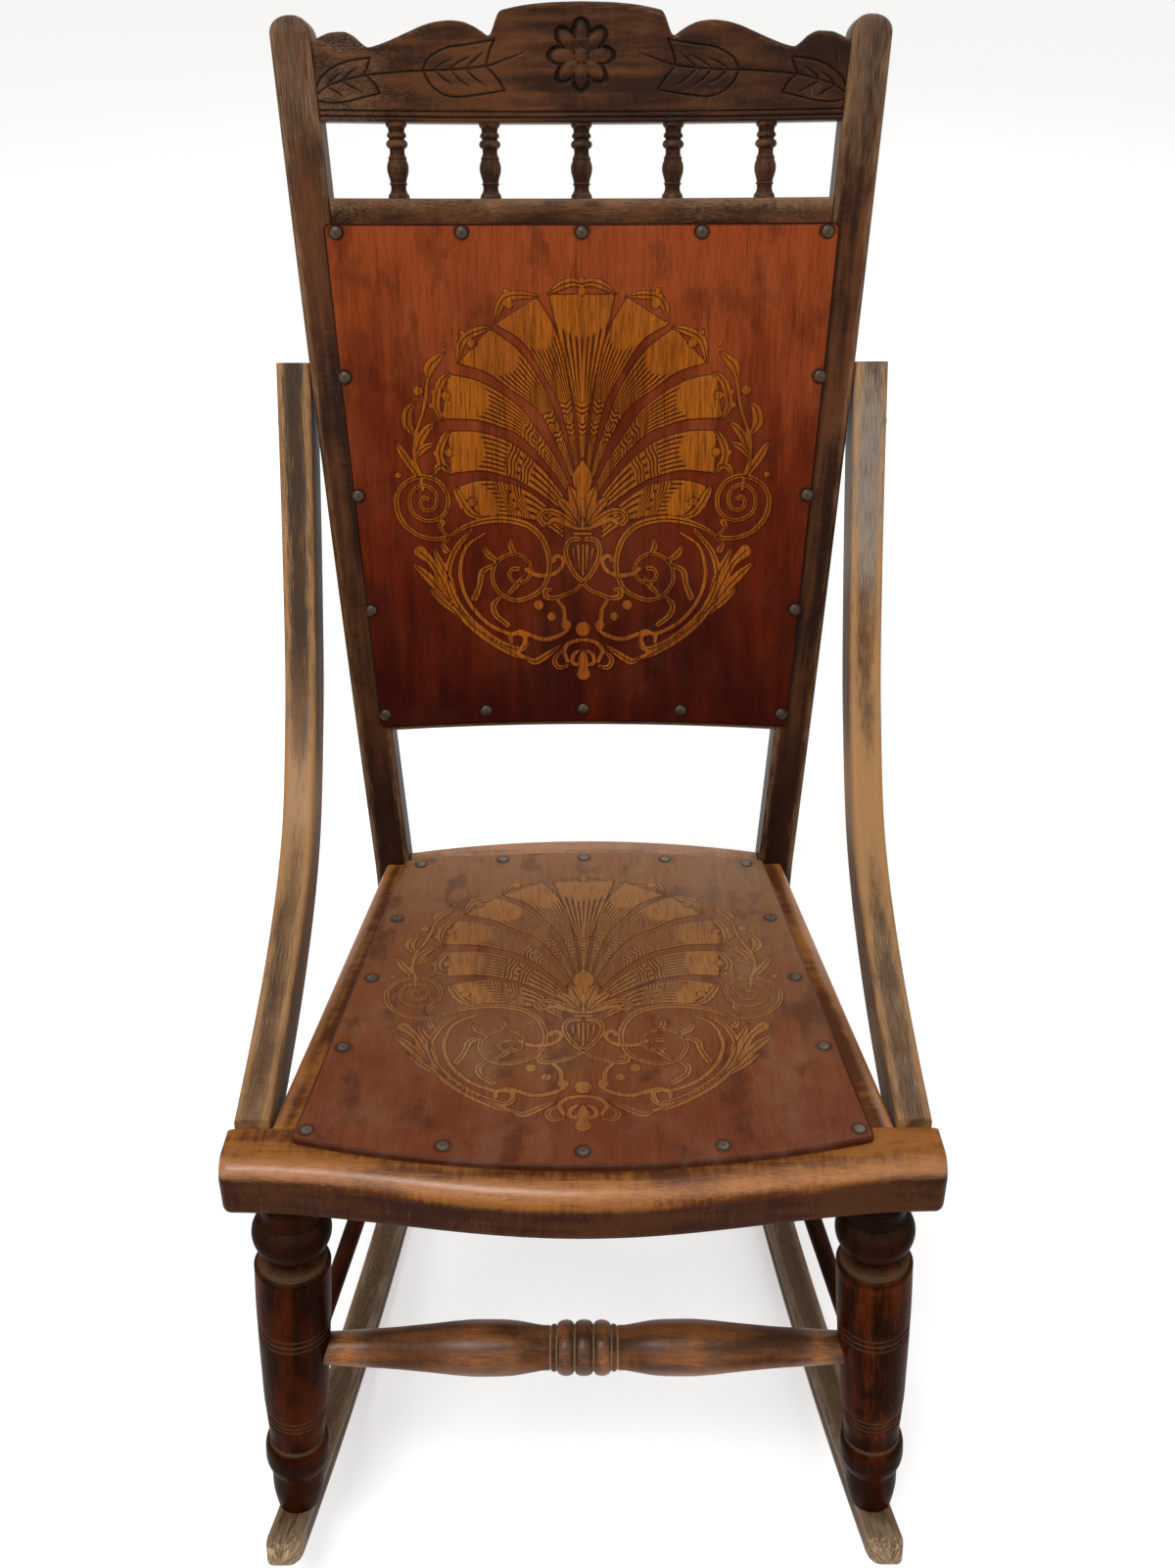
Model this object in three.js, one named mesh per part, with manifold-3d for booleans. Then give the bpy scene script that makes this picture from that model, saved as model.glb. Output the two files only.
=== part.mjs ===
// A bow rocker: a low armless rocking chair with turned front legs, curved side stays,
// and a seat and a back of thin pressed board held by rows of nails.
// Millimetres, +Z up, +X to the sitter's left, the chair faces -Y.
import * as THREE from 'three';
import { mergeVertices } from 'three/addons/utils/BufferGeometryUtils.js';
import Module from 'manifold-3d';

const wasm = await Module();
wasm.setup();

// General sizes
const CLEARANCE = 0.3; // gap left between two pieces that touch
const OVERRUN = 4; // how far a cutter passes the face that it cuts
const REST_TILT = THREE.MathUtils.degToRad(10); // how far the seat slopes back at rest
const BACK_LEAN = THREE.MathUtils.degToRad(8.4); // back measured from square to the seat

// Seat frame, in the seat's own plane with the panel's top face at height zero
const FRONT_RAIL_LENGTH = 466;
const FRONT_RAIL_BACK = 137; // from the middle of the seat forward to the rail's back face
const FRONT_RAIL_WIDTH = 37.5; // front to back at its ends
const FRONT_RAIL_BOW = 23; // extra width at the middle
const FRONT_RAIL_THICKNESS = 41;
const FRONT_RAIL_NOSE = 13; // rounding of the upper front edge
const FRONT_RAIL_UNDER = 7; // rounding of the lower front edge
const FRONT_RAIL_END_ROUND = 6; // rounding of its two ends, seen from above
const SEAT_DEPTH = 327; // front rail's back face to the posts' front faces
const SIDE_RAIL_WIDTH = 45;
const SIDE_RAIL_THICKNESS = 33;
const SIDE_RAIL_OVERHANG = 10; // how far a post stands outside its side rail
const REAR_RAIL_WIDTH = 38; // front to back between the posts
const REAR_RAIL_BOW = 19;
const REAR_RAIL_SHOULDER = 22; // how far it reaches in front of the posts
const REAR_RAIL_THICKNESS = 33;

// Seat panel
const PANEL_THICKNESS = 5;
const PANEL_CHAMFER = 1.2;
const SEAT_PANEL_SIDE_MARGIN = 16.5; // from the side rails' outer faces to the panel's edges
const SEAT_PANEL_FRONT_LAP = 14; // how far its corners lap over the front rail
const SEAT_PANEL_FRONT_BOW = 26;
const SEAT_PANEL_BACK_MARGIN = 1.5; // from its back corners to the posts
const SEAT_PANEL_BACK_BOW = 13;

// Back posts, which run down past the seat as the rear legs
const POST_WIDTH = 29.5;
const POST_DEPTH = 28;
const POST_EDGE = 2.5; // rounding of its long edges
const POST_SPREAD_SEAT = 163.5; // half the distance between the two posts' middles at the seat
const POST_SPREAD_TOP = 205;
const POST_SIDE_BOW = 1.8; // how far each post bows outwards on the way up
const POST_TOP_DROP = 9.8; // how far a post's top stands below the top of the crest
const POST_TOP_RADIUS = 13;
const REAR_LEG_RAKE = THREE.MathUtils.degToRad(5);
const REAR_LEG_TAPER = 4; // lost from the leg's width and depth at its foot

// Back rest, in the plane of the posts' front faces, heights measured from the seat frame's top
const BACK_BOW_LOW = 14; // how far the back is hollowed at its middle, level with the seat frame
const BACK_BOW_HIGH = 20; // and at the posts' tops
const BACK_PANEL_BOTTOM = 124;
const BACK_PANEL_HEIGHT = 385.5;
const BACK_PANEL_LAP_TOP = 6; // how far the panel laps over a post at the top
const BACK_PANEL_LAP_BOTTOM = 9;
const BACK_PANEL_CORNER = 5;
const UPPER_RAIL_REVEAL = 17.5; // how far the upper rail shows above the panel
const UPPER_RAIL_HEIGHT = 46;
const LOWER_RAIL_REVEAL = 4; // how far the lower rail shows below the panel
const LOWER_RAIL_HEIGHT = 42;
const BACK_RAIL_THICKNESS = 18;
const SPINDLE_LENGTH = 51; // between the upper rail and the crest
const CREST_HEIGHT = 78.8;
const CREST_THICKNESS = 21;
const CREST_DROP = 30.5; // depth of the deepest notch in its top edge

// Turned spindles between the crest and the upper rail
const SPINDLE_COUNT = 5;
const SPINDLE_PITCH = 67.3;
const SPINDLE_RADIUS = 8;
const SPINDLE_TENON_RADIUS = 4;
const SPINDLE_TENON_LENGTH = 9;

// Nails
const NAIL_SHANK_RADIUS = 1.2;
const NAIL_LENGTH = 16;
const BACK_NAIL_RADIUS = 5;
const BACK_NAIL_RISE = 2.6;
const SEAT_NAIL_RADIUS = 4.4;
const SEAT_NAIL_HEAD = 0.9; // thickness of its head, which is driven in flush
const BACK_NAIL_SIDE_MARGIN = 3.7; // from the back panel's side edges to the nails beside them
const BACK_NAIL_TOP_CORNER = 9; // from its side edges to the last nails of the top row
const BACK_NAIL_BOTTOM_CORNER = 6; // and of the bottom row
const BACK_NAIL_TOP_MARGIN = 6;
const BACK_NAIL_BOTTOM_MARGIN = 11.5;
const SEAT_NAIL_ROW_MARGIN = 7; // from the seat panel's front and back edges at its corners
const SEAT_NAIL_FRONT_MARGIN = 9; // from its side edges at the front
const SEAT_NAIL_BACK_MARGIN = 14; // and at the back

// Side stays
const STAY_RISE = 399;
const STAY_TOP_BACK = 65.5; // how far its top stands behind the posts' front faces at the seat
const STAY_DEPTH = 37;
const STAY_THICKNESS_TOP = 26;
const STAY_THICKNESS_FOOT = 23;
const STAY_STAND = 2; // how far its foot stands above the seat panel's top face
const STAY_FOOT_MARGIN = 5; // from its foot's outer face to the front rail's end
const STAY_EDGE = 4; // rounding of its inner front edge
const SCREW_HEAD_RADIUS = 6;
const SCREW_HEAD_RISE = 3;
const SCREW_SHANK_RADIUS = 2.5;
const SCREW_LENGTH = 40;
const SCREW_DROP = 42; // below the stay's top end

// Front legs
const FRONT_LEG_MARGIN = 41.2; // from the front rail's end to the leg's middle
const FRONT_LEG_SPLAY = 23.2; // how far each foot stands out past that
const FRONT_LEG_INSET = 19; // from the rail's back face forward to the leg's middle
const FRONT_LEG_RAKE = 4; // how far the foot stands forward
const FRONT_LEG_LENGTH = 300.4;
const FRONT_LEG_RADIUS = 25.8;
const FRONT_LEG_TENON_RADIUS = 10;
const FRONT_LEG_TENON_LENGTH = 22;
const FOOT_TENON_RADIUS = 7;
const FOOT_TENON_LENGTH = 13;

// Stretchers
const FRONT_STRETCHER_DROP = 142; // below the front rail
const FRONT_STRETCHER_RADIUS = 19;
const SIDE_STRETCHER_FRONT_DROP = 189;
const SIDE_STRETCHER_REAR_DROP = 202; // below the side rails
const SIDE_STRETCHER_RADIUS = 7.3;
const REAR_STRETCHER_DROP = 140;
const REAR_STRETCHER_RADIUS = 9;
const STRETCHER_SOCKET = 12; // how deep its ends go into the legs

// Rockers
const ROCKER_RADIUS = 1250; // of the curve that rolls on the floor
const ROCKER_HEIGHT = 20;
const ROCKER_WIDTH = 26;
const ROCKER_TIP_WIDTH = 22;
const ROCKER_EDGE = 3; // rounding of its two upper edges
const ROCKER_FRONT = 385; // arc from the resting place forward to the tip
const ROCKER_REAR = 385;
const ROCKER_TIP_ROUND = 26; // length over which a tip rounds off
const ROCKER_FLAT = 40; // worn flat that the chair comes to rest on
const ROCKER_CENTRE = -48; // middle of the rocker's curve, along the seat

// Round pieces are drawn with this many sides
const LEG_SIDES = 16;
const STRETCHER_SIDES = 12;
const SPINDLE_SIDES = 8;
const NAIL_SIDES = 8;
const HOLE_SIDES = 8;
const NAIL_HOLE_SIDES = 6;

// Heights and places that follow from the sizes above
const SIDE_RAIL_SPREAD = FRONT_RAIL_LENGTH / 2 - STAY_FOOT_MARGIN - STAY_THICKNESS_FOOT - CLEARANCE;
const SIDE_RAIL_REAR_SPREAD = POST_SPREAD_SEAT + POST_WIDTH / 2 - SIDE_RAIL_OVERHANG;
const SEAT_PANEL_FRONT_HALF = SIDE_RAIL_SPREAD - SEAT_PANEL_SIDE_MARGIN;
const SEAT_PANEL_BACK_HALF = SIDE_RAIL_REAR_SPREAD - SEAT_PANEL_SIDE_MARGIN;
const FRONT_LEG_SPREAD = FRONT_RAIL_LENGTH / 2 - FRONT_LEG_MARGIN;
const BACK_PANEL_TOP = BACK_PANEL_BOTTOM + BACK_PANEL_HEIGHT;
const UPPER_RAIL_TOP = BACK_PANEL_TOP + UPPER_RAIL_REVEAL;
const LOWER_RAIL_BOTTOM = BACK_PANEL_BOTTOM - LOWER_RAIL_REVEAL;
const CREST_BOTTOM = UPPER_RAIL_TOP + SPINDLE_LENGTH;
const POST_HEIGHT = CREST_BOTTOM + CREST_HEIGHT - POST_TOP_DROP;
const RAIL_TOP = -PANEL_THICKNESS - CLEARANCE;
const POST_FRONT = SEAT_DEPTH - FRONT_RAIL_BACK;
const STAY_REACH = SEAT_DEPTH + STAY_TOP_BACK;
const FRONT_RAIL_UNDERSIDE = RAIL_TOP - FRONT_RAIL_THICKNESS;
const FRONT_LEG_Y = -FRONT_RAIL_BACK - FRONT_LEG_INSET;
const FRONT_LEG_TOP = FRONT_RAIL_UNDERSIDE - CLEARANCE;
const ROCKER_TOP_RADIUS = ROCKER_RADIUS - ROCKER_HEIGHT;
const FRONT_FOOT_X = FRONT_LEG_SPREAD + FRONT_LEG_SPLAY;
const FRONT_FOOT_Y = FRONT_LEG_Y - FRONT_LEG_RAKE;
const FRONT_FOOT_Z = FRONT_LEG_TOP - FRONT_LEG_LENGTH;
const ROCKER_RUN = FRONT_FOOT_Y - ROCKER_CENTRE;
const ROCKER_AXIS_Z = FRONT_FOOT_Z + Math.sqrt(ROCKER_TOP_RADIUS ** 2 - ROCKER_RUN ** 2);

// Materials
function wood(name, color, roughness) {
  return new THREE.MeshStandardMaterial({ name, color, roughness, metalness: 0 });
}

const darkStain = wood('dark_stained_birch', 0x3a2014, 0.45);
const greyStain = wood('worn_stained_birch', 0x59402c, 0.55);
const railStain = wood('orange_worn_birch', 0x7a4318, 0.4);
const legStain = wood('red_brown_stained_birch', 0x4a2013, 0.4);
const dustyWood = wood('dusty_worn_birch', 0x6d5842, 0.75);
const backBoard = wood('glossy_pressed_board', 0x7d2f12, 0.3);
const seatBoard = wood('worn_pressed_board', 0x67341d, 0.5);
const nailBrass = new THREE.MeshStandardMaterial({
  name: 'antique_brass', color: 0x4b3826, roughness: 0.45, metalness: 0.8,
});
const oldSteel = new THREE.MeshStandardMaterial({
  name: 'old_steel', color: 0x6a5f52, roughness: 0.5, metalness: 0.8,
});

// Solid helpers

// Volume enclosed by an indexed surface, negative when its faces point inwards
function signedVolume(positions, indices) {
  const [a, b, c] = [new THREE.Vector3(), new THREE.Vector3(), new THREE.Vector3()];
  let total = 0;
  for (let i = 0; i < indices.length; i += 3) {
    a.fromArray(positions, indices[i] * 3);
    b.fromArray(positions, indices[i + 1] * 3);
    c.fromArray(positions, indices[i + 2] * 3);
    total += a.dot(b.cross(c));
  }
  return total;
}

function geometryFrom(positions, indices) {
  const outward = signedVolume(positions, indices) > 0 ? indices : [...indices].reverse();
  const geometry = new THREE.BufferGeometry();
  geometry.setAttribute('position', new THREE.Float32BufferAttribute(positions, 3));
  geometry.setIndex(outward);
  geometry.computeVertexNormals();
  return geometry;
}

// Skin over a row of convex rings with equal numbers of points, closed at both ends
function loft(rings) {
  const positions = rings.flat().flatMap((point) => [point.x, point.y, point.z]);
  const count = rings[0].length;
  const indices = [];
  for (let r = 0; r + 1 < rings.length; r += 1) {
    for (let i = 0; i < count; i += 1) {
      const here = r * count + i;
      const next = r * count + (i + 1) % count;
      indices.push(here, next, next + count, here, next + count, here + count);
    }
  }
  const last = (rings.length - 1) * count;
  for (let i = 1; i + 1 < count; i += 1) {
    indices.push(0, i + 1, i);
    indices.push(last, last + i, last + i + 1);
  }
  return geometryFrom(positions, indices);
}

function solidOf(geometry) {
  const bare = geometry.clone();
  bare.deleteAttribute('normal');
  bare.deleteAttribute('uv');
  const merged = mergeVertices(bare);
  return new wasm.Manifold(new wasm.Mesh({
    numProp: 3,
    vertProperties: new Float32Array(merged.attributes.position.array),
    triVerts: new Uint32Array(merged.index.array),
  }));
}

function geometryOf(solid) {
  const mesh = solid.getMesh();
  return geometryFrom([...mesh.vertProperties], [...mesh.triVerts]);
}

function carve(geometry, cutters) {
  const solid = cutters.reduce((rest, cutter) => rest.subtract(solidOf(cutter)), solidOf(geometry));
  return geometryOf(solid);
}

function joined(geometries) {
  const [first, ...others] = geometries.map(solidOf);
  return geometryOf(others.reduce((whole, other) => whole.add(other), first));
}

function mirrored(geometry) {
  const positions = [...geometry.attributes.position.array];
  for (let i = 0; i < positions.length; i += 3) positions[i] *= -1;
  return geometryFrom(positions, [...geometry.index.array]);
}

const UP_Y = new THREE.Vector3(0, 1, 0);

// Round rod between two points
function rod(from, to, radius, sides) {
  const axis = to.clone().sub(from);
  const geometry = new THREE.CylinderGeometry(radius, radius, axis.length(), sides);
  const turn = new THREE.Quaternion().setFromUnitVectors(UP_Y, axis.clone().normalize());
  geometry.applyQuaternion(turn);
  geometry.translate(...from.clone().add(to).divideScalar(2).toArray());
  return geometry;
}

// Turned shape on an axis from one point to another. Each share is
// [distance from the first point over the length, radius over the widest radius].
function turned(from, to, radius, shares, sides) {
  const length = from.distanceTo(to);
  const profile = shares.map(([along, width]) => new THREE.Vector2(width * radius, along * length));
  const first = new THREE.Vector2(0, profile[0].y);
  const last = new THREE.Vector2(0, profile[profile.length - 1].y);
  const geometry = new THREE.LatheGeometry([first, ...profile, last], sides);
  const axis = to.clone().sub(from).normalize();
  geometry.applyQuaternion(new THREE.Quaternion().setFromUnitVectors(UP_Y, axis));
  geometry.translate(...from.toArray());
  return geometryOf(solidOf(geometry));
}

// Place on the line from one point to another, at a share of the way
function along(from, to, share) {
  return from.clone().lerp(to, share);
}

// Place past the end of a line by a length
function past(from, to, length) {
  const axis = to.clone().sub(from).normalize();
  return to.clone().addScaledVector(axis, length);
}

// Seat frame

function seatDepthShare(y) {
  return (y + FRONT_RAIL_BACK) / SEAT_DEPTH;
}

function sideRailOuter(y) {
  return THREE.MathUtils.lerp(SIDE_RAIL_SPREAD, SIDE_RAIL_REAR_SPREAD, seatDepthShare(y));
}

function frontRailFront(x) {
  const share = x / (FRONT_RAIL_LENGTH / 2);
  return -FRONT_RAIL_BACK - FRONT_RAIL_WIDTH - FRONT_RAIL_BOW * Math.cos(share * Math.PI / 2) ** 2;
}

const NOSE_STEPS = 3;
const UNDER_STEPS = 2;
const FRONT_RAIL_STATIONS = 16;

// Places of the stations on a rounded end, as shares of the rounding
const endShares = [0.5, 0.87, 1];

function quarterRound(centreY, centreZ, radius, startAngle, steps) {
  return Array.from({ length: steps + 1 }, (_, i) => {
    const angle = startAngle + i / steps * Math.PI / 2;
    return [centreY + Math.cos(angle) * radius, centreZ + Math.sin(angle) * radius];
  });
}

function frontRailRing(x) {
  const half = FRONT_RAIL_LENGTH / 2;
  const fromEnd = half - Math.abs(x);
  const lack = Math.max(0, FRONT_RAIL_END_ROUND - fromEnd);
  const inset = FRONT_RAIL_END_ROUND - Math.sqrt(FRONT_RAIL_END_ROUND ** 2 - lack ** 2);
  const front = frontRailFront(x) + inset;
  const nose = quarterRound(front + FRONT_RAIL_NOSE, RAIL_TOP - FRONT_RAIL_NOSE,
    FRONT_RAIL_NOSE, Math.PI / 2, NOSE_STEPS);
  const under = quarterRound(front + FRONT_RAIL_UNDER, FRONT_RAIL_UNDERSIDE + FRONT_RAIL_UNDER,
    FRONT_RAIL_UNDER, Math.PI, UNDER_STEPS);
  const back = -FRONT_RAIL_BACK;
  const outline = [[back, RAIL_TOP], ...nose, ...under, [back, FRONT_RAIL_UNDERSIDE]];
  return outline.map(([y, z]) => new THREE.Vector3(x, y, z));
}

function frontRailBlank() {
  const half = FRONT_RAIL_LENGTH / 2;
  const inner = half - FRONT_RAIL_END_ROUND;
  const middle = Array.from({ length: FRONT_RAIL_STATIONS + 1 },
    (_, i) => THREE.MathUtils.lerp(-inner, inner, i / FRONT_RAIL_STATIONS));
  const ends = endShares.map((share) => inner + share * FRONT_RAIL_END_ROUND);
  const stations = [...ends.map((x) => -x).reverse(), ...middle, ...ends];
  return loft(stations.map(frontRailRing));
}

// Flat board with an outline seen from above, from a height downwards
function board(outline, top, thickness) {
  const shape = new THREE.Shape(outline.map(([x, y]) => new THREE.Vector2(x, y)));
  const geometry = new THREE.ExtrudeGeometry(shape, { depth: thickness, bevelEnabled: false });
  geometry.translate(0, 0, top - thickness);
  return geometryOf(solidOf(geometry));
}

function sideRailBlank() {
  const front = -FRONT_RAIL_BACK + CLEARANCE;
  const back = POST_FRONT - CLEARANCE;
  const outline = [
    [sideRailOuter(front), front],
    [sideRailOuter(back), back],
    [sideRailOuter(back) - SIDE_RAIL_WIDTH, back],
    [sideRailOuter(front) - SIDE_RAIL_WIDTH, front],
  ];
  return board(outline, RAIL_TOP, SIDE_RAIL_THICKNESS);
}

const REAR_RAIL_STEPS = 12;

function rearRailBlank() {
  const shoulder = POST_FRONT + CLEARANCE;
  const front = POST_FRONT - REAR_RAIL_SHOULDER;
  const back = POST_FRONT + REAR_RAIL_WIDTH - REAR_RAIL_BOW;
  const between = POST_SPREAD_SEAT - POST_WIDTH / 2 - CLEARANCE;
  const inner = (y) => sideRailOuter(y) - SIDE_RAIL_WIDTH - CLEARANCE;
  const bow = Array.from({ length: REAR_RAIL_STEPS + 1 }, (_, i) => {
    const share = 1 - 2 * i / REAR_RAIL_STEPS;
    return [share * between, back + REAR_RAIL_BOW * (1 - share ** 2)];
  });
  const right = [[inner(front), front], [inner(shoulder), shoulder], [between, shoulder]];
  const left = right.map(([x, y]) => [-x, y]).reverse();
  return board([...right, ...bow, ...left], RAIL_TOP, REAR_RAIL_THICKNESS);
}

// Seat panel outline, drawn anticlockwise and inset all round by a length
const PANEL_BOW_STEPS = 12;

function seatPanelOutline(inset) {
  const frontY = -FRONT_RAIL_BACK - SEAT_PANEL_FRONT_LAP + inset;
  const backY = POST_FRONT - SEAT_PANEL_BACK_MARGIN - inset;
  const frontHalf = SEAT_PANEL_FRONT_HALF - inset;
  const backHalf = SEAT_PANEL_BACK_HALF - inset;
  const front = Array.from({ length: PANEL_BOW_STEPS + 1 }, (_, i) => {
    const share = 2 * i / PANEL_BOW_STEPS - 1;
    return [share * frontHalf, frontY - SEAT_PANEL_FRONT_BOW * (1 - share ** 2)];
  });
  const back = Array.from({ length: PANEL_BOW_STEPS + 1 }, (_, i) => {
    const share = 1 - 2 * i / PANEL_BOW_STEPS;
    return [share * backHalf, backY + SEAT_PANEL_BACK_BOW * (1 - share ** 2)];
  });
  return [...front, ...back];
}

function seatPanelBlank() {
  const ring = (inset, z) => seatPanelOutline(inset).map(([x, y]) => new THREE.Vector3(x, y, z));
  return loft([
    ring(0, -PANEL_THICKNESS),
    ring(0, -PANEL_CHAMFER),
    ring(PANEL_CHAMFER, 0),
  ]);
}

// Places of the side nails from front to back, and of a row's nails from its middle outwards
const seatSideNailShares = [0.268, 0.505, 0.739];
const seatRowNailShares = [-1, -0.5, 0, 0.5, 1];
const SEAT_ROW_BOW_SHARE = 0.78; // bow of a row of nails, over the bow of the edge beside it

function seatNailHalf(share) {
  const half = THREE.MathUtils.lerp(SEAT_PANEL_FRONT_HALF, SEAT_PANEL_BACK_HALF, share);
  return half - THREE.MathUtils.lerp(SEAT_NAIL_FRONT_MARGIN, SEAT_NAIL_BACK_MARGIN, share);
}

function seatNailPlaces() {
  const front = -FRONT_RAIL_BACK - SEAT_PANEL_FRONT_LAP;
  const back = POST_FRONT - SEAT_PANEL_BACK_MARGIN;
  const row = (half, edge, bow) => seatRowNailShares.map((share) => [
    share * half, edge + bow * SEAT_ROW_BOW_SHARE * (1 - share ** 2)]);
  const frontRow = row(seatNailHalf(0), front + SEAT_NAIL_ROW_MARGIN, -SEAT_PANEL_FRONT_BOW);
  const backRow = row(seatNailHalf(1), back - SEAT_NAIL_ROW_MARGIN, SEAT_PANEL_BACK_BOW);
  const sides = seatSideNailShares.flatMap((share) => [-1, 1].map((side) => [
    side * seatNailHalf(share), THREE.MathUtils.lerp(front, back, share)]));
  return [...frontRow, ...sides, ...backRow];
}

// Holes for the shanks, each with a shallow recess that takes the head
function seatNailHoles() {
  return seatNailPlaces().flatMap(([x, y]) => {
    const place = (z) => new THREE.Vector3(x, y, z);
    const recess = -SEAT_NAIL_HEAD - CLEARANCE;
    return [
      rod(place(OVERRUN), place(recess - NAIL_LENGTH), NAIL_SHANK_RADIUS + CLEARANCE, NAIL_HOLE_SIDES),
      rod(place(OVERRUN), place(recess), SEAT_NAIL_RADIUS + CLEARANCE, NAIL_SIDES),
    ];
  });
}

// Domed head as [share of its rise, share of its radius]
const nailHeadShares = [[0, 1], [0.65, 0.72], [1, 0]];

// Nail standing on its point, its head's underside at height zero
function nail(headRadius, headRise) {
  const head = nailHeadShares.map(([up, width]) => new THREE.Vector2(width * headRadius, up * headRise));
  const profile = [
    new THREE.Vector2(0, -NAIL_LENGTH),
    new THREE.Vector2(NAIL_SHANK_RADIUS, -NAIL_LENGTH + NAIL_SHANK_RADIUS),
    new THREE.Vector2(NAIL_SHANK_RADIUS, 0),
    ...head,
  ];
  const geometry = new THREE.LatheGeometry(profile, NAIL_SIDES);
  geometry.rotateX(Math.PI / 2);
  return geometryOf(solidOf(geometry));
}

// Back, in the frame of the posts' front faces: x across, y backwards, z up along the posts

function postCentre(height) {
  const share = height / POST_HEIGHT;
  const chord = THREE.MathUtils.lerp(POST_SPREAD_SEAT, POST_SPREAD_TOP, share);
  return share > 0 ? chord + 4 * POST_SIDE_BOW * share * (1 - share) : POST_SPREAD_SEAT;
}

const BACK_RAIL_STEPS = 12;

// Depth of the hollow at a share of the half width, drawn as straight runs between its stations
function hollowAt(share, height) {
  const place = (share + 1) / 2 * BACK_RAIL_STEPS;
  const low = THREE.MathUtils.clamp(Math.floor(place), 0, BACK_RAIL_STEPS - 1);
  const [first, second] = [low, low + 1].map((i) => 1 - (2 * i / BACK_RAIL_STEPS - 1) ** 2);
  const bow = THREE.MathUtils.lerp(BACK_BOW_LOW, BACK_BOW_HIGH, height / POST_HEIGHT);
  return bow * THREE.MathUtils.lerp(first, second, place - low);
}

// Inner faces of the posts at a height
function postInner(height) {
  return postCentre(height) - POST_WIDTH / 2;
}

// Rectangle with cut corners, in a plane square to a direction in the side view
function sectionRing(centre, across, deep, width, depth, edge) {
  const half = width / 2 - edge;
  const corners = [
    [-width / 2, edge], [-width / 2, depth - edge], [-half, depth], [half, depth],
    [width / 2, depth - edge], [width / 2, edge], [half, 0], [-half, 0],
  ];
  return corners.map(([u, v]) => centre.clone().addScaledVector(across, u).addScaledVector(deep, v));
}

const POST_STEPS = 8;
const postTopShares = [0.5, 0.8, 1]; // heights on the rounded top
const POST_TOP_FLAT_SHARE = 0.3; // width left at the very top

// Middle of a post's front face at its foot, in the back's frame
function rearFootFront() {
  const drop = BACK_LEAN + REAR_LEG_RAKE;
  const length = rearLegLength();
  return new THREE.Vector3(POST_SPREAD_SEAT, Math.sin(drop) * length, -Math.cos(drop) * length);
}

// Distance from the seat frame's top down along the rear leg's front face to the rocker
function rearLegLength() {
  const start = new THREE.Vector2(POST_FRONT, RAIL_TOP);
  const axis = new THREE.Vector2(Math.sin(REAR_LEG_RAKE), -Math.cos(REAR_LEG_RAKE));
  const centre = new THREE.Vector2(ROCKER_CENTRE, ROCKER_AXIS_Z);
  const offset = start.clone().sub(centre);
  const b = offset.dot(axis);
  const c = offset.lengthSq() - ROCKER_TOP_RADIUS ** 2;
  return -b + Math.sqrt(b ** 2 - c);
}

function postRing(centre, share) {
  const across = new THREE.Vector3(1, 0, 0);
  const deep = new THREE.Vector3(0, 1, 0);
  return sectionRing(centre, across, deep, POST_WIDTH * share, POST_DEPTH * share, POST_EDGE * share);
}

// Post with spare length at its foot, to be trimmed round the rocker
function postBlank() {
  const foot = rearFootFront();
  const knee = new THREE.Vector3(POST_SPREAD_SEAT, 0, 0);
  const rings = [postRing(past(knee, foot, POST_DEPTH), 1 - REAR_LEG_TAPER / POST_WIDTH)];
  for (let i = 0; i <= POST_STEPS; i += 1) {
    const height = i / POST_STEPS * (POST_HEIGHT - POST_TOP_RADIUS);
    rings.push(postRing(new THREE.Vector3(postCentre(height), 0, height), 1));
  }
  for (const share of postTopShares) {
    const height = POST_HEIGHT - POST_TOP_RADIUS * (1 - share);
    const left = THREE.MathUtils.lerp(POST_TOP_FLAT_SHARE, 1, Math.sqrt(1 - share ** 2));
    rings.push(postRing(new THREE.Vector3(postCentre(height), POST_DEPTH * (1 - left) / 2, height), left));
  }
  return loft(rings);
}

// Hollowed rail between the posts, its front face following the back's bow
function backRail(bottom, top, thickness) {
  const rings = Array.from({ length: BACK_RAIL_STEPS + 1 }, (_, i) => {
    const share = 2 * i / BACK_RAIL_STEPS - 1;
    const point = (y, z) => {
      const half = postInner(z) - CLEARANCE;
      return new THREE.Vector3(share * half, hollowAt(share, z) + y, z);
    };
    return [point(0, bottom), point(0, top), point(thickness, top), point(thickness, bottom)];
  });
  return loft(rings);
}

// Top edge of the crest as [share of the half length, share of the deepest notch].
// A raised block stands in the middle, then a hump and a scallop run out to each post.
const crestTopShares = [
  [0, 0], [0.11, 0.02], [0.2, 0.06], [0.28, 0.14], [0.305, 0.2], [0.325, 0.37], [0.35, 0.7],
  [0.375, 0.63], [0.41, 0.51], [0.45, 0.43], [0.49, 0.41], [0.54, 0.44], [0.59, 0.52],
  [0.65, 0.67], [0.72, 0.85], [0.77, 0.96], [0.8, 1], [0.82, 0.93], [0.85, 0.77], [0.885, 0.69],
  [0.93, 0.71], [0.97, 0.8], [1, 0.9],
];

function crestRail() {
  const mirroredShares = crestTopShares.slice(1).map(([across, drop]) => [-across, drop]).reverse();
  const rings = [...mirroredShares, ...crestTopShares].map(([across, drop]) => {
    const top = CREST_BOTTOM + CREST_HEIGHT - drop * CREST_DROP;
    const point = (y, z) => {
      const half = postInner(z) - CLEARANCE;
      return new THREE.Vector3(across * half, hollowAt(across, z) + y, z);
    };
    const front = [point(0, CREST_BOTTOM), point(0, top)];
    return [...front, point(CREST_THICKNESS, top), point(CREST_THICKNESS, CREST_BOTTOM)];
  });
  return loft(rings);
}

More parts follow.
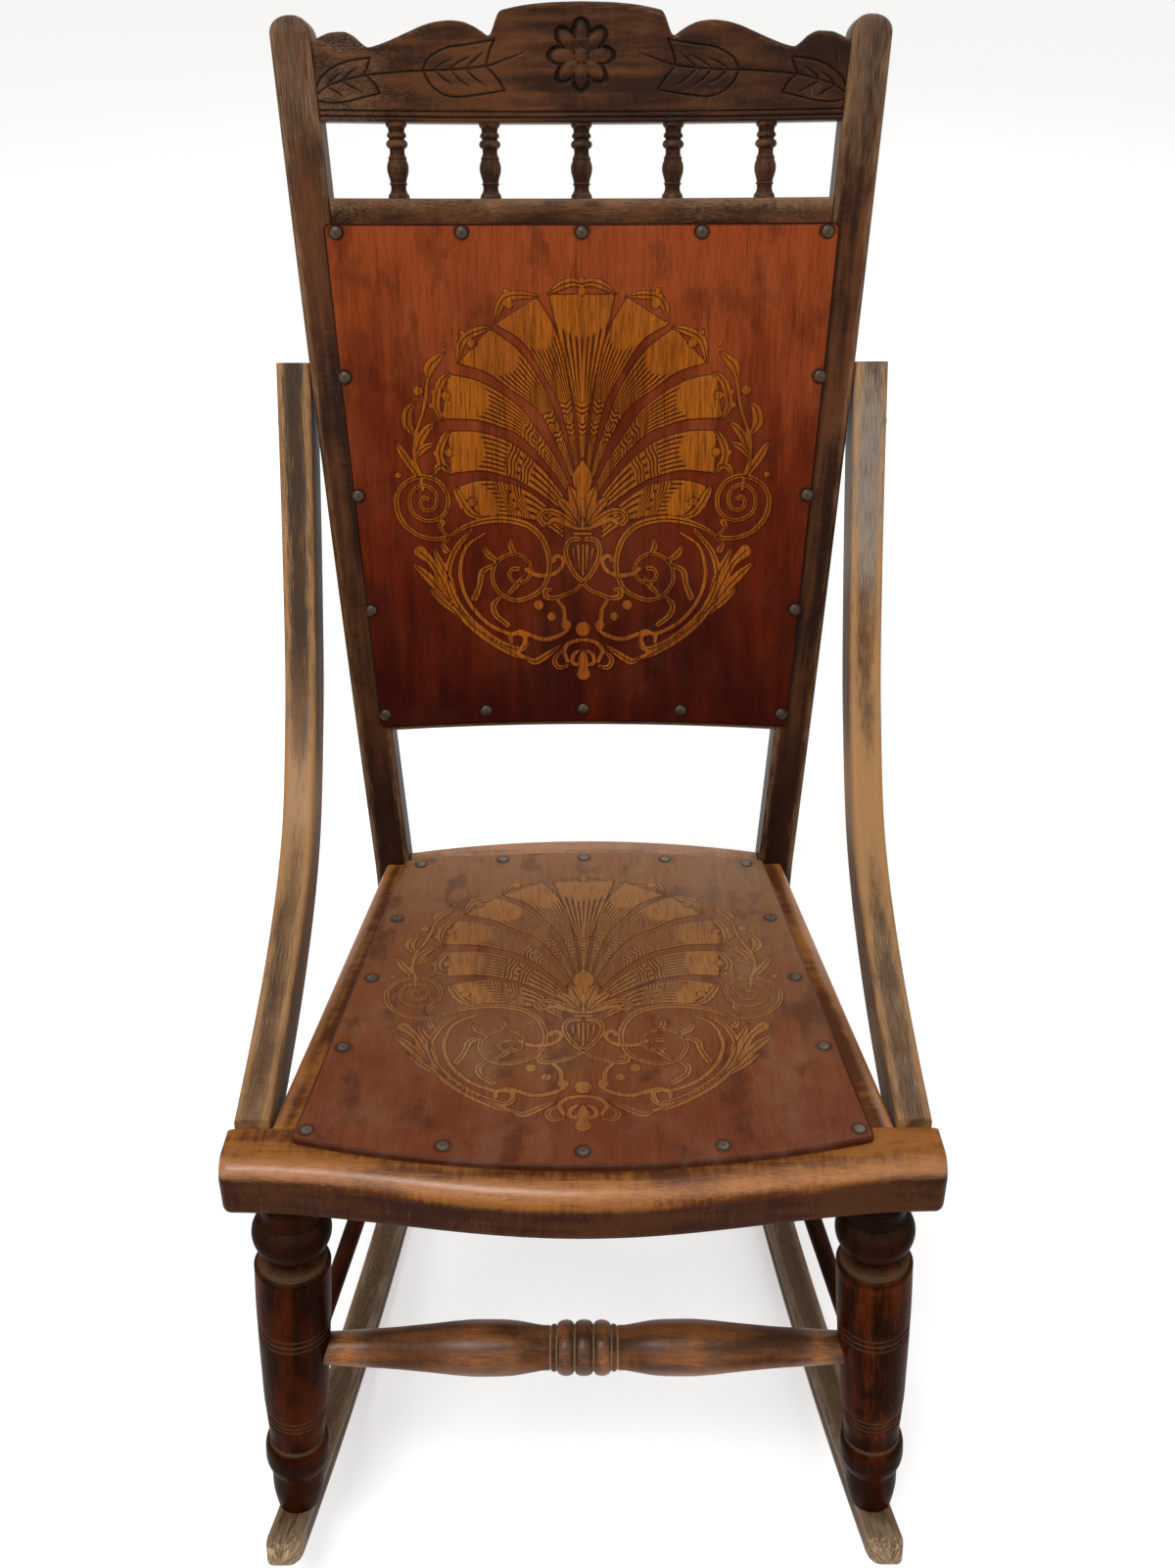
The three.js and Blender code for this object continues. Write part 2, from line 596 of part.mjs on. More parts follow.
function backPanelHalf(height) {
  const bottomHalf = postInner(BACK_PANEL_BOTTOM) + BACK_PANEL_LAP_BOTTOM;
  const topHalf = postInner(BACK_PANEL_TOP) + BACK_PANEL_LAP_TOP;
  const share = (height - BACK_PANEL_BOTTOM) / (BACK_PANEL_TOP - BACK_PANEL_BOTTOM);
  return THREE.MathUtils.lerp(bottomHalf, topHalf, share);
}

// Front face of the back panel: flat over the posts, hollowed between them
function backPanelFace(x, height) {
  const inner = postInner(height) - CLEARANCE;
  const hollow = Math.abs(x) < inner ? hollowAt(x / inner, height) : 0;
  return hollow - PANEL_THICKNESS - CLEARANCE;
}

// Front of the panel under the foremost edge of a nail's head
function backNailSeat(x, height) {
  const reach = [-BACK_NAIL_RADIUS, 0, BACK_NAIL_RADIUS];
  return Math.min(...reach.map((step) => backPanelFace(x + step, height))) - CLEARANCE;
}

// Section of the panel from its bottom to its top, both cut back by a length
function backPanelRing(placeX, hollow, cut) {
  const bottom = BACK_PANEL_BOTTOM + cut;
  const top = BACK_PANEL_TOP - cut;
  const point = (y, z) => new THREE.Vector3(placeX(z), hollow(z) - PANEL_THICKNESS - CLEARANCE + y, z);
  return [
    point(PANEL_CHAMFER, bottom), point(0, bottom + PANEL_CHAMFER),
    point(0, top - PANEL_CHAMFER), point(PANEL_CHAMFER, top),
    point(PANEL_THICKNESS, top), point(PANEL_THICKNESS, bottom),
  ];
}

function backPanelBlank() {
  const hollowed = Array.from({ length: BACK_RAIL_STEPS + 1 }, (_, i) => {
    const share = 2 * i / BACK_RAIL_STEPS - 1;
    return backPanelRing((z) => share * (postInner(z) - CLEARANCE), (z) => hollowAt(share, z), 0);
  });
  const flat = () => 0;
  const corner = (side, inset, cut) => backPanelRing((z) => side * (backPanelHalf(z) - inset), flat, cut);
  const halfway = BACK_PANEL_CORNER * (1 - Math.SQRT1_2);
  const edge = (side) => [
    corner(side, 0, BACK_PANEL_CORNER),
    corner(side, halfway, halfway),
    corner(side, BACK_PANEL_CORNER, 0),
  ];
  return loft([...edge(-1), ...hollowed, ...edge(1).reverse()]);
}

const backSideNailShares = [0.255, 0.49, 0.72];
const backRowNailShares = [-1, -0.495, 0, 0.495, 1];

function backNailPlaces() {
  const row = (height, corner) => backRowNailShares.map((share) => [
    share * (backPanelHalf(height) - corner), height]);
  const sides = backSideNailShares.flatMap((share) => {
    const height = THREE.MathUtils.lerp(BACK_PANEL_BOTTOM, BACK_PANEL_TOP, share);
    return [-1, 1].map((side) => [side * (backPanelHalf(height) - BACK_NAIL_SIDE_MARGIN), height]);
  });
  const topRow = row(BACK_PANEL_TOP - BACK_NAIL_TOP_MARGIN, BACK_NAIL_TOP_CORNER);
  const bottomRow = row(BACK_PANEL_BOTTOM + BACK_NAIL_BOTTOM_MARGIN, BACK_NAIL_BOTTOM_CORNER);
  return [...topRow, ...sides, ...bottomRow];
}

function backNailHoles() {
  const radius = NAIL_SHANK_RADIUS + CLEARANCE;
  return backNailPlaces().map(([x, z]) => {
    const face = backPanelFace(x, z);
    return rod(
      new THREE.Vector3(x, face - OVERRUN, z),
      new THREE.Vector3(x, face + NAIL_LENGTH + CLEARANCE, z),
      radius, NAIL_HOLE_SIDES);
  });
}

// Spindle as [share of its visible length, share of its widest radius], from the bottom up
const spindleShares = [
  [0, 0.97], [0.06, 0.71], [0.16, 0.67], [0.27, 0.94], [0.38, 0.98], [0.52, 0.71], [0.64, 0.69],
  [0.735, 0.9], [0.82, 0.71], [0.92, 0.76], [1, 0.97],
];

function spindlePlaces() {
  return Array.from({ length: SPINDLE_COUNT }, (_, i) => (i - (SPINDLE_COUNT - 1) / 2) * SPINDLE_PITCH);
}

// Middle of a spindle, halfway through the rail below it and the crest above it
function spindleEnd(x, height) {
  const depth = hollowAt(x / (postInner(height) - CLEARANCE), height) + BACK_RAIL_THICKNESS / 2;
  return new THREE.Vector3(x, depth, height);
}

function spindle(x) {
  const bottom = spindleEnd(x, UPPER_RAIL_TOP + CLEARANCE);
  const top = spindleEnd(x, CREST_BOTTOM - CLEARANCE);
  const body = turned(bottom, top, SPINDLE_RADIUS, spindleShares, SPINDLE_SIDES);
  const tenon = rod(past(top, bottom, SPINDLE_TENON_LENGTH), past(bottom, top, SPINDLE_TENON_LENGTH),
    SPINDLE_TENON_RADIUS, HOLE_SIDES);
  return joined([body, tenon]);
}

function spindleHoles() {
  return spindlePlaces().map((x) => {
    const bottom = spindleEnd(x, UPPER_RAIL_TOP);
    const top = spindleEnd(x, CREST_BOTTOM);
    const depth = SPINDLE_TENON_LENGTH + 2 * CLEARANCE;
    return rod(past(top, bottom, depth), past(bottom, top, depth),
      SPINDLE_TENON_RADIUS + 2 * CLEARANCE, HOLE_SIDES);
  });
}

// Change from the back's frame to the seat's
const backFrame = new THREE.Matrix4()
  .makeRotationX(-BACK_LEAN)
  .setPosition(0, POST_FRONT, RAIL_TOP);

function inSeatFrame(geometry) {
  return geometry.clone().applyMatrix4(backFrame);
}

// Side stays, in the seat's frame

// Front edge of a stay seen from the side, as [share of the reach, share of the rise]
const stayShares = [
  [0, 0], [0.1325, 0.0325], [0.2725, 0.073], [0.395, 0.12], [0.502, 0.175], [0.594, 0.246],
  [0.693, 0.371], [0.772, 0.496], [0.892, 0.747], [1, 1],
];
const STAY_STEPS = 18;

function stayPath() {
  const points = stayShares.map(([reach, rise]) => new THREE.Vector2(
    -FRONT_RAIL_BACK + CLEARANCE + reach * STAY_REACH,
    STAY_STAND + rise * STAY_RISE));
  return new THREE.SplineCurve(points);
}

// Outer face of a post at a height in the seat's frame
function postOuter(z) {
  return postCentre((z - RAIL_TOP) / Math.cos(BACK_LEAN)) + POST_WIDTH / 2;
}

function stayInner(share) {
  const foot = SIDE_RAIL_SPREAD + CLEARANCE;
  const top = postOuter(STAY_STAND + STAY_RISE) + CLEARANCE;
  return THREE.MathUtils.lerp(foot, top, share);
}

const stayEdgeShares = [0, 0.3, 0.75, 1, 1, 1, 0.75, 0.3, 0];

function stayEdge(share) {
  const place = share * (stayEdgeShares.length - 1);
  const low = Math.min(Math.floor(place), stayEdgeShares.length - 2);
  const between = THREE.MathUtils.lerp(stayEdgeShares[low], stayEdgeShares[low + 1], place - low);
  return CLEARANCE + STAY_EDGE * between;
}

function stayBlank() {
  const path = stayPath();
  const rings = Array.from({ length: STAY_STEPS + 1 }, (_, i) => {
    const share = i / STAY_STEPS;
    const point = path.getPointAt(share);
    const tangent = path.getTangentAt(share);
    const level = i === 0;
    const deep = level ? new THREE.Vector3(0, 0, -1) : new THREE.Vector3(0, tangent.y, -tangent.x);
    const rise = (point.y - STAY_STAND) / STAY_RISE;
    const inner = stayInner(rise);
    const outer = inner + THREE.MathUtils.lerp(STAY_THICKNESS_FOOT, STAY_THICKNESS_TOP, rise);
    const edge = stayEdge(share);
    const place = (x, depth) => new THREE.Vector3(x, point.x, point.y).addScaledVector(deep, depth);
    return [
      place(inner, edge), place(inner + edge, 0), place(outer - CLEARANCE, 0), place(outer, CLEARANCE),
      place(outer, STAY_DEPTH), place(inner, STAY_DEPTH),
    ];
  });
  return loft(rings);
}

// Screw through the stay's top into the post
function screwPlace() {
  const path = stayPath();
  const top = path.getPointAt(1);
  const tangent = path.getTangentAt(1);
  const middle = new THREE.Vector2(tangent.y, -tangent.x).multiplyScalar(STAY_DEPTH / 2);
  const place = top.addScaledVector(tangent, -SCREW_DROP).add(middle);
  const rise = (place.y - STAY_STAND) / STAY_RISE;
  const thickness = THREE.MathUtils.lerp(STAY_THICKNESS_FOOT, STAY_THICKNESS_TOP, rise);
  return new THREE.Vector3(stayInner(rise) + thickness, place.x, place.y);
}

function screwHole() {
  const face = screwPlace();
  const outside = face.clone().setX(face.x + OVERRUN);
  const inside = face.clone().setX(face.x - SCREW_LENGTH - CLEARANCE);
  return rod(outside, inside, SCREW_SHANK_RADIUS + CLEARANCE, HOLE_SIDES);
}

// Screw head as [share of its rise, share of its radius]
const screwHeadShares = [[0, 1], [0.5, 0.85], [1, 0.4]];

function screw() {
  const face = screwPlace();
  const seat = face.clone().setX(face.x + 2 * CLEARANCE);
  const crown = face.clone().setX(seat.x + SCREW_HEAD_RISE);
  const head = turned(seat, crown, SCREW_HEAD_RADIUS, screwHeadShares, SPINDLE_SIDES);
  const inside = face.clone().setX(face.x - SCREW_LENGTH);
  const shank = rod(seat.clone().setX(seat.x + CLEARANCE), inside, SCREW_SHANK_RADIUS, HOLE_SIDES);
  return joined([head, shank]);
}

// Front legs and stretchers, in the seat's frame

// Leg as [share of its length from the top, share of its widest radius]
const frontLegShares = [
  [0, 0.79], [0.046, 0.79], [0.052, 0.73], [0.06, 0.93], [0.08, 1], [0.1, 1], [0.123, 0.95],
  [0.148, 0.8], [0.168, 0.6], [0.179, 0.54], [0.19, 0.56], [0.203, 0.85], [0.209, 0.985], [0.223, 0.99],
  [0.3, 0.98], [0.42, 0.96], [0.431, 0.93], [0.442, 0.95], [0.53, 0.92], [0.6, 0.885], [0.667, 0.825],
  [0.7, 0.8], [0.708, 0.77], [0.716, 0.785], [0.762, 0.76], [0.772, 0.84], [0.79, 0.885], [0.82, 0.885],
  [0.84, 0.86], [0.856, 0.815], [0.872, 0.735], [0.93, 0.715], [0.965, 0.675], [1, 0.6],
];
const TENON_SHARE = 0.1; // how far inside a leg its tenons start
const COLLAR_SHARE = 0.02; // and the collar under the rail

function frontLegEnds() {
  const top = new THREE.Vector3(FRONT_LEG_SPREAD, FRONT_LEG_Y, FRONT_LEG_TOP);
  const foot = new THREE.Vector3(FRONT_FOOT_X, FRONT_FOOT_Y, FRONT_FOOT_Z);
  return { top, foot };
}

// Place in a front leg's middle at a distance below the front rail
function inFrontLeg(drop) {
  const { top, foot } = frontLegEnds();
  return along(top, foot, drop / FRONT_LEG_LENGTH);
}

// Place in a rear leg's middle at a distance below the seat frame's top
function inRearLeg(drop) {
  const y = POST_FRONT + Math.tan(REAR_LEG_RAKE) * drop + POST_DEPTH / 2;
  return new THREE.Vector3(POST_SPREAD_SEAT, y, RAIL_TOP - drop);
}

function frontTenon(extra) {
  const { top, foot } = frontLegEnds();
  return rod(along(top, foot, TENON_SHARE), past(foot, top, FRONT_LEG_TENON_LENGTH + extra),
    FRONT_LEG_TENON_RADIUS + extra, HOLE_SIDES);
}

function frontFootTenon(extra) {
  const { top, foot } = frontLegEnds();
  return rod(along(foot, top, TENON_SHARE), past(top, foot, FOOT_TENON_LENGTH + extra),
    FOOT_TENON_RADIUS + extra, HOLE_SIDES);
}

// Middle of a rear leg where it meets the rocker
function rearFoot() {
  const place = rearFootFront();
  place.y += (POST_DEPTH - REAR_LEG_TAPER) / 2;
  return place.applyMatrix4(backFrame);
}

function rearFootTenon(extra) {
  const foot = rearFoot();
  const up = new THREE.Vector3(0, foot.y - ROCKER_CENTRE, foot.z - ROCKER_AXIS_Z).normalize();
  const inside = foot.clone().addScaledVector(up, -FOOT_TENON_LENGTH);
  const end = foot.clone().addScaledVector(up, FOOT_TENON_LENGTH + extra);
  return rod(inside, end, FOOT_TENON_RADIUS + extra, HOLE_SIDES);
}

// Leg with spare length at both ends, to be trimmed level with the rail and round the rocker
function frontLegBlank() {
  const { top, foot } = frontLegEnds();
  const leg = turned(top, foot, FRONT_LEG_RADIUS, frontLegShares, LEG_SIDES);
  const collar = FRONT_LEG_RADIUS * frontLegShares[0][1];
  const spare = rod(along(top, foot, COLLAR_SHARE), past(foot, top, OVERRUN), collar, LEG_SIDES);
  return joined([leg, spare]);
}

// Block that stands in for the front rail when the leg's top is trimmed
function railTrim() {
  const size = FRONT_LEG_LENGTH / 2;
  const block = new THREE.BoxGeometry(size, size, size);
  block.translate(FRONT_LEG_SPREAD, FRONT_LEG_Y, FRONT_LEG_TOP + size / 2);
  return block;
}

// Half a stretcher from its end to its middle: a long swelling, a neck, and rings at the middle
const frontStretcherHalfShares = [
  [0, 0.6], [0.2, 0.7], [0.3, 0.77], [0.43, 0.885], [0.52, 0.975], [0.59, 1], [0.67, 0.985],
  [0.73, 0.95], [0.785, 0.86], [0.845, 0.745], [0.88, 0.79], [0.9, 0.9], [0.915, 0.97],
  [0.935, 0.97], [0.955, 0.85], [0.965, 0.85], [0.985, 0.97], [1, 0.98],
];
const plainStretcherHalfShares = [[0, 0.8], [0.5, 0.94], [1, 1]];

function bothHalves(halfShares) {
  const first = halfShares.map(([place, width]) => [place / 2, width]);
  const second = first.slice(0, -1).map(([place, width]) => [1 - place, width]).reverse();
  return [...first, ...second];
}

// Stretcher between the middles of two legs. Its ends run straight on into their sockets.
function stretcher({ from, to, startGap, endGap, radius, halfShares }) {
  const length = from.distanceTo(to);
  const start = along(from, to, (startGap + OVERRUN) / length);
  const end = along(to, from, (endGap + OVERRUN) / length);
  const body = turned(start, end, radius, bothHalves(halfShares), STRETCHER_SIDES);
  return joined([body, socketRod({ from, to, startGap, endGap, radius, halfShares }, 0)]);
}

// Rod through both ends of a stretcher, widened by a length when it cuts the sockets
function socketRod({ from, to, startGap, endGap, radius, halfShares }, extra) {
  const length = from.distanceTo(to);
  const depth = STRETCHER_SOCKET + extra;
  const start = along(from, to, (startGap - depth) / length);
  const end = along(to, from, (endGap - depth) / length);
  return rod(start, end, radius * halfShares[0][1] + extra, STRETCHER_SIDES);
}

function legRadiusAt(drop) {
  const share = drop / FRONT_LEG_LENGTH;
  const next = frontLegShares.findIndex(([place]) => place >= share);
  const [lowPlace, lowWidth] = frontLegShares[next - 1];
  const [highPlace, highWidth] = frontLegShares[next];
  return FRONT_LEG_RADIUS * THREE.MathUtils.mapLinear(share, lowPlace, highPlace, lowWidth, highWidth);
}

function frontStretcherPlan() {
  const to = inFrontLeg(FRONT_STRETCHER_DROP);
  const gap = legRadiusAt(FRONT_STRETCHER_DROP);
  const from = to.clone().setX(-to.x);
  const shape = { radius: FRONT_STRETCHER_RADIUS, halfShares: frontStretcherHalfShares };
  return { from, to, startGap: gap, endGap: gap, ...shape };
}

function sideStretcherPlan() {
  const from = inFrontLeg(SIDE_STRETCHER_FRONT_DROP);
  const to = inRearLeg(SIDE_STRETCHER_REAR_DROP + SIDE_RAIL_THICKNESS);
  const startGap = legRadiusAt(SIDE_STRETCHER_FRONT_DROP);
  const shape = { radius: SIDE_STRETCHER_RADIUS, halfShares: plainStretcherHalfShares };
  return { from, to, startGap, endGap: POST_DEPTH / 2, ...shape };
}

function rearStretcherPlan() {
  const to = inRearLeg(REAR_STRETCHER_DROP + SIDE_RAIL_THICKNESS);
  const from = to.clone().setX(-to.x);
  const gap = POST_WIDTH / 2;
  const shape = { radius: REAR_STRETCHER_RADIUS, halfShares: plainStretcherHalfShares };
  return { from, to, startGap: gap, endGap: gap, ...shape };
}

function stretcherSockets() {
  const plans = [frontStretcherPlan(), sideStretcherPlan(), rearStretcherPlan()];
  return plans.map((plan) => socketRod(plan, 2 * CLEARANCE));
}

// Rockers, in the seat's frame

const ROCKER_STEPS_FRONT = 10;
const ROCKER_STEPS_REAR = 11;
const rockerTipShares = [0.3, 0.6, 0.85, 1];
const TIP_UNDER_SHARE = 0.3; // of its height, what a tip loses from below
const TIP_OVER_SHARE = 0.45; // and from above

// Middle of a rocker seen from above, on the line through the feet of its two legs
function rockerMiddle(y) {
  const rear = rearFoot();
  const share = (y - FRONT_FOOT_Y) / (rear.y - FRONT_FOOT_Y);
  return THREE.MathUtils.lerp(FRONT_FOOT_X, rear.x, share);
}

function rockerRing(arc, tipShare) {
  const angle = REST_TILT + arc / ROCKER_RADIUS;
  const fall = 1 - Math.sqrt(1 - tipShare ** 2);
  const width = THREE.MathUtils.lerp(ROCKER_WIDTH, ROCKER_TIP_WIDTH, tipShare);
  const low = ROCKER_RADIUS - fall * ROCKER_HEIGHT * TIP_UNDER_SHARE;
  const high = ROCKER_TOP_RADIUS + fall * ROCKER_HEIGHT * TIP_OVER_SHARE;
  const place = (side, radius) => {
    const y = ROCKER_CENTRE + Math.sin(angle) * radius;
    const z = ROCKER_AXIS_Z - Math.cos(angle) * radius;
    return new THREE.Vector3(rockerMiddle(y) + side, y, z);
  };
  const edge = ROCKER_EDGE * (1 - fall * TIP_OVER_SHARE);
  return [
    place(-width / 2, low), place(-width / 2, high + edge), place(-width / 2 + edge, high),
    place(width / 2 - edge, high), place(width / 2, high + edge), place(width / 2, low),
  ];
}

function rockerBlank() {
  const flat = ROCKER_FLAT / 2;
  const frontBody = ROCKER_FRONT - ROCKER_TIP_ROUND;
  const rearBody = ROCKER_REAR - ROCKER_TIP_ROUND;
  const rings = [];
  for (const share of [...rockerTipShares].reverse()) {
    rings.push(rockerRing(-frontBody - share * ROCKER_TIP_ROUND, share));
  }
  for (let i = 0; i <= ROCKER_STEPS_FRONT; i += 1) {
    rings.push(rockerRing(THREE.MathUtils.lerp(-frontBody, -flat, i / ROCKER_STEPS_FRONT), 0));
  }
  for (let i = 0; i <= ROCKER_STEPS_REAR; i += 1) {
    rings.push(rockerRing(THREE.MathUtils.lerp(flat, rearBody, i / ROCKER_STEPS_REAR), 0));
  }
  for (const share of rockerTipShares) {
    rings.push(rockerRing(rearBody + share * ROCKER_TIP_ROUND, share));
  }
  return loft(rings);
}

// Block that fills the rocker's place and all below it, used to trim the legs' feet
const TRIM_STEPS = 30;

function rockerTrim() {
  const radius = ROCKER_TOP_RADIUS - CLEARANCE;
  const reach = ROCKER_REAR + OVERRUN;
  const rings = Array.from({ length: TRIM_STEPS + 1 }, (_, i) => {
    const arc = THREE.MathUtils.lerp(-reach, reach, i / TRIM_STEPS);
    const angle = REST_TILT + arc / ROCKER_RADIUS;
    const y = ROCKER_CENTRE + Math.sin(angle) * radius;
    const z = ROCKER_AXIS_Z - Math.cos(angle) * radius;
    const out = new THREE.Vector3(0, Math.sin(angle), -Math.cos(angle)).multiplyScalar(ROCKER_HEIGHT * 2);
    const wide = FRONT_RAIL_LENGTH;
    const corner = (x, far) => new THREE.Vector3(x, y, z).addScaledVector(out, far);
    return [corner(0, 0), corner(wide, 0), corner(wide, 1), corner(0, 1)];
  });
  return loft(rings);
}

// Assembly

const chair = new THREE.Group();
const back = new THREE.Group();
back.rotation.x = -BACK_LEAN;
back.position.set(0, POST_FRONT, RAIL_TOP);
chair.add(back);

function add(group, name, geometry, material) {
  const mesh = new THREE.Mesh(geometry, material);
  mesh.name = name;
  group.add(mesh);
  return mesh;
}

function addPair(group, name, geometry, material) {
  add(group, `${name}_left`, geometry, material);
  add(group, `${name}_right`, mirrored(geometry), material);
}

function addSeat() {
  const nailHoles = seatNailHoles();
  const mortise = frontTenon(2 * CLEARANCE);
  const frontHoles = [...nailHoles, mortise, mirrored(mortise)];
  add(chair, 'front_rail', carve(frontRailBlank(), frontHoles), railStain);
  addPair(chair, 'side_rail', carve(sideRailBlank(), nailHoles), greyStain);
  add(chair, 'rear_rail', carve(rearRailBlank(), nailHoles), greyStain);
  add(chair, 'seat_panel', carve(seatPanelBlank(), nailHoles), seatBoard);
  const geometry = nail(SEAT_NAIL_RADIUS, SEAT_NAIL_HEAD);
  seatNailPlaces().forEach(([x, y], i) => {
    const mesh = add(chair, `seat_nail_${i + 1}`, geometry, oldSteel);
    mesh.position.set(x, y, -SEAT_NAIL_HEAD);
  });
}

function addBack() {
  const nailHoles = backNailHoles();
  const spindleCuts = spindleHoles();
  add(back, 'crest_rail', carve(crestRail(), spindleCuts), darkStain);
  const upper = backRail(UPPER_RAIL_TOP - UPPER_RAIL_HEIGHT, UPPER_RAIL_TOP, BACK_RAIL_THICKNESS);
  add(back, 'upper_back_rail', carve(upper, [...nailHoles, ...spindleCuts]), darkStain);
  const lower = backRail(LOWER_RAIL_BOTTOM, LOWER_RAIL_BOTTOM + LOWER_RAIL_HEIGHT, BACK_RAIL_THICKNESS);
  add(back, 'lower_back_rail', carve(lower, nailHoles), darkStain);
  add(back, 'back_panel', carve(backPanelBlank(), nailHoles), backBoard);
  spindlePlaces().forEach((x, i) => add(back, `spindle_${i + 1}`, spindle(x), darkStain));
  const geometry = nail(BACK_NAIL_RADIUS, BACK_NAIL_RISE);
  backNailPlaces().forEach(([x, z], i) => {
    const mesh = add(back, `back_nail_${i + 1}`, geometry, nailBrass);
    mesh.position.set(x, backNailSeat(x, z), z);
    mesh.rotation.x = Math.PI / 2;
  });
}

function addPosts() {
  const trimmed = carve(inSeatFrame(postBlank()), [rockerTrim()]);
  const withTenon = joined([trimmed, rearFootTenon(0)]);
  const holes = [...backNailHoles().map(inSeatFrame), screwHole(), ...stretcherSockets()];
  addPair(chair, 'back_post', carve(withTenon, holes), darkStain);
}

function addStays() {
  addPair(chair, 'side_stay', carve(stayBlank(), [screwHole()]), greyStain);
  addPair(chair, 'stay_screw', screw(), oldSteel);
}

function addFrontLegs() {
  const trimmed = carve(frontLegBlank(), [rockerTrim(), railTrim()]);
  const leg = joined([trimmed, frontTenon(0), frontFootTenon(0)]);
  addPair(chair, 'front_leg', carve(leg, stretcherSockets()), legStain);
}

function addStretchers() {
  add(chair, 'front_stretcher', stretcher(frontStretcherPlan()), legStain);
  addPair(chair, 'side_stretcher', stretcher(sideStretcherPlan()), greyStain);
  add(chair, 'rear_stretcher', stretcher(rearStretcherPlan()), greyStain);
}

function addRockers() {
  const holes = [frontFootTenon(2 * CLEARANCE), rearFootTenon(2 * CLEARANCE)];
  addPair(chair, 'rocker', carve(rockerBlank(), holes), dustyWood);
}

addSeat();
addBack();
addPosts();
addStays();
addFrontLegs();
addStretchers();
addRockers();

// At rest the seat slopes back, and the rockers' worn flats lie on the floor
const rockingChair = new THREE.Group();
chair.rotation.x = -REST_TILT;
rockingChair.add(chair);
rockingChair.updateMatrixWorld(true);
const bounds = new THREE.Box3().setFromObject(rockingChair, true);
const middle = bounds.getCenter(new THREE.Vector3());
chair.position.set(-middle.x, -middle.y, -bounds.min.z);

export default rockingChair;
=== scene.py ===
"""A low armless rocking chair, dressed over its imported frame.

The chair stands on two bow rockers. Its seat and its back are thin pressed boards, held by rows of
nails and stamped with one ornament: a shell of long plumes over scrolls, leaves and beads.

Every shape is worked out with numpy in millimetres, in the chair's own tilted planes, and is then
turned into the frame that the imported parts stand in.
"""
import logging
import math
from dataclasses import dataclass, field
from enum import Enum
from functools import partial

import bpy
import numpy as np
from mathutils import Matrix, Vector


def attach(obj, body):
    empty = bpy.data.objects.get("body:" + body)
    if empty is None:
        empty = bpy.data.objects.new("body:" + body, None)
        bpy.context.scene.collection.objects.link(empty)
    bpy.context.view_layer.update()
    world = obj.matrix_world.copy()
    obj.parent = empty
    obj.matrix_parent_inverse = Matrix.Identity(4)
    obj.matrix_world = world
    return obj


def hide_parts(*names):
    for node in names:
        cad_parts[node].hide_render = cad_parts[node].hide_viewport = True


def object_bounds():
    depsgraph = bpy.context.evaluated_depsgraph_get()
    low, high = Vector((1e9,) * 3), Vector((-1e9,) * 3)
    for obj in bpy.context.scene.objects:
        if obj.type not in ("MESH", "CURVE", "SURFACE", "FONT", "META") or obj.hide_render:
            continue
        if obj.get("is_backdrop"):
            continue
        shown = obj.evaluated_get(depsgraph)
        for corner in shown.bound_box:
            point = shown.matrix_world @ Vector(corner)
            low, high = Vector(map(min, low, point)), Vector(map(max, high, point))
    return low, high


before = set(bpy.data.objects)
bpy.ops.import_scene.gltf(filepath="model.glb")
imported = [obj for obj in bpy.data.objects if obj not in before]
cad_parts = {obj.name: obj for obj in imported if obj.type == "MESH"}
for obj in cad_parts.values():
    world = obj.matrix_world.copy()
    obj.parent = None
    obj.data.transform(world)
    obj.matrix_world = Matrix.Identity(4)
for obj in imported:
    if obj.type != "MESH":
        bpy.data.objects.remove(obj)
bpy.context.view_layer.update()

LOG = logging.getLogger("rocker")
Array = np.ndarray

SEAT_TILT = math.radians(10.0)  # how far the seat slopes back at rest
BACK_LEAN = math.radians(8.4)  # the back, from square to the seat
SEAT_ORIGIN = np.array([0.0, -105.1733, 376.9518])  # middle of the seat, in the row frame
POST_FRONT = 190.0  # from the middle of the seat back to the posts' front faces
RAIL_TOP = -5.3  # top of the seat frame, below the seat panel's face
GAP = 0.3  # left between pieces that touch
BOARD = 5.0  # thickness of both pressed panels
SEAT_BOARD = (-151.0, 188.5)  # front and rear edges of the seat panel, at its sides
SEAT_BOARD_HALVES = (188.2, 151.75)  # half its width at those edges
SEAT_BOARD_BOWS = (26.0, 13.0)  # how far the edges bow out in the middle
RUBBED_REACH = 3.5  # how far in from an edge hands have rubbed the stain
FAR = 9.0  # stands for far outside a line of the ornament
RELIEF_REACH = 3.0  # no place counts as further inside or outside a raised form than this


class Plane(Enum):
    """The two tilted planes that pieces are drawn in."""

    SEAT = "seat"
    BACK = "back"


def leaned(points: Array, angle: float, shift: Array) -> Array:
    """Turn points about the x axis and shift them: y' = y cos a + z sin a, z' = z cos a - y sin a.

    Args:
        points: Places, with x, y and z last.
        angle: How far to lean, in radians.
        shift: Added after the turn.

    Returns:
        The moved places, in the same arrangement.
    """
    x, y, z = points[..., 0], points[..., 1], points[..., 2]
    cos, sin = math.cos(angle), math.sin(angle)
    return np.stack([x, y * cos + z * sin, z * cos - y * sin], axis=-1) + shift


def to_seat(points: Array, plane: Plane) -> Array:
    """Places of a plane, in the seat's own frame."""
    if plane is Plane.BACK:
        return leaned(points, BACK_LEAN, np.array([0.0, POST_FRONT, RAIL_TOP]))
    return points


def to_row(points: Array, plane: Plane) -> Array:
    """Places of a plane, in the row frame and in metres."""
    return leaned(to_seat(points, plane), SEAT_TILT, SEAT_ORIGIN) / 1000.0


# Curves


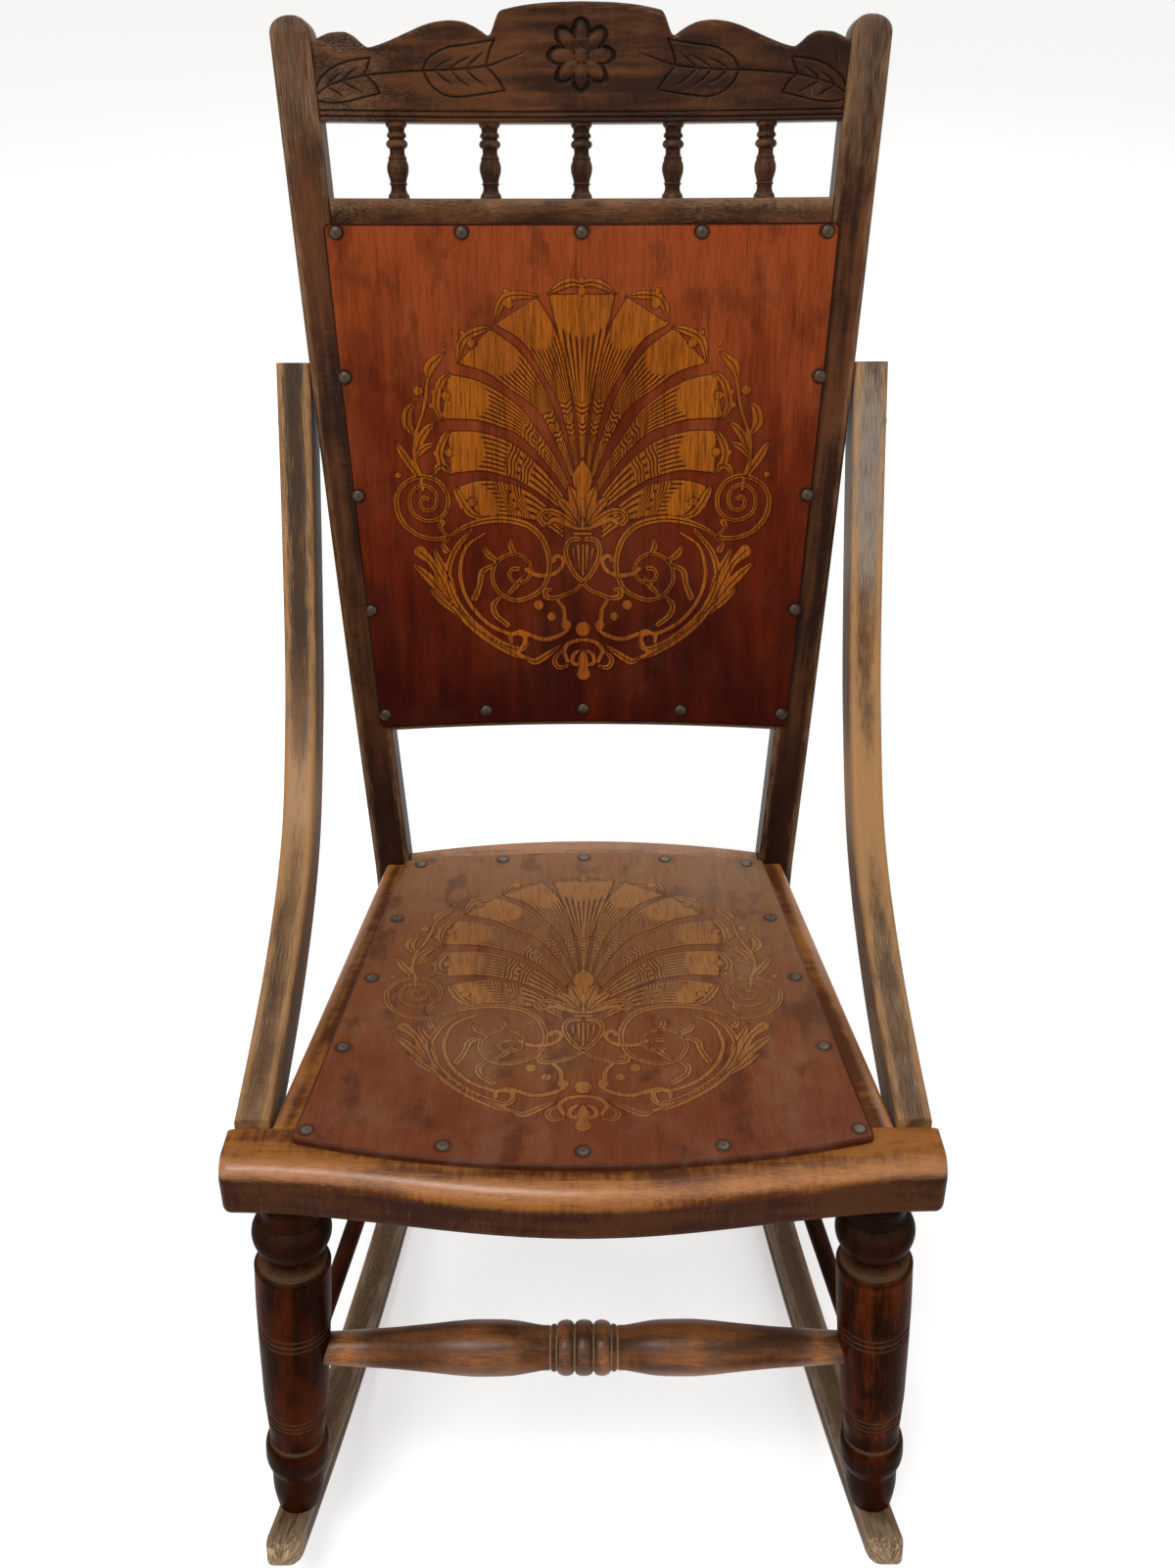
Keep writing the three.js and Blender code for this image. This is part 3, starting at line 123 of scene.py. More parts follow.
def smooth_through(keys: list[tuple[float, float]], at: Array) -> Array:
    """Smooth curve through key points that never swings past them.

    Each run between two keys is a cubic. The slope at a key is the harmonic mean of the slopes on
    both sides of it, and zero where they differ in sign.

    Args:
        keys: Pairs of place and value, with the places rising.
        at: Places to work out.

    Returns:
        The curve's value at each place.
    """
    x, y = np.array(keys, float).T
    step = np.diff(x)
    slope = np.diff(y) / step
    same = slope[:-1] * slope[1:] > 0
    mean = np.where(same, 2 * slope[:-1] * slope[1:] / np.where(same, slope[:-1] + slope[1:], 1), 0)
    lean = np.concatenate([[slope[0]], mean, [slope[-1]]])
    i = np.clip(np.searchsorted(x, at, side="right") - 1, 0, len(x) - 2)
    t = (np.clip(at, x[0], x[-1]) - x[i]) / step[i]
    rise = y[i] * (1 + 2 * t) * (1 - t) ** 2 + y[i + 1] * t * t * (3 - 2 * t)
    return rise + step[i] * (lean[i] * t * (1 - t) ** 2 - lean[i + 1] * t * t * (1 - t))


def through(held: Array, per_run: int) -> Array:
    """Curve through points, with a uniform Catmull-Rom run between each two.

    For a run from b to c, with a before it and d after it, a place is half of
    2b + (c - a) t + (2a - 5b + 4c - d) t^2 + (3b - a - 3c + d) t^3.

    Args:
        held: The points, and one more at each end that only gives the curve its direction.
        per_run: Steps in each run.

    Returns:
        Points along the curve, both ends among them.
    """
    t = np.linspace(0, 1, per_run, endpoint=False)[None, :, None]
    a, b, c, d = held[:-3, None], held[1:-2, None], held[2:-1, None], held[3:, None]
    run = 0.5 * (2 * b + (c - a) * t + (2 * a - 5 * b + 4 * c - d) * t**2
                 + (3 * b - a - 3 * c + d) * t**3)
    return np.concatenate([run.reshape(-1, held.shape[1]), held[-2:-1]])


def spline(points: list[tuple[float, ...]], per_run: int) -> Array:
    """Smooth curve through points, which leaves both ends in a straight line."""
    p = np.array(points, float)
    return through(np.concatenate([[2 * p[0] - p[1]], p, [2 * p[-1] - p[-2]]]), per_run)


def run_along(points: Array) -> Array:
    """Distance of each point of a line from its start, along the line."""
    return np.concatenate([[0], np.cumsum(np.linalg.norm(np.diff(points, axis=0), axis=1))])


def even(points: Array, count: int) -> Array:
    """The same line with its points spread evenly along its length.

    Args:
        points: The line.
        count: How many points to spread.

    Returns:
        The new points.
    """
    length = run_along(points)
    at = np.linspace(0, length[-1], count)
    return np.stack([np.interp(at, length, column) for column in points.T], axis=-1)


def blend(low: float | Array, high: float | Array, share: float | Array) -> float | Array:
    """Value a share of the way from low to high."""
    return low + (high - low) * share


def ease(value: Array, start: float, end: float) -> Array:
    """Smooth step: 0 at start, 1 at end, with level ends: 3 t^2 - 2 t^3."""
    t = np.clip((value - start) / (end - start), 0, 1)
    return t * t * (3 - 2 * t)


def hill(value: Array, middle: float, reach: float) -> Array:
    """Bell of height 1 about a middle: e^-((value - middle) / reach)^2."""
    return np.exp(-((value - middle) / reach) ** 2)


# Meshes


@dataclass
class Surface:
    """A closed skin in one of the chair's planes, in millimetres.

    Attributes:
        points: Places, one row each.
        faces: Arrays of corner numbers, one array for each number of corners.
        grain: Place of each point within its own plank, with z along the grain.
        wear: How exposed each point is to rubbing, from 0 to 1.
        plane: The plane that the points are drawn in.
        fields: Any further named numbers, one for each point.
    """

    points: Array
    faces: list[Array]
    grain: Array
    wear: Array
    plane: Plane = Plane.SEAT
    fields: dict[str, Array] = field(default_factory=dict)

    def volume(self) -> float:
        """Volume inside: the sum of a . (b x c) / 6 over the triangles of the faces.

        Returns:
            The volume in cubic millimetres, negative if the faces point inwards.
        """
        middle = self.points.mean(axis=0)
        total = 0.0
        for faces in self.faces:
            corners = self.points[faces] - middle
            for k in range(1, faces.shape[1] - 1):
                cross = np.cross(corners[:, k], corners[:, k + 1])
                total += float((corners[:, 0] * cross).sum())
        return total / 6

    def mirrored(self) -> "Surface":
        """The same skin on the other side of the chair, cut from another part of the plank."""
        return Surface(self.points * [-1.0, 1.0, 1.0], [f[:, ::-1] for f in self.faces],
                       self.grain + 137.0, self.wear, self.plane, self.fields)

    def to_mesh(self, name: str, crease: float) -> bpy.types.Object:
        """Make the Blender object, with its place in its mesh.

        Args:
            name: The object's name.
            crease: Edges that turn by more than this, in degrees, stay crisp.

        Returns:
            The new object, linked to the scene.
        """
        turn = slice(None) if self.volume() > 0 else slice(None, None, -1)
        places = to_row(self.points, self.plane)
        mesh = bpy.data.meshes.new(name)
        mesh.from_pydata(places.tolist(), [], [c for f in self.faces for c in f[:, turn].tolist()])
        mesh.polygons.foreach_set("use_smooth", np.ones(len(mesh.polygons), bool))
        mesh.set_sharp_from_angle(angle=math.radians(crease))
        grain = mesh.attributes.new("grain", "FLOAT_VECTOR", "POINT")
        grain.data.foreach_set("vector", (self.grain / 1000.0).astype(np.float32).ravel())
        for key, values in {"wear": self.wear, **self.fields}.items():
            mesh.attributes.new(key, "FLOAT", "POINT").data.foreach_set(
                "value", values.astype(np.float32))
        mesh.update()
        made = bpy.data.objects.new(name, mesh)
        bpy.context.scene.collection.objects.link(made)
        return made


def grid_quads(rows: int, columns: int, round_rows: bool = False) -> Array:
    """Corner numbers of the squares of a grid of points, numbered along its rows.

    Args:
        rows: Number of rows of points.
        columns: Points in each row.
        round_rows: Join each row's last point to its first.

    Returns:
        One row of four corners for each square.
    """
    numbers = np.arange(rows * columns).reshape(rows, columns)
    if round_rows:
        numbers = np.concatenate([numbers, numbers[:, :1]], axis=1)
    corners = [numbers[:-1, :-1], numbers[:-1, 1:], numbers[1:, 1:], numbers[1:, :-1]]
    return np.stack(corners, axis=-1).reshape(-1, 4)


def skin(rings: Array, grain: Array, wear: Array, plane: Plane = Plane.SEAT) -> Surface:
    """Skin over a row of closed rings, each end closed on the middle of its ring.

    Args:
        rings: Places, as ring, point on the ring, and x, y, z.
        grain: Place in the plank, in the same arrangement.
        wear: Exposure to rubbing, as ring and point.
        plane: The plane that the rings are drawn in.

    Returns:
        The closed skin.
    """
    count, around = rings.shape[:2]
    ends = count * around + np.arange(2)
    here = np.arange(around)
    following = (here + 1) % around
    last = (count - 1) * around
    caps = np.concatenate([
        np.stack([np.full(around, ends[0]), following, here], axis=-1),
        np.stack([np.full(around, ends[1]), last + here, last + following], axis=-1)])

    def with_ends(values: Array) -> Array:
        """The rings' values as one list, and after them the middle value of both end rings."""
        flat = values.reshape(count * around, -1)
        return np.concatenate([flat, values[[0, -1]].reshape(2, around, -1).mean(axis=1)])

    return Surface(with_ends(rings), [grid_quads(count, around, True), caps], with_ends(grain),
                   with_ends(wear[..., None])[:, 0], plane)


def turned(start: Array, end: Array, profile: Array, sides: int, plane: Plane = Plane.SEAT,
           offset: float = 0.0) -> Surface:
    """Turned piece: circles about the line from start to end, closed on the line.

    The point at angle w on the circle at distance d is start + d a + r(d) (cos w b + sin w c),
    where a runs along the line and b and c are square to it.

    Args:
        start: Where distances begin.
        end: Where the line ends.
        profile: Rows of distance along the line and radius there.
        sides: Points on each circle.
        plane: The plane that the line is drawn in.
        offset: Shifts the grain, so that no two pieces look alike.

    Returns:
        The closed skin.
    """
    along = (end - start) / np.linalg.norm(end - start)
    side = np.cross(along, [0.0, 1.0, 0.0] if abs(along[1]) < 0.9 else [0.0, 0.0, 1.0])
    side /= np.linalg.norm(side)
    other = np.cross(along, side)
    angle = np.arange(sides) / sides * 2 * np.pi
    distance, radius = profile[:, 0, None], profile[:, 1, None]
    across = np.cos(angle)[None] * radius
    deep = np.sin(angle)[None] * radius
    rings = (start + distance[..., None] * along + across[..., None] * side
             + deep[..., None] * other)
    grain = np.stack([across + offset, deep + offset * 0.37, distance + 0 * across], axis=-1)
    # a turned piece rubs where a circle stands out from its neighbours, and dust lies where one
    # sinks below them
    wide = profile[:, 1]

    def averaged(reach: float) -> Array:
        """Radius averaged over the circles within a reach."""
        near = hill(profile[:, :1], profile[:, 0], reach)
        return (near * wide).sum(axis=1) / near.sum(axis=1)

    wear = np.clip(0.5 + (wide - averaged(7.0)) * 0.28, 0, 1)[:, None] + 0 * across
    made = skin(rings, grain, wear, plane)
    sunk = np.clip((averaged(2.2) - wide) * 2.2, 0, 1)
    made.fields["age"] = np.concatenate([np.repeat(sunk, sides), [0.0, 0.0]])
    return made


def profile_from(keys: list[tuple[float, float]], step: float) -> Array:
    """Profile of a turned piece through its measured keys.

    Args:
        keys: Pairs of distance and radius, with the distances rising.
        step: How close the profile's circles stand, in millimetres.

    Returns:
        Rows of distance and radius, the keys among them.
    """
    places = np.array([key[0] for key in keys])
    dense = np.arange(places[0], places[-1], step)
    at = np.unique(np.concatenate([dense, places]).round(4))
    return np.stack([at, smooth_through(keys, at)], axis=-1)


def rounded_section(width: float, depth: float, radius: float, corner: int = 4,
                    side: int = 5) -> tuple[Array, Array]:
    """Rectangle with rounded corners, about the middle of its width, from depth 0 back.

    Args:
        width: Size across.
        depth: Size front to back.
        radius: Rounding of its corners.
        corner: Steps round a corner.
        side: Steps along a side.

    Returns:
        The points as rows of across and depth, and how close each is to a corner, from 0 to 1.
    """
    points, close = [], []
    middles = [(width / 2 - radius, depth - radius), (radius - width / 2, depth - radius),
               (radius - width / 2, radius), (width / 2 - radius, radius)]
    for quarter, (cx, cy) in enumerate(middles):
        angle = (quarter + np.linspace(0, 1, corner + 1)) * np.pi / 2
        points.append(np.stack([cx + radius * np.cos(angle), cy + radius * np.sin(angle)], axis=-1))
        close.append(np.ones(corner + 1))
        following = middles[(quarter + 1) % 4]
        turn = (quarter + 1) * np.pi / 2
        target = np.array([following[0] + radius * math.cos(turn),
                           following[1] + radius * math.sin(turn)])
        share = (np.arange(1, side) / side)[:, None]
        run = points[-1][-1] + (target - points[-1][-1]) * share
        points.append(run)
        gone = np.linalg.norm(target - run[0]) * np.minimum(share, 1 - share)[:, 0]
        close.append(np.exp(-gone / RUBBED_REACH))
    return np.concatenate(points), np.concatenate(close)


def swept(path: Array, across: Array, deep: Array, section: Array, close: Array,
          plane: Plane = Plane.SEAT, offset: float = 0.0) -> Surface:
    """Section carried along a path: point = path + u across + v deep, for a place u, v of it.

    Args:
        path: Places along the path.
        across: Unit direction of the section's first number, for each place or for all.
        deep: Unit direction of its second number.
        section: The section's points, for all places or for each.
        close: How exposed each point is.
        plane: The plane that the path is drawn in.
        offset: Shifts the grain.

    Returns:
        The closed skin.
    """
    count = len(path)
    section = np.broadcast_to(section, (count, *section.shape[-2:]))
    across = np.broadcast_to(across, (count, 3))[:, None]
    deep = np.broadcast_to(deep, (count, 3))[:, None]
    u, v = section[..., :1], section[..., 1:]
    rings = path[:, None] + u * across + v * deep
    run = run_along(path)[:, None, None]
    grain = np.concatenate([u + offset, v + offset * 0.37, 0 * u + run], axis=-1)
    return skin(rings, grain, np.broadcast_to(close, rings.shape[:2]).copy(), plane)


# Finishes


def linear(hex_colour: str) -> tuple[float, float, float, float]:
    """Turn an sRGB hex colour into the linear one that shaders take."""
    parts = [int(hex_colour[i:i + 2], 16) / 255 for i in (1, 3, 5)]
    return (*[c / 12.92 if c <= 0.04045 else ((c + 0.055) / 1.055) ** 2.4 for c in parts], 1.0)


Tree = bpy.types.NodeTree
Socket = bpy.types.NodeSocket
SMOOTH = "SMOOTHSTEP"


def add_node(tree: Tree, kind: str, *inputs: object, named: dict | None = None,
             output: int | str = 0, **settings: object) -> Socket:
    """Add one shader node.

    Args:
        tree: The tree that it goes into.
        kind: Its type, without the leading ShaderNode.
        inputs: For each input in order, a value or the socket to link.
        named: The same for further inputs, by name or number.
        output: The output to go on from.
        settings: Properties of the node itself.

    Returns:
        That output.
    """
    node = tree.nodes.new("ShaderNode" + kind)
    for key, value in settings.items():
        setattr(node, key, value)
    for key, value in {**dict(enumerate(inputs)), **(named or {})}.items():
        if isinstance(value, Socket):
            tree.links.new(value, node.inputs[key])
        else:
            node.inputs[key].default_value = value
    return node.outputs[output] if len(node.outputs) else node.inputs[0]


class Bench:
    """A new material's nodes, with the patterns and the layers that every finish is built from.

    Attributes:
        material: The material.
        tree: Its nodes.
        shader: Its surface shader, joined to its output.
    """

    def __init__(self, name: str) -> None:
        """Make the material.

        Args:
            name: The material's name.
        """
        self.material = bpy.data.materials.new(name)
        self.material.use_nodes = True
        self.tree = self.material.node_tree
        self.tree.nodes.clear()
        bsdf = add_node(self.tree, "BsdfPrincipled")
        self.shader = bsdf.node
        add_node(self.tree, "OutputMaterial", named={"Surface": bsdf})

    def number(self, name: str) -> Socket:
        """One of the numbers that the mesh holds for each point."""
        return add_node(self.tree, "Attribute", attribute_name=name, output="Fac")

    def streaks(self, stretch: tuple[float, float, float], scale: float, detail: float = 3.0,
                rough: float = 0.55) -> Socket:
        """Noise in the wood's own coordinates.

        Args:
            stretch: How fast it changes across, through and along the grain.
            scale: Cells in a metre.
            detail: Steps of ever finer noise.
            rough: How strong each step is against the one before.

        Returns:
            The noise, about 0.5.
        """
        grain = add_node(self.tree, "Attribute", attribute_name="grain", output="Vector")
        moved = add_node(self.tree, "Mapping", grain, named={"Scale": stretch})
        return add_node(self.tree, "TexNoise", moved,
                        named={"Scale": scale, "Detail": detail, "Roughness": rough})

    def layer(self, colour: Socket | str, over: Socket | str, share: Socket,
              most: float = 1.0) -> Socket:
        """Lay one colour over another.

        Args:
            colour: What is there, as a socket or a hex colour.
            over: What goes on it.
            share: How much of it, from 0 to 1.
            most: The share that 1 stands for.

        Returns:
            The new colour.
        """
        share = add_node(self.tree, "Math", share, most, operation="MULTIPLY")
        first, second = [linear(c) if isinstance(c, str) else c for c in (colour, over)]
        return add_node(self.tree, "Mix", share, named={6: first, 7: second}, data_type="RGBA",
                        output=2)

    def close(self, colour: Socket, rough: Socket, height: Socket, depth: float,
              values: dict[str, float | Socket]) -> bpy.types.Material:
        """Join what was built to the shader.

        Args:
            colour: The surface's colour.
            rough: Its roughness.
            height: Its fine relief.
            depth: Metres that a height of 1 stands for.
            values: The shader's other inputs.

        Returns:
            The material.
        """
        bump = add_node(self.tree, "Bump", named={"Strength": 0.75, "Distance": depth,
                                                  "Height": height})
        for key, value in {"Base Color": colour, "Roughness": rough, "Normal": bump,
                           "Coat Normal": bump, **values}.items():
            if isinstance(value, Socket):
                self.tree.links.new(value, self.shader.inputs[key])
            else:
                self.shader.inputs[key].default_value = value
        return self.material


@dataclass(frozen=True)
class StainedWood:
    """Birch, turned or sawn, stained and varnished, rubbed through by a century of use.

    The stain is darker in the pores, the figure shows as slow bands along the grain, and the worn
    places are paler, drier and dustier than the rest.

    Attributes:
        name: The material's name.
        dark: Colour of the stain at its darkest.
        light: Colour of the stain at its palest.
        worn: Colour of the wood where the stain has gone.
        pale: Colour where it has bleached, and of painted light on a stay.
        deep: Colour where the stain and the dirt lie thick, and of painted shade on a stay.
        dust: Colour of what lies on faces that look up.
        wear_start: How much wear it takes before the stain thins.
        wear_full: And before it is gone.
        dust_share: How much of an upward face the dust hides.
        roughness: Of the varnish.
        gloss: How strongly the varnish mirrors.
        polish: How much the places that hands rub are polished.
        flecks: How strongly pale scratches across the grain show.
        figure: How strongly the wood's curl shows, as waves across the grain.
        grime: How strongly dark smudges show.
        ragged: How broken the edges of worn and of bleached places are.
    """

    name: str
    dark: str
    light: str
    worn: str
    pale: str = "#8d8377"
    deep: str = "#1a0f09"
    dust: str = "#7d6c5a"
    wear_start: float = 0.45
    wear_full: float = 1.0
    dust_share: float = 0.15
    roughness: float = 0.42
    gloss: float = 0.2
    polish: float = 0.2
    flecks: float = 0.3
    figure: float = 0.1
    grime: float = 0.3
    ragged: float = 0.8

    def make(self) -> bpy.types.Material:
        """Build the material's nodes.

        Returns:
            The material.
        """
        bench = Bench(self.name)
        add, layer = partial(add_node, bench.tree), bench.layer
        # fibres about 0.5 mm across and 20 mm long; bands about 9 mm by 130 mm
        fibre = bench.streaks((1, 1, 0.03), 1900, 2)
        band = bench.streaks((1, 1, 0.07), 110, 3)
        cloud = bench.streaks((1, 1, 0.5), 24, 4)
        # the curl: waves 4 mm wide along the grain and 18 mm across it
        curl = bench.streaks((0.22, 0.22, 1), 260, 2)
        patch = bench.streaks((1, 1, 0.4), 60, 5, 0.65)
        tone = add("Math", band, 0.55, -0.275, operation="MULTIPLY_ADD")
        tone = add("Math", cloud, 0.6, tone, operation="MULTIPLY_ADD")
        tone = add("Math", add("Math", curl, -0.5), self.figure, tone, operation="MULTIPLY_ADD")
        light = add("MapRange", tone, 0.19, 0.41, interpolation_type=SMOOTH)
        colour = layer(self.dark, self.light, light)
        pore = add("MapRange", fibre, 0.5, 0.3, interpolation_type=SMOOTH)
        colour = layer(colour, self.dark, pore, 0.55)
        # smudges of dirt 20 to 60 mm across
        smudge = add("MapRange", bench.streaks((1, 1, 0.45), 21, 5, 0.6), 0.52, 0.68,
                     interpolation_type=SMOOTH)
        colour = layer(colour, self.deep, smudge, self.grime)
        # bleached and blackened places, broken up by the fibres and by patches; on the stays these
        # layers also paint light and shade
        broken = add("Math", fibre, 1.2, patch, operation="MULTIPLY_ADD")
        broken = add("Math", broken, self.ragged, -1.1 * self.ragged, operation="MULTIPLY_ADD")
        age = bench.number("age")
        bleached_and_lit = add("MapRange", add("Math", age, broken), 0.1, 0.75, interpolation_type=SMOOTH)
        silver = add("MapRange", fibre, 0.36, 0.58, 0.35, 1.0)
        colour = layer(colour, self.pale, add("Math", bleached_and_lit, silver, operation="MULTIPLY"), 0.9)
        blackened_and_shaded = add("Math", age, -1.0, broken, operation="MULTIPLY_ADD")
        blackened_and_shaded = add("MapRange", blackened_and_shaded, 0.1, 0.75, interpolation_type=SMOOTH)
        colour = layer(colour, self.deep, blackened_and_shaded, 0.85)
        # wear: rubbed edges, broken up by patches 10 to 30 mm across and by the fibres
        wear = bench.number("wear")
        rubbed = add("Math", broken, 1.1, wear, operation="MULTIPLY_ADD")
        rubbed = add("MapRange", rubbed, self.wear_start, self.wear_full,
                     interpolation_type=SMOOTH)
        colour = layer(colour, self.worn, rubbed, 0.85)
        # short pale scratches, 0.4 mm wide and 8 mm long, lying across the grain
        scratch = add("MapRange", bench.streaks((0.09, 0.09, 1), 1700, 1), 0.66, 0.76)
        rare = add("MapRange", bench.streaks((1, 1, 1), 45, 2), 0.5, 0.62)
        marks = add("Math", scratch, rare, operation="MULTIPLY")
        colour = layer(colour, self.worn, marks, self.flecks)
        # painted shade in carved cuts: the stain's darkest colour, then near black
        cut = bench.number("cut")
        colour = layer(layer(colour, self.dark, cut, 0.75), "#0d0a08", cut, 0.6)
        normal = add("NewGeometry", output="Normal")
        up = add("MapRange", add("SeparateXYZ", normal, output=2), 0.35, 0.95,
                 interpolation_type=SMOOTH)
        grit = add("MapRange", bench.streaks((1, 1, 1), 900, 3, 0.7), 0.35, 0.7)
        dusty = add("Math", up, grit, operation="MULTIPLY")
        colour = layer(colour, self.dust, dusty, self.dust_share * 2)
        # flakes of old paint and bare splinters, 1 to 3 mm across
        chip = add("Math", bench.number("chip"), bench.streaks((1, 1, 0.8), 420, 4, 0.75))
        chip = add("MapRange", chip, 1.46, 1.5)
        colour = layer(colour, "#c3a67a", chip, 0.9)
        rough = add("Math", cloud, 0.3, self.roughness - 0.15, operation="MULTIPLY_ADD")
        rough = add("Math", rubbed, 0.16, rough, operation="MULTIPLY_ADD")
        rough = add("Math", dusty, 0.3, rough, operation="MULTIPLY_ADD")
        height = add("Math", patch, 5.0, fibre, operation="MULTIPLY_ADD")
        coat = add("MapRange", wear, 0.45, 0.75, 0.0, self.polish, interpolation_type=SMOOTH)
        return bench.close(colour, rough, height, 0.00008, {
            "Specular IOR Level": self.gloss, "Coat Weight": coat, "Coat Roughness": 0.3})


@dataclass(frozen=True)
class OldMetal:
    """Cast or drawn metal that has lost its plating: dark in the hollows, brighter where rubbed.

    Attributes:
        name: The material's name.
        dark: Colour of the tarnish.
        bright: Colour of the bare metal.
        roughness: Of the bare metal.
        metallic: How metallic the surface still looks.
    """

    name: str
    dark: str
    bright: str
    roughness: float = 0.38
    metallic: float = 0.7

    def make(self) -> bpy.types.Material:
        """Build the material's nodes.

        Returns:
            The material.
        """
        bench = Bench(self.name)
        add = partial(add_node, bench.tree)
        # spots of tarnish 1 to 3 mm across, which is a quarter of a nail's head
        spot = bench.streaks((1, 1, 1), 520, 4, 0.65)
        bare = add("Math", bench.number("wear"), 0.7, spot, operation="MULTIPLY_ADD")
        bare = add("MapRange", bare, 0.72, 1.0, interpolation_type=SMOOTH)
        colour = bench.layer(self.dark, self.bright, bare)
        rough = add("Math", bare, -0.2, self.roughness + 0.2, operation="MULTIPLY_ADD")
        return bench.close(colour, rough, spot, 0.0001, {"Metallic": self.metallic})


@dataclass(frozen=True)
class PressedBoard:
    """Thin three-ply board, its face veneer stamped with a hot die, then stained and varnished.

    The die leaves the ground dark and smooth. The raised forms were rubbed back while the stain was
    wet, so they show the golden wood, with the stain left in every groove and round every outline.

    Attributes:
        name: The material's name.
        dark: Colour of the stain at the foot of the board, partly painted shade on the back panel.
        middle: Its colour half way up.
        light: Its colour at the head, partly painted light on the back panel.
        gold: Colour of the raised parts.
        gold_foot: Their colour at the foot of the board.
        line: Colour of the stain left in the grooves.
        haze: Colour of the scuffs and the dust, and of a painted reflection on the back panel.
        gilt: How far the raised parts are rubbed back, from 0 to 1.
        scuffed: How much of the face is scuffed, from 0 to 1.
        roughness: Of the varnish.
        gloss: How strongly the varnish mirrors.
        coat: How much of a second, clear coat of varnish is left.
        stained: How strongly dark stains show.
    """

    name: str
    dark: str
    middle: str
    light: str
    gold: str
    gold_foot: str
    line: str
    haze: str
    gilt: float
    scuffed: float
    roughness: float
    gloss: float
    coat: float
    stained: float

    def comb(self, bench: Bench, count: Socket) -> Socket:
        """Grooves between the ridges of a row: a smooth step of |fract(count) - 0.5|.

        Args:
            bench: The material that they are drawn in.
            count: Running count of the ridges, whole where two of them meet.

        Returns:
            0 on a ridge and 1 in the groove between two.
        """
        add = partial(add_node, bench.tree)
        part = add("Math", add("Math", add("Math", count, operation="FRACT"), -0.5),
                   operation="ABSOLUTE")
        return add("MapRange", part, 0.26, 0.42, interpolation_type=SMOOTH)

    def grooves(self, bench: Bench) -> tuple[Socket, Socket, Socket]:
        """Lines of the die, drawn from the panel's own numbers.

        Args:
            bench: The material that they are drawn in.

        Returns:
            How golden a place is, how deep in a groove it lies, and its height in millimetres.
        """
        add = partial(add_node, bench.tree)
        raised, woven = bench.number("raised"), bench.number("woven")
        inside = add("MapRange", raised, -0.3, 0.3, interpolation_type=SMOOTH)
        plain = add("Math", 1.0, woven, operation="SUBTRACT")
        ribs = add("Math", self.comb(bench, bench.number("rib")), bench.number("ribbed"),
                   operation="MULTIPLY")
        ribs = add("Math", ribs, plain, operation="MULTIPLY")
        ripples = add("Math", self.comb(bench, bench.number("ripple")), woven, operation="MULTIPLY")
        # a vein is a line about 0.7 mm wide, and an outline lies 0.6 to 1.2 mm outside its form
        vein = add("Math", bench.number("vein"), operation="ABSOLUTE")
        vein = add("MapRange", vein, 0.55, 0.15, interpolation_type=SMOOTH)
        groove = add("Math", add("Math", ribs, ripples, operation="MAXIMUM"), vein,
                     operation="MAXIMUM")
        outside = add("Math", 1.0, inside, operation="SUBTRACT")
        outline = add("MapRange", raised, -1.25, -0.55, 0.0, 0.75, interpolation_type=SMOOTH)
        outline = add("Math", outline, outside, operation="MULTIPLY")
        groove_in = add("Math", groove, inside, operation="MULTIPLY")
        line = add("Math", groove_in, outline, operation="MAXIMUM")
        golden = add("Math", inside, groove_in, operation="SUBTRACT")
        height = add("Math", golden, 0.7, add("Math", line, -0.3, operation="MULTIPLY"),
                     operation="MULTIPLY_ADD")
        return golden, line, height

    def make(self) -> bpy.types.Material:
        """Build the material's nodes.

        Returns:
            The material.
        """
        bench = Bench(self.name)
        add, layer = partial(add_node, bench.tree), bench.layer
        golden, line, height = self.grooves(bench)
        # fibres 0.6 mm across and 15 mm long; veneer figure in bands 12 mm across
        fibre = bench.streaks((1, 1, 0.04), 1500, 2)
        band = bench.streaks((1, 1, 0.12), 75, 4, 0.6)
        cloud = bench.streaks((1, 1, 0.6), 14, 3)
        # the wear number holds the share up the board, so the tone darkens towards the foot; on the
        # back panel that is partly painted shade and painted light
        tone = add("Math", cloud, 0.9, bench.number("wear"), operation="MULTIPLY_ADD")
        tone = add("Math", band, 0.7, tone, operation="MULTIPLY_ADD")
        low = add("MapRange", tone, 0.75, 1.3, interpolation_type=SMOOTH)
        high = add("MapRange", tone, 1.25, 1.8, interpolation_type=SMOOTH)
        colour = layer(layer(self.dark, self.middle, low), self.light, high)
        pore = add("MapRange", fibre, 0.5, 0.3, interpolation_type=SMOOTH)
        # the figure: dark streaks 4 mm wide, and smudges 30 mm across and 60 mm tall
        figure = add("MapRange", bench.streaks((1, 1, 0.05), 260, 3, 0.6), 0.5, 0.34,
                     interpolation_type=SMOOTH)
        colour = layer(colour, self.line, figure, 0.18)
        smudge = add("MapRange", bench.streaks((1, 1, 0.6), 34, 5, 0.6), 0.52, 0.64,
                     interpolation_type=SMOOTH)
        colour = layer(colour, self.line, smudge, self.stained)
        colour = layer(colour, self.line, pore, 0.4)
        gold = layer(self.gold_foot, self.gold, low)
        streak = add("MapRange", fibre, 0.56, 0.34, interpolation_type=SMOOTH)
        gold = layer(gold, self.line, streak, 0.6)
        gold = layer(gold, self.line, figure, 0.3)
        rubbed = add("MapRange", cloud, 0.3, 0.6, self.gilt * 0.6, self.gilt,
                     interpolation_type=SMOOTH)
        colour = layer(colour, gold, add("Math", golden, rubbed, operation="MULTIPLY"))
        colour = layer(colour, self.line, line, 0.85)
        edge = add("MapRange", bench.number("rim"), 2.2, 0.6, interpolation_type=SMOOTH)
        colour = layer(colour, self.line, edge)
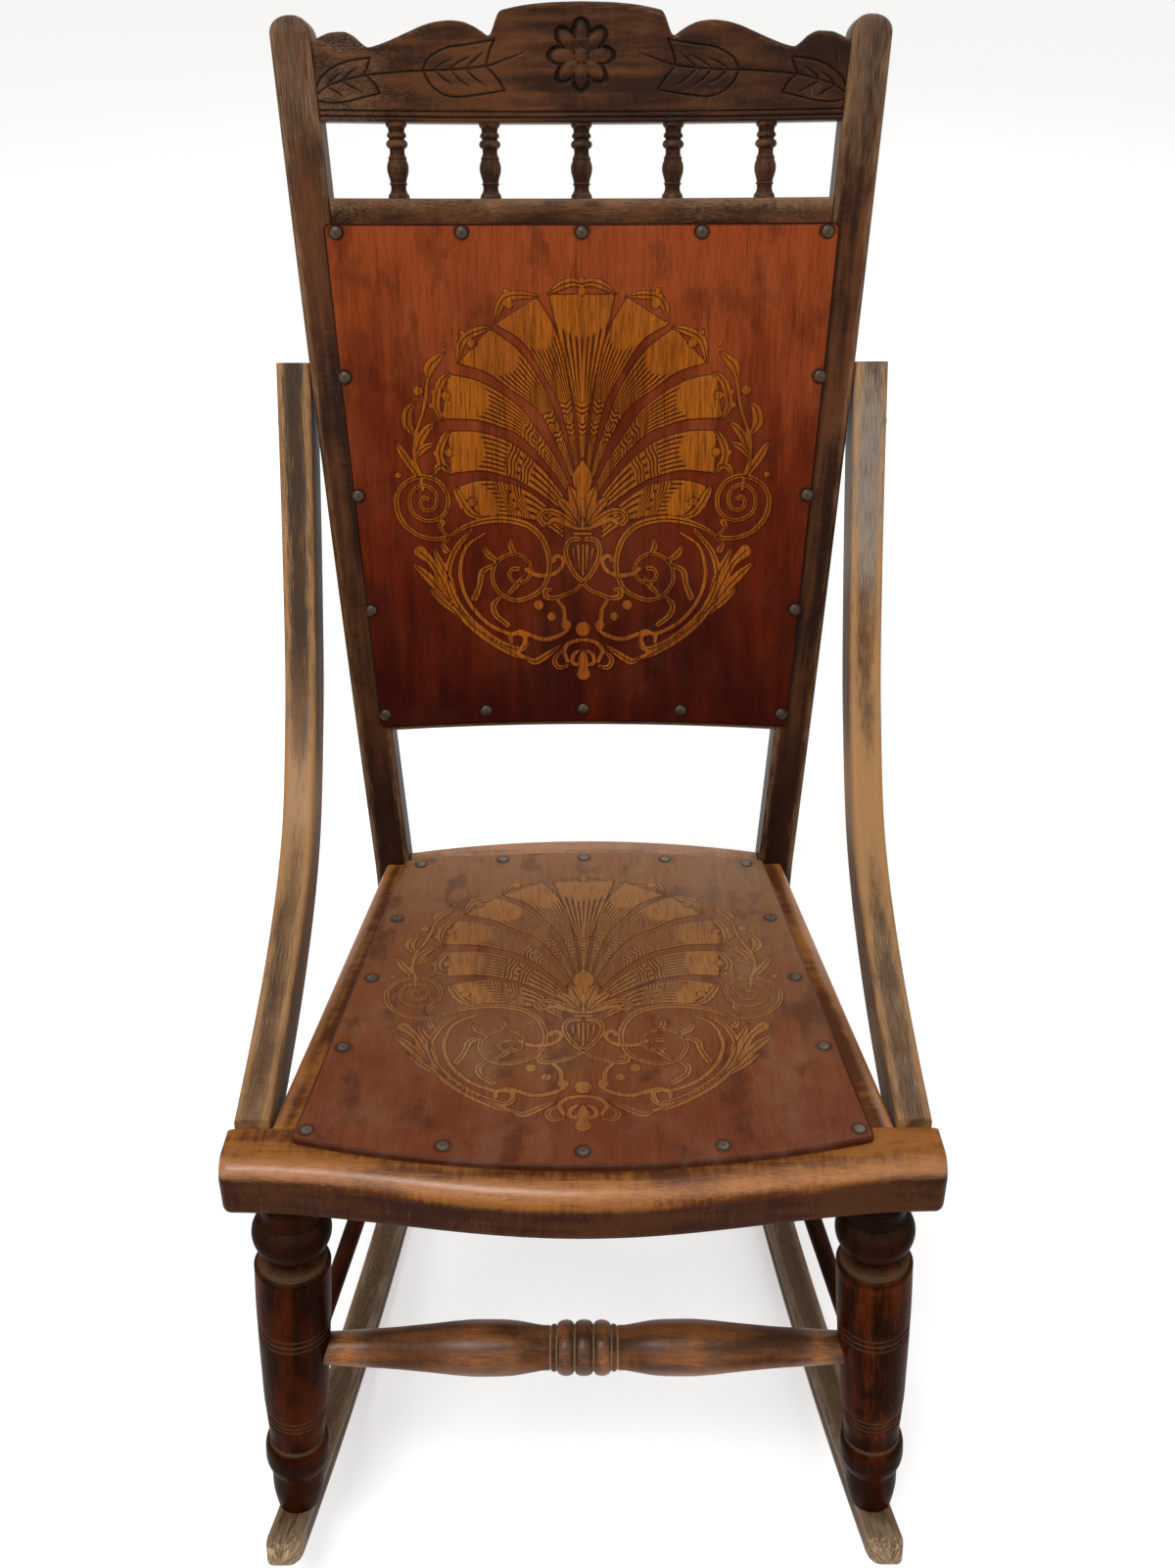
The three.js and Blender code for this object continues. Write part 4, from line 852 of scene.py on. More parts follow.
        # scuffs: dull grey-brown clouds 20 to 60 mm across, broken up by grit under a millimetre
        scuff = add("MapRange", bench.streaks((1, 1, 0.8), 26, 6, 0.7), 0.42, 0.72,
                    interpolation_type=SMOOTH)
        # rubbed places join the scuffs, and on the back panel also a painted reflection
        scuff = add("Math", scuff, 0.6, bench.number("scuff_and_reflection"), operation="MULTIPLY_ADD")
        grit = add("MapRange", bench.streaks((1, 1, 1), 1400, 2, 0.8), 0.3, 0.62)
        scuff_and_reflection = add("Math", scuff, grit, operation="MULTIPLY")
        colour = layer(colour, self.haze, scuff_and_reflection, self.scuffed)
        rough = add("Math", cloud, 0.24, self.roughness - 0.12, operation="MULTIPLY_ADD")
        rough = add("Math", scuff_and_reflection, 0.35 * self.scuffed, rough, operation="MULTIPLY_ADD")
        height = add("Math", fibre, 0.06, height, operation="MULTIPLY_ADD")
        return bench.close(colour, rough, height, 0.001, {
            "Specular IOR Level": self.gloss, "Coat Weight": self.coat, "Coat Roughness": 0.16})


# The stamped ornament

# Ribbed plumes of the shell, left half: each has its upper and its lower edge, both from the rim
# inwards, as distance from the middle line and height, in millimetres
PLUMES = [
    ([(-25, 153.8), (-18.2, 125), (-10.7, 95), (-5.3, 70), (-2.4, 45), (-0.8, 10)],
     [(25, 153.8), (18.2, 125), (10.7, 95), (5.3, 70), (2.4, 45), (0.8, 10)]),
    ([(33.6, 152), (22.1, 132.5), (14.2, 110), (9.2, 81.2), (4.9, 45), (1.9, 10)],
     [(65.3, 132.5), (45.6, 120), (30.3, 97.5), (18.4, 76.2), (9.9, 45), (3.4, 10)]),
    ([(69.5, 130), (48, 113.8), (32.7, 92.5), (23.9, 73.8), (11.8, 40), (3.8, 8.8)],
     [(94.1, 104.5), (72.8, 97.5), (55.1, 85), (34.8, 70), (16.8, 37.5), (5.3, 6.2)]),
    ([(101.5, 97), (77.7, 91.2), (54.9, 77.5), (40.2, 62.5), (20.5, 32.5), (6.3, 4.5)],
     [(107.2, 63.8), (82.2, 62.5), (64.6, 57.5), (48.2, 50), (25.4, 26.2), (8.2, 0)]),
    ([(103.3, 54.5), (79.6, 53.8), (59.5, 47.5), (44.3, 37.5), (26.5, 20), (9.4, -3.8)],
     [(101.6, 22.5), (79.1, 23.8), (61.5, 20), (48.9, 15), (31.3, 3.8), (13, -10)]),
    ([(100.1, 11.2), (79, 17), (58.9, 14.5), (43.8, 8.8), (28.7, -2.5), (15.5, -15)],
     [(78.5, -12), (63.5, -10.5), (51, -12.5), (35.9, -16.2), (23.3, -23.8), (15.2, -30)]),
]

# Scrolls, leaves, beads and the vase, left half: distance from the middle line, height, half width
STROKES = {
    "outer_spiral": [(105.8, -27.5, 1.2), (118.3, -28, 1.2), (130.8, -23.8, 1.2),
        (141, -13.8, 1.5), (144.9, -1.2, 1.5), (142.6, 10, 1.2), (134, 18, 1.2),
        (122.8, 20.5, 1.2), (112, 16.2, 1.2), (105.8, 6.2, 1.2), (106.1, -5, 1.2), (112.3, -12, 1),
        (121.5, -13.8, 1), (130.6, -9.5, 1), (134.9, -1.2, 1), (132.6, 8.8, 1), (125.2, 13.8, 1),
        (116.9, 10.8, 1), (113.7, 3, 1), (116.6, -4.5, 1), (123.1, -5.5, 1), (126.7, -0.5, 1),
        (124.3, 4.5, 1), (120.7, 3, 1.2)],
    "great_scroll": [(105.8, -27.5, 0.8), (94.6, -20, 1.2), (78.5, -15, 2), (61, -14.2, 2),
        (43.4, -18.8, 2), (32.7, -28.8, 1.8), (27.3, -42.5, 1.8), (27.1, -56.2, 1.5),
        (32.1, -68.8, 1.5), (42.5, -76.2, 1.5), (54.9, -78.8, 1.2), (66.3, -73, 1.2),
        (72.2, -61.2, 1.2), (69.7, -49.5, 1.2), (61, -42.5, 1), (50, -42.5, 1), (42.9, -48.8, 1),
        (41.5, -57, 1), (46.4, -63.8, 1), (53.9, -64.5, 1), (58.8, -59.5, 1), (56.8, -54, 1.2),
        (52.4, -53.2, 1.8)],
    "outer_sweep": [(87.9, -22, 0.8), (101.1, -37.5, 1.8), (107.1, -55, 2.2), (105.1, -70, 2.5),
        (96.1, -87.5, 2.2), (82.1, -102.5, 2), (65.6, -114.5, 1.8), (51, -119.5, 1.5),
        (45.6, -114.5, 1)],
    "inner_sweep": [(77.1, -24.5, 0.5), (91.9, -35, 0.8), (97.4, -52.5, 1), (96.1, -67.5, 1),
        (89.4, -83, 1), (77.2, -97, 1), (64.5, -104.5, 1), (57.5, -106.5, 1), (50.8, -104.5, 1),
        (43.2, -107.5, 1.2), (31.9, -111.5, 1.2), (19.5, -108.5, 1.2), (12.1, -103.5, 0.8)],
    "scroll_leaf_1": [(105, -77.5, 0.8), (112.2, -61.2, 2.8), (119.2, -47.5, 2.2),
        (128.1, -38, 4.2)],
    "scroll_leaf_2": [(104.9, -81.2, 0.8), (114.6, -68, 2.5), (124.8, -56.2, 2.8),
        (134.2, -47.5, 0.5)],
    "scroll_leaf_3": [(101, -88.8, 0.8), (112, -78, 2.5), (123.9, -66.2, 0.2)],
    "scroll_leaf_4": [(101.3, -70, 0.5), (107.8, -56.2, 2), (114.3, -43.8, 1.8),
        (118.2, -33.8, 0.2)],
    "scroll_leaf_5": [(103.7, -81.2, 1), (92.2, -95.5, 3), (77, -109.2, 3), (59.3, -121.5, 2),
        (47.2, -128, 0.2)],
    "volute_leaf_1": [(66.7, -47.5, 0.8), (75.5, -41.2, 2.2), (79.2, -33, 0.2)],
    "volute_leaf_2": [(70.4, -50, 0.8), (79.8, -55, 2), (82.6, -66.2, 1.8), (86.7, -76.2, 2.2)],
    "volute_leaf_3": [(66.2, -76.2, 0.8), (71.9, -82.5, 2), (69.7, -91.2, 1.8), (60.6, -99, 1.5)],
    "volute_leaf_4": [(53, -42.5, 0.8), (56.9, -36.2, 2), (56.3, -27.5, 0.2)],
    "volute_leaf_5": [(62.5, -76.2, 0.5), (53.9, -67.5, 1.8), (47.8, -58.8, 0.5)],
    "tendril": [(45.3, -53.8, 1), (39, -58, 1.2), (29, -59.2, 1.2), (20.3, -56.2, 1.2),
        (15.9, -50, 1), (17.2, -44.5, 1), (21.8, -43.8, 1), (22.4, -47.5, 1)],
    "vase_side": [(0, -64.5, 1), (6.5, -58, 1.5), (11.9, -47.5, 1.5), (13.6, -38, 1.5),
        (9.7, -30.8, 1.5), (3.2, -30, 1.5)],
    "vase_rib_1": [(0, -59.5, 0.8), (0, -35, 1.2)],
    "vase_rib_2": [(2.6, -55.5, 0.5), (3.6, -35.5, 1.2)],
    "vase_rib_3": [(6.4, -48, 0.5), (7.8, -38, 1.2)],
    "tail": [(0, -64.5, 1), (5.1, -70.5, 1), (13.8, -74.5, 1.2), (23, -77.5, 1.5), (29.5, -76, 2),
        (30.1, -71.5, 1.5), (25.6, -70.5, 1)],
    "collar_1": [(0, -22, 1), (5.4, -22, 1)],
    "collar_2": [(0, -25.8, 1), (6.8, -25.8, 1)],
    "palmette": [(0, 32, 0.2), (0, 25, 3.2), (0, 17.5, 7.2), (0, 10, 4.6), (0, 4, 2)],
    "palmette_leaf_1": [(1.2, -18, 0.5), (3.6, -8, 2.2), (6.7, 2, 3.8), (10.6, 11.5, 0.5)],
    "palmette_leaf_2": [(3.1, -19.2, 0.5), (8.5, -10, 2.2), (14.7, -2.5, 3), (19.7, 2, 0.5)],
    "palmette_curl_1": [(3.9, -20.5, 0.8), (12.2, -14.5, 1.8), (21.1, -9, 1.8), (29.6, -8, 1.5),
        (34.5, -13, 1.5), (30.9, -18, 1.8)],
    "palmette_curl_2": [(5.4, -22, 0.5), (13.4, -18, 1.2), (22.2, -14.5, 1.2), (26.9, -17.5, 1)],
    "palmette_spear": [(0, -19.5, 0.8), (0, -5, 2.2), (0, 4, 0.5)],
    "bead_1": [(0, -103, 6), (0, -103.2, 6)],
    "bead_2": [(13.6, -99.5, 4), (13.6, -99.8, 4)],
    "bead_3": [(25.2, -92.5, 3.5), (25.2, -92.8, 3.5)],
    "bead_4": [(35.6, -83, 4), (35.6, -83.2, 4)],
    "bead_drop": [(20.4, -79, 1), (15.3, -87, 1.2), (14.7, -95.5, 1.2)],
    "ribbon": [(58.2, -113, 1), (58.5, -108, 1.2), (53, -106, 1.2), (47, -109.5, 1.2),
        (48.8, -117, 1.2), (52.8, -122.5, 1), (43.7, -128, 0.5)],
    "spade": [(0, -122, 0.8), (0, -128.8, 3.5), (0, -133.8, 2), (0, -140.5, 5)],
    "spade_arc": [(12.6, -130, 1), (15.5, -121.2, 1.2), (11.4, -115, 1.2), (4.4, -112.5, 1),
        (0, -112, 0.8)],
    "spade_curl": [(3.8, -121.2, 0.8), (8, -125, 1.2), (8.6, -131.2, 1), (4.6, -133, 1)],
    "bottom_leaf_1": [(18.1, -116.5, 0.5), (28.7, -124, 2), (39.6, -130, 2.2), (47.2, -125.5, 0.5)],
    "bottom_leaf_2": [(15.5, -120, 0.5), (23.2, -128, 1.5), (20.1, -135, 1.5), (12.8, -133.8, 0.8)],
    "branch": [(124.4, 10, 0.8), (126.1, 22.5, 0.8), (129.8, 35, 0.8), (128.7, 50, 0.8),
        (123.5, 65, 0.8), (119.9, 77.5, 0.8), (118.1, 90, 0.8), (115.3, 100, 0.8),
        (105.5, 112, 0.5)],
    "branch_leaf_1": [(126, 18.8, 0.5), (133.2, 30, 2.5), (139.3, 40, 2.2), (143.5, 48, 0.2)],
    "branch_leaf_2": [(128.8, 37.5, 0.5), (124.5, 48.8, 2.8), (118.4, 57, 2.2), (111.7, 61, 0.2)],
    "branch_leaf_3": [(129, 51.2, 0.5), (134.2, 61.2, 3.5), (132.8, 70.5, 2.8), (126.9, 76.5, 0.2)],
    "branch_leaf_4": [(117.7, 93.8, 0.8), (115.8, 102, 3.5), (109.9, 108, 2.5), (103.8, 113, 0.2)],
    "branch_leaf_5": [(129.7, 33.8, 0.5), (124.8, 40, 2), (119.4, 43.8, 1.8), (113.2, 45, 0.2)],
    "branch_bud_1": [(125.1, 85, 3.5), (124.8, 84.8, 3.5)],
    "branch_bud_2": [(115.6, 73.8, 2), (115.4, 73.5, 2)],
    "branch_bud_3": [(104.3, 118.5, 1.5), (104.1, 118.2, 1.5)],
    "branch_bud_4": [(142.8, 22, 2.2), (142.5, 21.8, 2.2)],
    "spiral_leaf": [(116.5, 20, 0.5), (112.9, 27, 1.8), (106.7, 28.5, 1.5), (103.3, 24.5, 0.2)],
    "spiral_bud_1": [(110.5, -15.5, 2.2), (111.9, -20, 1), (106.8, -26.5, 0.8)],
    "spiral_bud_2": [(105.7, -28.8, 0.8), (110.2, -33, 1), (108.1, -37.5, 2.2)],
    "crown_0": [(24.9, 154.5, 0.5), (16.2, 160, 2.3), (7.3, 162.5, 2.3), (0, 161, 1.2)],
    "crown_0_flower": [(0, 156.2, 3), (0, 156, 3)],
    "crown_0_bud": [(0, 164.5, 2), (0, 164.2, 2)],
    "crown_1": [(65.8, 134.5, 0.5), (62.3, 145, 2.3), (57.1, 152, 2.3), (46.1, 153.5, 2.3),
        (33.1, 152.5, 0.5)],
    "crown_1_flower": [(55, 147, 3.2), (54.8, 146.8, 3.2)],
    "crown_1_bud": [(57.2, 156.5, 2), (56.9, 156.2, 2)],
    "crown_2": [(94.6, 105.5, 0.5), (91.8, 118, 2.3), (87.7, 124, 2.3), (78.7, 128, 2.3),
        (69, 130.5, 0.5)],
    "crown_2_flower": [(83.8, 119, 3.2), (83.6, 118.8, 3.2)],
    "crown_2_bud": [(90.7, 127, 1.8), (90.5, 126.8, 1.8)],
    "crown_3": [(107.7, 63, 0.5), (111.9, 73.5, 2.3), (110.1, 85.5, 2.3), (106.2, 93, 2.3),
        (101, 97.5, 0.5)],
    "crown_3_flower": [(104.2, 80.8, 3.2), (104, 80.5, 3.2)],
    "crown_3_bud": [(113.5, 83.5, 2), (113.3, 83.2, 2)],
    "crown_4": [(102.1, 22, 0.5), (108.7, 29.5, 2.3), (110.6, 38.8, 2.3), (107, 48.5, 2.3),
        (102.8, 55, 0.5)],
    "crown_4_flower": [(103.6, 38.5, 3.2), (103.3, 38.2, 3.2)],
    "crown_4_bud": [(113.6, 38, 2), (113.3, 37.8, 2)],
    "crown_5": [(79, -12.5, 0.5), (87.6, -9, 2.3), (93.2, -1.5, 2.3), (97.3, 6, 2.3),
        (99.9, 11.8, 0.5)],
    "crown_5_flower": [(86.7, 0, 3.2), (86.4, -0.2, 3.2)],
    "crown_5_bud": [(94.7, -3, 2), (94.4, -3.2, 2)],
}


def inside_line(a: Array, v: Array, line: list[tuple[float, float, float]]) -> tuple[Array, ...]:
    """How far inside a line of changing half width each place lies: width minus distance.

    Args:
        a: Distances from the middle line.
        v: Heights.
        line: Points with their half widths.

    Returns:
        The depth inside the line, negative outside it, and the offset to one side of its middle.
    """
    keys = spline(line, 6)
    inside, beside = np.full(a.shape, -FAR), np.full(a.shape, FAR)
    reach = keys[:, 2].max() + 4  # places further off than this count as far outside
    low, high = keys[:, :2].min(axis=0) - reach, keys[:, :2].max(axis=0) + reach
    near = (a > low[0]) & (a < high[0]) & (v > low[1]) & (v < high[1])
    p = np.stack([a[near], v[near]], axis=-1)[:, None]
    start, step = keys[:-1, :2], np.diff(keys[:, :2], axis=0)
    t = ((p - start) * step).sum(-1) / np.maximum((step**2).sum(-1), 1e-9)
    t = np.clip(t, 0, 1)
    gone = np.linalg.norm(p - start - t[..., None] * step, axis=-1)
    depth = blend(keys[:-1, 2], keys[1:, 2], t) - gone
    best = depth.argmax(axis=1)
    row = np.arange(len(best))
    # the sign of step x off says on which side of the line a place lies
    off = p[:, 0] - start[best]
    turn = step[best, 0] * off[:, 1] - step[best, 1] * off[:, 0]
    inside[near] = depth[row, best]
    beside[near] = np.copysign(gone[row, best], turn)
    return inside, beside


@dataclass
class Ornament:
    """The one die that stamped both panels: a shell over scrolls, the same on both sides of a line.

    Each place gets a few numbers that change smoothly, and the finish draws crisp lines from them:
    raised is how far inside a raised form the place is, in millimetres, rib counts the ribs across
    a plume, ripple counts the ripples along it, ribbed says where ribs show, woven where ripples
    do, and vein is how far beside the middle of a leaf the place is.

    Attributes:
        outer_ribs: Ribs across a plume at its rim.
        inner_ribs: Ribs across it inside the ripples.
        swell: Added to the half width of every stroke.
        pitch: Ripple to ripple, in millimetres.
        length: Of a plume, in millimetres.
        starts: Where the ribs start on each plume, as a share from the rim.
        tiers: Where the two tiers of ripples start on it, as such shares.
    """

    outer_ribs: float = 8.0
    inner_ribs: float = 4.0
    swell: float = 0.6
    pitch: float = 4.3
    length: float = 150.0
    starts: tuple[float, ...] = (0.2, 0.24, 0.24, 0.24, 0.24, 0.24)
    tiers: tuple[tuple[float, float], ...] = (
        (0.56, 0.72), (0.54, 0.72), (0.54, 0.72), (0.50, 0.68), (0.42, 0.62), (0.32, 0.56))

    def plume_shares(self, a: Array, v: Array, upper: Array, lower: Array) -> tuple[Array, ...]:
        """Shares across and along a plume, found by Newton steps on P = (1 - s) U(t) + s L(t).

        Args:
            a: Distances from the middle line.
            v: Heights.
            upper: Upper edge, evenly spaced from the rim inwards.
            lower: Lower edge, likewise.

        Returns:
            The share across, the share along, the plume's width there, and how far off the plume
            the place lies.
        """
        places = np.stack([a, v], axis=-1)
        grid_s, grid_t = np.meshgrid(np.linspace(0, 1, 7), np.linspace(0, 1, 41), indexing="ij")
        at = np.linspace(0, 1, len(upper))

        def edge(line: Array, t: Array) -> Array:
            """Places on an edge at shares along it."""
            return np.stack([np.interp(t, at, line[:, k]) for k in (0, 1)], axis=-1)

        def where(s: Array, t: Array) -> Array:
            """Places at shares across and along the plume."""
            return blend(edge(upper, t), edge(lower, t), s[..., None])

        # start at the nearest of a few known places, and step from there
        samples = where(grid_s, grid_t).reshape(-1, 2)
        nearest = ((places[:, None] - samples) ** 2).sum(-1).argmin(axis=1)
        s, t = grid_s.ravel()[nearest], grid_t.ravel()[nearest]
        nudge = 0.004
        for _ in range(5):
            along = (where(s, t + nudge) - where(s, t - nudge)) / (2 * nudge)
            across = edge(lower, t) - edge(upper, t)
            miss = places - where(s, t)
            area = across[:, 0] * along[:, 1] - across[:, 1] * along[:, 0]
            area = np.where(np.abs(area) < 1e-6, 1e-6, area)
            s = np.clip(s + (miss[:, 0] * along[:, 1] - miss[:, 1] * along[:, 0]) / area, -1, 2)
            t = np.clip(t + (across[:, 0] * miss[:, 1] - across[:, 1] * miss[:, 0]) / area, 0, 1)
        off = np.linalg.norm(places - where(s, t), axis=-1)
        width = np.linalg.norm(edge(lower, t) - edge(upper, t), axis=-1)
        return s, t, width, off

    def fields(self, x: Array, v: Array) -> dict[str, Array]:
        """The ornament's numbers at places on a panel, measured from the die's centre.

        Args:
            x: Places across.
            v: Places up.

        Returns:
            The named numbers, one for each place.
        """
        a = np.abs(x)
        made = {key: np.zeros(a.shape) for key in ("rib", "ripple", "ribbed", "woven")}
        raised = np.full(a.shape, -FAR)
        for k, (upper, lower) in enumerate(PLUMES):
            edges = [even(spline(line, 8), 60) for line in (upper, lower)]
            box = np.concatenate(edges)
            low, high = box.min(axis=0) - 3, box.max(axis=0) + 3
            near = (a > low[0]) & (a < high[0]) & (v > low[1]) & (v < high[1])
            s, t, width, off = self.plume_shares(a[near], v[near], *edges)
            inside = np.minimum(np.minimum(s, 1 - s) * width,
                                np.minimum(t + 0.002, 1 - t) * self.length)
            # a plume stops a quarter of a millimetre short, which leaves a line between two
            inside = np.where(off > 0.6, -off, inside) - 0.25
            better = inside > raised[near]
            # its ribs start along a line that is bowed towards the rim
            rim = ease(t + 0.07 * (2 * s - 1) ** 2, self.starts[k], self.starts[k] + 0.03)
            # two tiers of ripples, a plain band between them, and fewer ribs from there inwards
            first, last = self.tiers[k]
            gone = ease(t, first + 0.02, first + 0.04)
            woven = ease(t, first - 0.012, first + 0.004) * ease(t, last + 0.012, last - 0.004)
            woven *= 1 - ease(np.abs(t - (first + last) / 2), 0.02, 0.01)
            ribs = s * blend(self.outer_ribs, self.inner_ribs, gone)
            wave = np.sin(s * np.pi * 2.5 + k) * 0.3
            values = {"rib": ribs, "ripple": t * self.length / self.pitch + wave, "ribbed": rim,
                      "woven": woven}
            index = np.flatnonzero(near.ravel())[better]
            for key, value in values.items():
                made[key].ravel()[index] = value[better]
            raised.ravel()[index] = np.minimum(inside[better], RELIEF_REACH)
        over, vein = np.full(a.shape, -FAR), np.full(a.shape, FAR)
        for line in STROKES.values():
            # beads have two points and keep their size; only leaves wider than 4 mm have a vein
            if len(line) > 2:
                line = [(p, q, half + self.swell * min(half, 1.0)) for p, q, half in line]
            inside, beside = inside_line(a, v, line)
            veined = max(key[2] for key in line) > 2.0 and len(line) > 2
            vein = np.where(inside > over, beside if veined else FAR, vein)
            over = np.maximum(over, inside)
        # strokes lie over the plumes, with a line of bare ground 0.9 mm wide round them
        top = over > -0.9
        made["vein"] = np.where(top, vein, FAR)
        for key in ("ribbed", "woven"):
            made[key] = np.where(top, 0.0, made[key])
        made["raised"] = np.clip(np.where(top, over, raised), -RELIEF_REACH, RELIEF_REACH)
        return made


# Putting pieces in place


def place(surface: Surface, node: str, finish: bpy.types.Material,
          crease: float = 38.0) -> bpy.types.Object:
    """Make a surface's object, give it its finish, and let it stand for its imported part.

    Args:
        surface: The skin.
        node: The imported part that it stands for.
        finish: Its material.
        crease: Edges that turn by more than this, in degrees, stay crisp.

    Returns:
        The placed object.
    """
    piece = surface.to_mesh(f"{node}_finished", crease)
    piece.data.materials.append(finish)
    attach(piece, "root")
    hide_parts(node)
    LOG.info("%s: %d faces", piece.name, len(piece.data.polygons))
    return piece


def place_pair(surface: Surface, node: str, finish: bpy.types.Material) -> None:
    """Place a piece on the left of the chair and its mirror image on the right."""
    place(surface, f"{node}_left", finish)
    place(surface.mirrored(), f"{node}_right", finish)


# The seat frame


@dataclass
class SeatFrame:
    """Front rail with its rolled nose, two side rails and the rear rail behind the panel."""

    half: float = 233.0  # half the length of the front rail
    back: float = -137.0  # its back face
    width: float = 37.5  # its width at its ends
    bow: float = 23.0  # how much wider it is in the middle
    thickness: float = 41.0
    nose: float = 13.0  # rounding of its front edge, above
    under: float = 7.0  # and below
    end_round: float = 6.0  # rounding of its ends
    side_width: float = 45.0
    side_thickness: float = 33.0
    side_front: float = 204.7  # outer face of a side rail, in front
    side_rear: float = 168.25  # and behind
    depth: float = 327.0  # length of a side rail
    rear_front: float = 168.0  # front face of the rear rail
    rear_back: float = 209.0  # its back face at its ends
    rear_bow: float = 19.0  # how much wider it is in the middle
    between_posts: float = 148.45  # half its length
    shoulder: float = 122.9  # half the length of the part that fits between the side rails

    def outer(self, y: Array) -> Array:
        """Outer face of a side rail at a place along the seat."""
        return blend(self.side_front, self.side_rear, (y - self.back) / self.depth)

    def front_rail(self) -> Surface:
        """Front rail: a section with a round nose and a smaller round below, bowed in front.

        The front face is at back - width - bow cos^2(pi x / 2 half), and both ends are rounded off.

        Returns:
            The rail's skin.
        """
        body = np.linspace(-self.half + self.end_round, self.half - self.end_round, 140)
        turn = np.linspace(0, np.pi / 2, 8)[1:]
        tip = self.half - self.end_round + self.end_round * np.sin(turn)
        x = np.concatenate([-tip[::-1], body, tip])
        lack = np.clip(np.abs(x) - self.half + self.end_round, 0, None)
        inset = self.end_round - np.sqrt(self.end_round**2 - lack**2)
        front = self.back - self.width - self.bow * np.cos(x / self.half * np.pi / 2) ** 2 + inset
        drop = inset * 0.4  # its top and its underside round off less than its front
        bend = np.linspace(0, np.pi / 2, 12)
        nose = np.stack([self.nose * (1 - np.sin(bend)), -self.nose * (1 - np.cos(bend))], -1)
        under = np.stack([self.under * (1 - np.cos(bend)), -self.under * np.sin(bend)], -1)
        top, low = RAIL_TOP, RAIL_TOP - self.thickness
        count = len(x)
        rows = [np.stack([blend(self.back, front + self.nose, s), np.full(count, top) - drop], -1)
                for s in np.linspace(0, 1, 8)[:-1]]
        rows += [np.stack([front + p[0], top + p[1] - drop], -1) for p in nose]
        middle = np.linspace(top - self.nose, low + self.under, 6)[1:-1]
        rows += [np.stack([front, np.full(count, z)], -1) for z in middle]
        rows += [np.stack([front + p[0], low + self.under + p[1] + drop], -1) for p in under]
        rows += [np.stack([blend(front + self.under, self.back, s), np.full(count, low) + drop], -1)
                 for s in np.linspace(0, 1, 6)[1:]]
        section = np.stack(rows, axis=1)
        across = np.broadcast_to(x[:, None], section.shape[:2])
        rings = np.concatenate([across[..., None], section], axis=-1)
        grain = np.stack([section[..., 0], section[..., 1], across], axis=-1)
        # the top is rubbed a little, and most along the nose, where legs and hands brush it
        away = np.hypot(section[..., 0] - front[:, None] - 4, section[..., 1] - top + 6)
        wear = 0.12 + 0.26 * ease(section[..., 1], top - 14, top - 4)
        wear = wear + 0.38 * hill(away, 0, 11)
        made = skin(rings, grain, wear)
        # darker below the nose and on the underside, and towards the ends of the front face
        x, z = made.points[:, 0], made.points[:, 2]
        ends = ease(np.abs(x), 100, 225) * ease(z, top - 2, top - 10)
        made.fields["age"] = -1.4 * ease(z, top - 6, low + 12) - 0.7 * ends
        return made

    def side_rail(self) -> Surface:
        """Side rail on the left: a rounded board whose outer face runs in towards the back.

        Returns:
            The rail's skin.
        """
        y = np.linspace(self.back + GAP, self.depth + self.back - GAP, 60)
        middle = self.outer(y) - self.side_width / 2
        path = np.stack([middle, y, np.full(len(y), RAIL_TOP)], axis=-1)
        section, close = rounded_section(self.side_width, self.side_thickness, 3.0)
        return swept(path, np.array([1.0, 0, 0]), np.array([0, 0, -1.0]), section,
                     0.3 + 0.5 * close, offset=31.0)

    def rear_rail(self) -> Surface:
        """Rear rail: a board that fits between the side rails and then between the posts.

        Returns:
            The rail's skin.
        """
        inner, step = self.shoulder, 0.05
        x = np.concatenate([np.linspace(-self.between_posts, -inner - step, 8),
                            np.linspace(-inner, inner, 60),
                            np.linspace(inner + step, self.between_posts, 8)])
        front = np.where(np.abs(x) > inner, POST_FRONT + GAP, self.rear_front)
        back = self.rear_back + self.rear_bow * (1 - (x / self.between_posts) ** 2)
        # the section is 2 wide, so that its places across turn into shares from front to back
        section, close = rounded_section(2.0, self.side_thickness, 0.12)
        share = (section[:, 0] + 1) / 2
        y = blend(front[:, None], back[:, None], share)
        z = np.broadcast_to(RAIL_TOP - section[:, 1], y.shape)
        across = np.broadcast_to(x[:, None], y.shape)
        rings = np.stack([across, y, z], axis=-1)
        return skin(rings, np.stack([y, z, across], axis=-1), np.broadcast_to(close * 0.7, y.shape))

    def build(self, finish: bpy.types.Material) -> None:
        """Place the four rails."""
        place(self.front_rail(), "front_rail", finish)
        place_pair(self.side_rail(), "side_rail", finish)
        place(self.rear_rail(), "rear_rail", finish)


# The back


